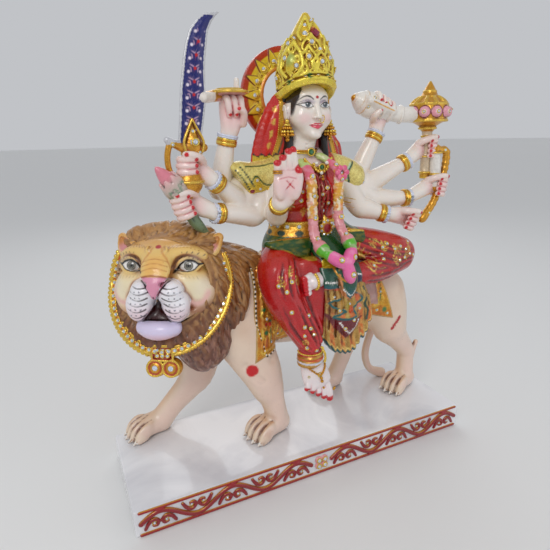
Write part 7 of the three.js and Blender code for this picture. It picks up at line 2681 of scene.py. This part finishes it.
def bow():
    clay = Clay((158, -24, 216), (207, 10, 310), mm("limb_grain"))
    clay.tube(BOW_ARC, up=Y, blend=1.5)
    clay.tube([[183, -6, 304, 6.5, 6], [184, -7, 286, 6.6, 6.2], [185, -8, 262, 6.3, 6]], up=Y, blend=1.5)
    clay.tube([[176, -8, 234, 3.4], [170, -8, 226, 5.2], [167, -8, 224, 3]], blend=1.5)
    for z in (300, 276):
        ring = [[184 + 6.9 * math.cos(a), -7 + 6.7 * math.sin(a), z, 1.3]
                for a in np.linspace(0, 2 * math.pi, 15)]
        clay.tube(ring, blend=0.6, steps=1)
    line = spline([r[:3] for r in BOW_ARC], 8)
    for at in spaced(line, 6)[1:]:
        clay.ball(at, 4.6, blend=0.8)

    def brush(clay, points, normals):
        x, y, z = points.T
        paint = gold_brush()(clay, points, normals)
        pillar = (np.hypot(x - 184, y + 7) < 7.4) & (z < 299) & (z > 262) & (np.abs(z - 276) > 1.5)
        paint.wash(pillar * 1.0, "marble")
        return paint

    piece = Piece("bow")
    piece.cast(clay, "gold", brush)
    piece.glue(clay, [line[3] + (0, -8, 0), line[24] + (0, -8, 0), line[38] + (0, -8, 0)], 1.7)
    return piece.build()


PENDANT_DROP = -76
PENDANT_SIDES = (-6.5, 8.5)


def collar():
    head = lion_head_place()
    clay = Clay((-70, -26, -96), (70, 34, 44), 0.85, head)
    around = collar_line()
    clay.tube(np.column_stack([around, np.full(len(around), 3.6), np.full(len(around), 5.0)]), up=Y,
              blend=0.5, steps=1)
    for out in (-3.6, 3.6):
        edge = collar_line(out=out, forward=3.6)
        clay.tube(np.column_stack([edge, np.full(len(edge), 1.3)]), blend=0.8, steps=1)
    clay.tube([[0, 15, -54, 9.5, 5.5], [0, 16, PENDANT_DROP + 7, 10.5, 5.5]], up=Y, blend=1, ends=0.2)
    for x in (-9.5, 10.5):
        clay.tube([[x * 0.9, 21, -55, 1.2], [x, 21.5, -70, 1.2]], blend=0.6)
    clay.tube([[-9, 21, -55, 1.2], [9.5, 21, -55, 1.2]], blend=0.6)
    clay.tube([[-9.5, 21.5, -69, 1.2], [10.5, 21.5, -69, 1.2]], blend=0.6)
    for x in PENDANT_SIDES:
        clay.ball((x, 15, PENDANT_DROP), (9.4, 8, 9.4), blend=0.8)
        ring = [[x + 7.6 * math.cos(a), 21.4, PENDANT_DROP + 7.6 * math.sin(a), 1.2]
                for a in np.linspace(0, 2 * math.pi, 19)]
        clay.tube(ring, blend=0.5, steps=1)
        clay.ball((x, 26.5, PENDANT_DROP), (4.6, 4.2, 4.6), cut=True, blend=0.4)

    def brush(clay, points, normals):
        paint = gold_brush()(clay, points, normals)
        x, y, z = points.T
        paint.stroke(collar_line(forward=5), 1.5, (0.76, 0.16, 0.06), soft=0.4)
        plate = (np.abs(x) < 8.6) & (z < -56.5) & (z > -68) & (y > 15)
        paint.wash(plate * 1.0, (0.62, 0.09, 0.06))
        for lobe in PENDANT_SIDES:
            reach = np.hypot(x - lobe, z - PENDANT_DROP)
            paint.wash((np.abs(reach - 5.6) < 0.9) * (y > 16) * 0.9, (0.72, 0.20, 0.10))
        return paint

    piece = Piece("lion_collar")
    piece.cast(clay, "gold", brush)
    piece.beads(head(spaced(collar_line(start=-96, out=5.2, forward=1), 4.6)), 2.5, colour="pale_gold")
    piece.beads(head(spaced(collar_line(end=-96, out=4.4, forward=2), 3.2)), 1.6, colour="gold")
    piece.beads(head(spaced(collar_line(out=-4.6, forward=2.4), 2.6)), 1.2, colour="pale_gold")
    piece.glue(clay, spaced(collar_line(start=20, end=-200, forward=8), 6.4), 2.0)
    piece.glue(clay, [(x, 24, z) for x in (-4.5, 0.5, 5.5) for z in (-59.5, -65)], 1.7)
    for x in PENDANT_SIDES:
        ring = [(x + 7.6 * math.cos(a), 40, PENDANT_DROP + 7.6 * math.sin(a))
                for a in np.arange(10) * math.pi / 5]
        piece.beads(head(clay.meet(ring, -Y)), 0.9, colour="pale_gold")
    return piece.build()


SADDLE_HEM = ((-47, 206), (-50, 165), (-54, 130), (-57, 98), (-45, 103), (-30, 107), (-13, 110), (8, 116),
              (36, 125), (60, 122), (91, 119), (126, 111), (119, 136), (111, 164))
SADDLE_INNER = ((-41, 200), (-43, 165), (-46, 132), (-49, 108), (-42, 110), (-29, 114), (-13, 117),
                (8, 123), (36, 133), (60, 130), (86, 131), (104, 130), (102, 158))
REAR_PANEL = ((85, 161), (102.5, 157), (104, 132), (86, 134.5))


def saddle_cloth():
    clay = Clay((-62, -34, 90), (136, 70, 212), 1.05)
    flank(clay, 2.4)
    outline = SADDLE_HEM + ((100, 178),)
    clay.keep((-62, -34, 90), (136, 70, 212), lambda x, y, z: inside_outline(x, z, outline), blend=0.8)
    clay.keep((-62, -34, 90), (136, 70, 212),
              lambda x, y, z: np.where((x < -22) | (x > 90), 0.8 * (y - 22), -FAR), blend=0.5)

    def along(rows):
        line = clay.front(spaced(np.array([(x, 0, z) for x, z in spline(rows, 6)]), 2.0)[:, (0, 2)])
        return line[line[:, 1] > -60]

    hem, inner, frame = along(SADDLE_HEM), along(SADDLE_INNER), along(REAR_PANEL + REAR_PANEL[:1])
    for line, thick in ((hem, 1.7), (inner, 1.3), (frame, 1.2)):
        clay.tube(np.column_stack([line, np.full(len(line), thick)]), blend=0.8, steps=1)
    # Raised strokes of the embroidery, standing side by side along the hem.
    random = np.random.default_rng(5)
    spots = []
    for k in range(27):
        x = -45 + 6.0 * k
        low = float(read_off(x, SADDLE_INNER[3:12]))
        rows = clay.front([(x + random.uniform(-1, 1), low + 2.5), (x + 1.5, low + 9), (x + 3.0, low + 16),
                           (x + 3.5, low + 22)])
        if x < 80 and np.all(rows[:, 1] > -60):
            clay.tube(np.column_stack([rows, (1.0, 1.5, 1.3, 0.7)]), blend=0.8, steps=2)
        spots.append((x + 3.0, low + 5.5, k))
    for k in range(6):
        for high in range(122, 200, 9):
            x = -47 + 7 * k + 1.5 * (high % 2) + 0.05 * (high - 120)
            rows = clay.front([(x, high), (x + 2.6, high + 3), (x + 0.4, high + 6), (x + 3.0, high + 9)])
            if np.all(rows[:, 1] > -60):
                clay.tube(np.column_stack([rows, (0.8, 1.3, 1.3, 0.7)]), blend=0.8, steps=2)
    for k in range(12):
        x, z = 107 + 0.4 * (k % 3), 120 + 3.4 * k
        rows = clay.front([(x, z), (x + 2.4, z + 1.5), (x + 4.4, z - 0.6)])
        if np.all(rows[:, 1] > -60):
            clay.tube(np.column_stack([rows, (0.7, 1.2, 0.7)]), blend=0.8, steps=2)

    def brush(clay, points, normals):
        x, y, z = points.T
        paint = gold_brush()(clay, points, normals)
        paint.wash(0.50 * ramp(-0.3, 0.7, waves(points, 16, 9)), (0.78, 0.32, 0.10), gold=0.4)
        for at, low, k in spots:
            paint.spot(clay.front([(at, low + 22)])[0], 2.4,
                       (0.10, 0.42, 0.22) if k % 2 else (0.74, 0.08, 0.08), soft=0.3)
            line = clay.front([(at - 1.5, low), (at, low + 8), (at + 0.5, low + 15)])
            if k % 3 < 2:
                paint.stroke(line, 1.6, (0.14, 0.46, 0.26) if k % 3 else (0.78, 0.16, 0.08), soft=0.5)
        for k in range(10):
            at = (-42 + 5.5 * (k % 3), 128 + 8 * k)
            paint.spot(clay.front([at])[0], 2.6, ((0.12, 0.44, 0.24), (0.80, 0.20, 0.10),
                                                  (0.88, 0.42, 0.12))[k % 3], soft=0.4)
        panel = (inside_outline(x, z, REAR_PANEL) < 0) & (y < 8)
        paint.wash(panel * 1.0, (0.80, 0.62, 0.58))
        paint.wash(panel * 0.4 * ramp(0.0, 0.8, waves(points, 9, 3)), (0.92, 0.82, 0.80))
        low_band = (x > 80) & (y < 10) & (z < 128 - 0.2 * (x - 90))
        paint.wash(low_band * 0.7, (0.84, 0.46, 0.20), gold=0.4)
        paint.spot(clay.front([(113, 124)])[0], (2.8, 6, 3.4), (0.30, 0.50, 0.26), soft=0.3)
        paint.wash((inside_outline(x, z, outline) > -1.6) * 1.0, (0.80, 0.66, 0.42), gold=0.4)
        return paint

    piece = Piece("saddle_cloth")
    piece.cast(clay, "gold", brush)
    edge = spaced(hem[hem[:, 0] < 80], 2.5) + (0, -1.2, 0)
    piece.beads(edge[::2], 1.15, look="enamel", colour="ink", gilt=0)
    piece.beads(edge[1::2], 1.15, look="enamel", colour="marble", gilt=0)
    glued = [(x, low) for x, low, k in spots if k % 2 and x < 80]
    glued += [(-40, 142), (-30, 156), (-40, 172), (-28, 184), (-38, 192), (104, 124), (108, 146),
              (117, 119), (94, 125), (109, 160)]
    on = clay.front(glued)
    piece.glue(clay, on[on[:, 1] > -60], 1.9)
    return piece.build()


def plinth():
    """The slab, modelled from a box with rounded edges."""
    size = sizes()
    long, deep, high = size.plinth_length, size.plinth_depth, size.plinth_height
    clear_selection()
    bpy.ops.mesh.primitive_cube_add(size=1, location=(0, 0, high / 2))
    slab = bpy.context.active_object
    slab.name = "plinth"
    slab.scale = (long, deep, high)
    bpy.ops.object.transform_apply(location=True, rotation=False, scale=True)
    bpy.ops.object.mode_set(mode="EDIT")
    bpy.ops.mesh.select_all(action="SELECT")
    bpy.ops.mesh.subdivide(number_cuts=11)
    bpy.ops.object.mode_set(mode="OBJECT")
    soften = slab.modifiers.new("soft edges", "BEVEL")
    soften.width = 1.6 * MM
    soften.segments = 4
    soften.limit_method = "ANGLE"
    bpy.ops.object.modifier_apply(modifier=soften.name)
    bpy.ops.object.shade_smooth_by_angle(angle=math.radians(32))
    slab.data.materials.append(look_of("slab"))
    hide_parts("carved_statue")
    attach(slab, "root")
    return slab


FRONT = -64.0
BORDER_START, BORDER_END, HALF_WAVES = 12.5, 189.5, 5


def wave_at(side, share, rise=0.0):
    """A point on the running wave of the border, its middle 14 mm above the underside."""
    x = side * (BORDER_START + (BORDER_END - BORDER_START) * share)
    return x, 14 + 8.3 * math.sin(math.pi * HALF_WAVES * share) + rise


def border():
    clay = Clay((-196, -67.5, -28.6), (196, -60, 0.6), 0.8)
    span = (BORDER_END - BORDER_START) / HALF_WAVES
    base = FRONT - 0.3
    for z in (-26.2, -2.0):
        clay.tube([[-190, base, z, 1.5], [190, base, z, 1.5]], blend=0.5, steps=1)
    curls = []
    for side in SIDES:
        rows = []
        for k in range(60):
            x, z = wave_at(side, k / 59)
            rows.append([x, base - 0.1, z - 28, 2.4])
        clay.tube(rows, blend=0.5, steps=1)
        for k in range(HALF_WAVES):
            up = 1 if k % 2 == 0 else -1
            left = BORDER_START + span * k
            for mirror in SIDES:
                mid = left + span / 2
                table = [(mid + mirror * span * 0.40, 14 - up * 7.2),
                         (mid + mirror * span * 0.30, 14 - up * 1.5),
                         (mid + mirror * span * 0.16, 14 + up * 1.2),
                         (mid + mirror * span * 0.05, 14 - up * 2.0),
                         (mid + mirror * span * 0.10, 14 - up * 6.0),
                         (mid + mirror * span * 0.20, 14 - up * 5.6)]
                rows = [[side * x, base - 0.3, z - 28, t]
                        for (x, z), t in zip(table, (1.6, 1.9, 1.9, 1.7, 1.6, 1.2))]
                clay.tube(rows, blend=0.5)
                curls.append((side * (mid + mirror * span * 0.16), 14 - up * 3.6))
    for a in (45, 135, 225, 315):
        turn = math.radians(a)
        clay.ball((5 * math.cos(turn), base, -14 + 5 * math.sin(turn)), (4.2, 2.2, 4.2), blend=0.4)

    def brush(clay, points, normals):
        x, y, z = points.T
        paint = Paint(points, normals, (0.56, 0.06, 0.10))
        crest = ramp(0.6, 0.9, normals[:, 2]) * ramp(-64.0, -64.8, y)
        paint.wash(0.9 * crest, "gold", gold=0.8)
        rails = (z > -4.2) | (z < -24.2)
        paint.wash(rails * 1.0, (0.62, 0.08, 0.10))
        paint.wash(rails * ramp(0.75, 0.95, normals[:, 2]) * 0.9, "gold", gold=0.85)
        middle = np.hypot(x, z + 14) < 10.5
        paint.wash(middle * 1.0, (0.90, 0.62, 0.62))
        return paint

    piece = Piece("border")
    piece.cast(clay, "enamel", brush)
    flower = [(5 * math.cos(math.radians(a)), -14 + 5 * math.sin(math.radians(a)))
              for a in (45, 135, 225, 315)]
    piece.glue(clay, clay.front(flower, y=-67.4), 2.4)
    for x, z in curls:
        piece.stones([(x, FRONT - 0.2, z - 28)], [-Y], 1.8)
    return piece.build()


CAMERA_AT = (-0.21703, -0.42453, 0.34759)
CAMERA_BEARING, CAMERA_DROP, CAMERA_ROLL = 24.885, 16.491, -1.247
CAMERA_LENS, CAMERA_SENSOR = 30.22, 36.0


def lamp(name, at, size, power, colour):
    data = bpy.data.lights.new(name, "AREA")
    data.size = size
    data.energy = power
    data.color = colour
    made = bpy.data.objects.new(name, data)
    bpy.context.scene.collection.objects.link(made)
    made.location = at
    made.rotation_euler = (Vector((0, 0, 0.2)) - Vector(at)).to_track_quat("-Z", "Y").to_euler()
    return made


def studio():
    scene = bpy.context.scene
    data = bpy.data.cameras.new("camera")
    data.lens = CAMERA_LENS
    data.sensor_width = CAMERA_SENSOR
    camera = bpy.data.objects.new("camera", data)
    scene.collection.objects.link(camera)
    bearing, drop, roll = (math.radians(v) for v in (CAMERA_BEARING, CAMERA_DROP, CAMERA_ROLL))
    forward = np.array((math.sin(bearing) * math.cos(drop), math.cos(bearing) * math.cos(drop),
                        -math.sin(drop)))
    right = np.array((math.cos(bearing), -math.sin(bearing), 0))
    up = np.cross(right, forward)
    across = right * math.cos(roll) + up * math.sin(roll)
    upright = up * math.cos(roll) - right * math.sin(roll)
    place = np.eye(4)
    place[:3, 0], place[:3, 1], place[:3, 2], place[:3, 3] = across, upright, -forward, CAMERA_AT
    camera.matrix_world = Matrix(place.tolist())
    scene.camera = camera
    scene.view_settings.view_transform = "Standard"
    clear_selection()
    bpy.ops.mesh.primitive_plane_add(size=60.0)
    floor = bpy.context.active_object
    floor.name = "floor"
    material, tree, surface = shader("pale floor")
    noise = tree.nodes.new("ShaderNodeTexNoise")
    noise.inputs["Scale"].default_value = 3.0
    tint_ramp = tree.nodes.new("ShaderNodeValToRGB")
    tint_ramp.color_ramp.elements[0].color = (0.80, 0.80, 0.79, 1)
    tint_ramp.color_ramp.elements[1].color = (0.83, 0.83, 0.82, 1)
    tree.links.new(noise.outputs["Fac"], tint_ramp.inputs["Fac"])
    tree.links.new(tint_ramp.outputs["Color"], surface.inputs["Base Color"])
    surface.inputs["Roughness"].default_value = 0.7
    floor.data.materials.append(material)
    world = bpy.data.worlds.new("studio")
    scene.world = world
    world.use_nodes = True
    world.node_tree.nodes["Background"].inputs["Color"].default_value = (0.86, 0.88, 0.92, 1)
    world.node_tree.nodes["Background"].inputs["Strength"].default_value = 0.62
    lamp("key", (-0.75, -0.85, 1.15), 0.6, 6.5, (1.0, 0.98, 0.95))
    lamp("fill", (0.9, -1.0, 0.5), 1.0, 1.6, (0.93, 0.96, 1.0))
    lamp("back", (0.4, 1.1, 1.0), 0.8, 2.5, (1.0, 1.0, 1.0))


def glued_stones():
    """Materials for the six larger stones, whose solids stay as they are."""
    for name, look in (("crown_stone", "ruby stone"), ("belt_stone", "ruby stone"),
                       ("pommel_stone", "ruby stone"), ("hilt_stone", "clear stone"),
                       ("pendant_stone_left", "clear stone"), ("pendant_stone_right", "clear stone")):
        for slot in bpy.data.objects[name].material_slots:
            slot.material = look_of(look)


class STATUE_OT_stage(bpy.types.Operator):
    """Camera, lights, world and the plain pale floor"""
    bl_idname = "statue.stage"
    bl_label = "Studio"

    def execute(self, context):
        studio()
        return {"FINISHED"}


class STATUE_OT_plinth(bpy.types.Operator):
    """The marble slab and the painted scrollwork on its front"""
    bl_idname = "statue.plinth"
    bl_label = "Plinth and border"

    def execute(self, context):
        plinth()
        border()
        return {"FINISHED"}


class STATUE_OT_lion_body(bpy.types.Operator):
    """Body, legs, paws and tail of the walking lion"""
    bl_idname = "statue.lion_body"
    bl_label = "Lion's body"

    def execute(self, context):
        lion_body()
        return {"FINISHED"}


class STATUE_OT_lion_head(bpy.types.Operator):
    """The painted face, ears and muzzle"""
    bl_idname = "statue.lion_head"
    bl_label = "Lion's head"

    def execute(self, context):
        lion_head()
        return {"FINISHED"}


class STATUE_OT_lion_mane(bpy.types.Operator):
    """The mane's carved locks"""
    bl_idname = "statue.lion_mane"
    bl_label = "Lion's mane"

    def execute(self, context):
        mane()
        return {"FINISHED"}


class STATUE_OT_lion_dress(bpy.types.Operator):
    """The lion's gold collar with its pendant, and the saddle cloth"""
    bl_idname = "statue.lion_dress"
    bl_label = "Collar and saddle cloth"

    def execute(self, context):
        collar()
        saddle_cloth()
        return {"FINISHED"}


class STATUE_OT_goddess(bpy.types.Operator):
    """The goddess's face, hair, veil and jewellery"""
    bl_idname = "statue.goddess"
    bl_label = "Face, hair and veil"

    def execute(self, context):
        goddess_face()
        hair()
        veil()
        jewellery()
        return {"FINISHED"}


class STATUE_OT_arms(bpy.types.Operator):
    """The eight arms with bangles and painted nails"""
    bl_idname = "statue.arms"
    bl_label = "Arms"

    def execute(self, context):
        right_arms()
        left_arms()
        return {"FINISHED"}


class STATUE_OT_blouse(bpy.types.Operator):
    """The blouse with its gold sleeves, and the belt"""
    bl_idname = "statue.blouse"
    bl_label = "Blouse and belt"

    def execute(self, context):
        blouse()
        belt()
        return {"FINISHED"}


class STATUE_OT_skirt(bpy.types.Operator):
    """The red skirt, the layered apron and the bare feet"""
    bl_idname = "statue.skirt"
    bl_label = "Skirt, apron and feet"

    def execute(self, context):
        skirt()
        apron()
        feet()
        return {"FINISHED"}


class STATUE_OT_garland(bpy.types.Operator):
    """Two strands of flowers that meet over the lap"""
    bl_idname = "statue.garland"
    bl_label = "Garland"

    def execute(self, context):
        garland()
        return {"FINISHED"}


class STATUE_OT_crown(bpy.types.Operator):
    """The tiered gold crown and the ring of leaves behind it"""
    bl_idname = "statue.crown"
    bl_label = "Crown and halo"

    def execute(self, context):
        crown()
        halo()
        return {"FINISHED"}


class STATUE_OT_right_attributes(bpy.types.Operator):
    """What the right hands hold"""
    bl_idname = "statue.right_attributes"
    bl_label = "Sword, disc and lotus"

    def execute(self, context):
        sword()
        disc()
        lotus()
        return {"FINISHED"}


class STATUE_OT_left_attributes(bpy.types.Operator):
    """What the left hands hold"""
    bl_idname = "statue.left_attributes"
    bl_label = "Conch, mace and bow"

    def execute(self, context):
        conch()
        mace()
        bow()
        return {"FINISHED"}


class STATUE_OT_glued_stones(bpy.types.Operator):
    """Glass for the six larger stones"""
    bl_idname = "statue.glued_stones"
    bl_label = "Glued stones"

    def execute(self, context):
        glued_stones()
        return {"FINISHED"}


STEPS = (
    STATUE_OT_stage, STATUE_OT_plinth, STATUE_OT_lion_body, STATUE_OT_lion_head,
    STATUE_OT_lion_mane, STATUE_OT_lion_dress, STATUE_OT_goddess, STATUE_OT_arms, STATUE_OT_blouse,
    STATUE_OT_skirt, STATUE_OT_garland, STATUE_OT_crown, STATUE_OT_right_attributes,
    STATUE_OT_left_attributes, STATUE_OT_glued_stones,
)


class STATUE_PT_sidebar(bpy.types.Panel):
    """Lists the statue's pieces, its colours and its sizes."""
    bl_idname = "STATUE_PT_sidebar"
    bl_label = "Painted Statue"
    bl_space_type = "VIEW_3D"
    bl_region_type = "UI"
    bl_category = "Statue"

    def draw(self, context):
        layout = self.layout
        for kind in STEPS:
            layout.operator(kind.bl_idname, text=kind.bl_label)
        for group in (context.scene.statue_colours, context.scene.statue_sizes):
            box = layout.box()
            for name in group.bl_rna.properties.keys():
                if name not in ("rna_type", "name"):
                    box.prop(group, name)


CLASSES = (StatueColours, StatueSizes) + STEPS + (STATUE_PT_sidebar,)


def register():
    for kind in CLASSES:
        bpy.utils.register_class(kind)
    bpy.types.Scene.statue_colours = PointerProperty(type=StatueColours)
    bpy.types.Scene.statue_sizes = PointerProperty(type=StatueSizes)


def unregister():
    del bpy.types.Scene.statue_colours
    del bpy.types.Scene.statue_sizes
    for kind in reversed(CLASSES):
        bpy.utils.unregister_class(kind)


def main():
    register()
    for kind in STEPS:
        getattr(bpy.ops.statue, kind.bl_idname.split(".")[1])()


if __name__ == "__main__":
    main()
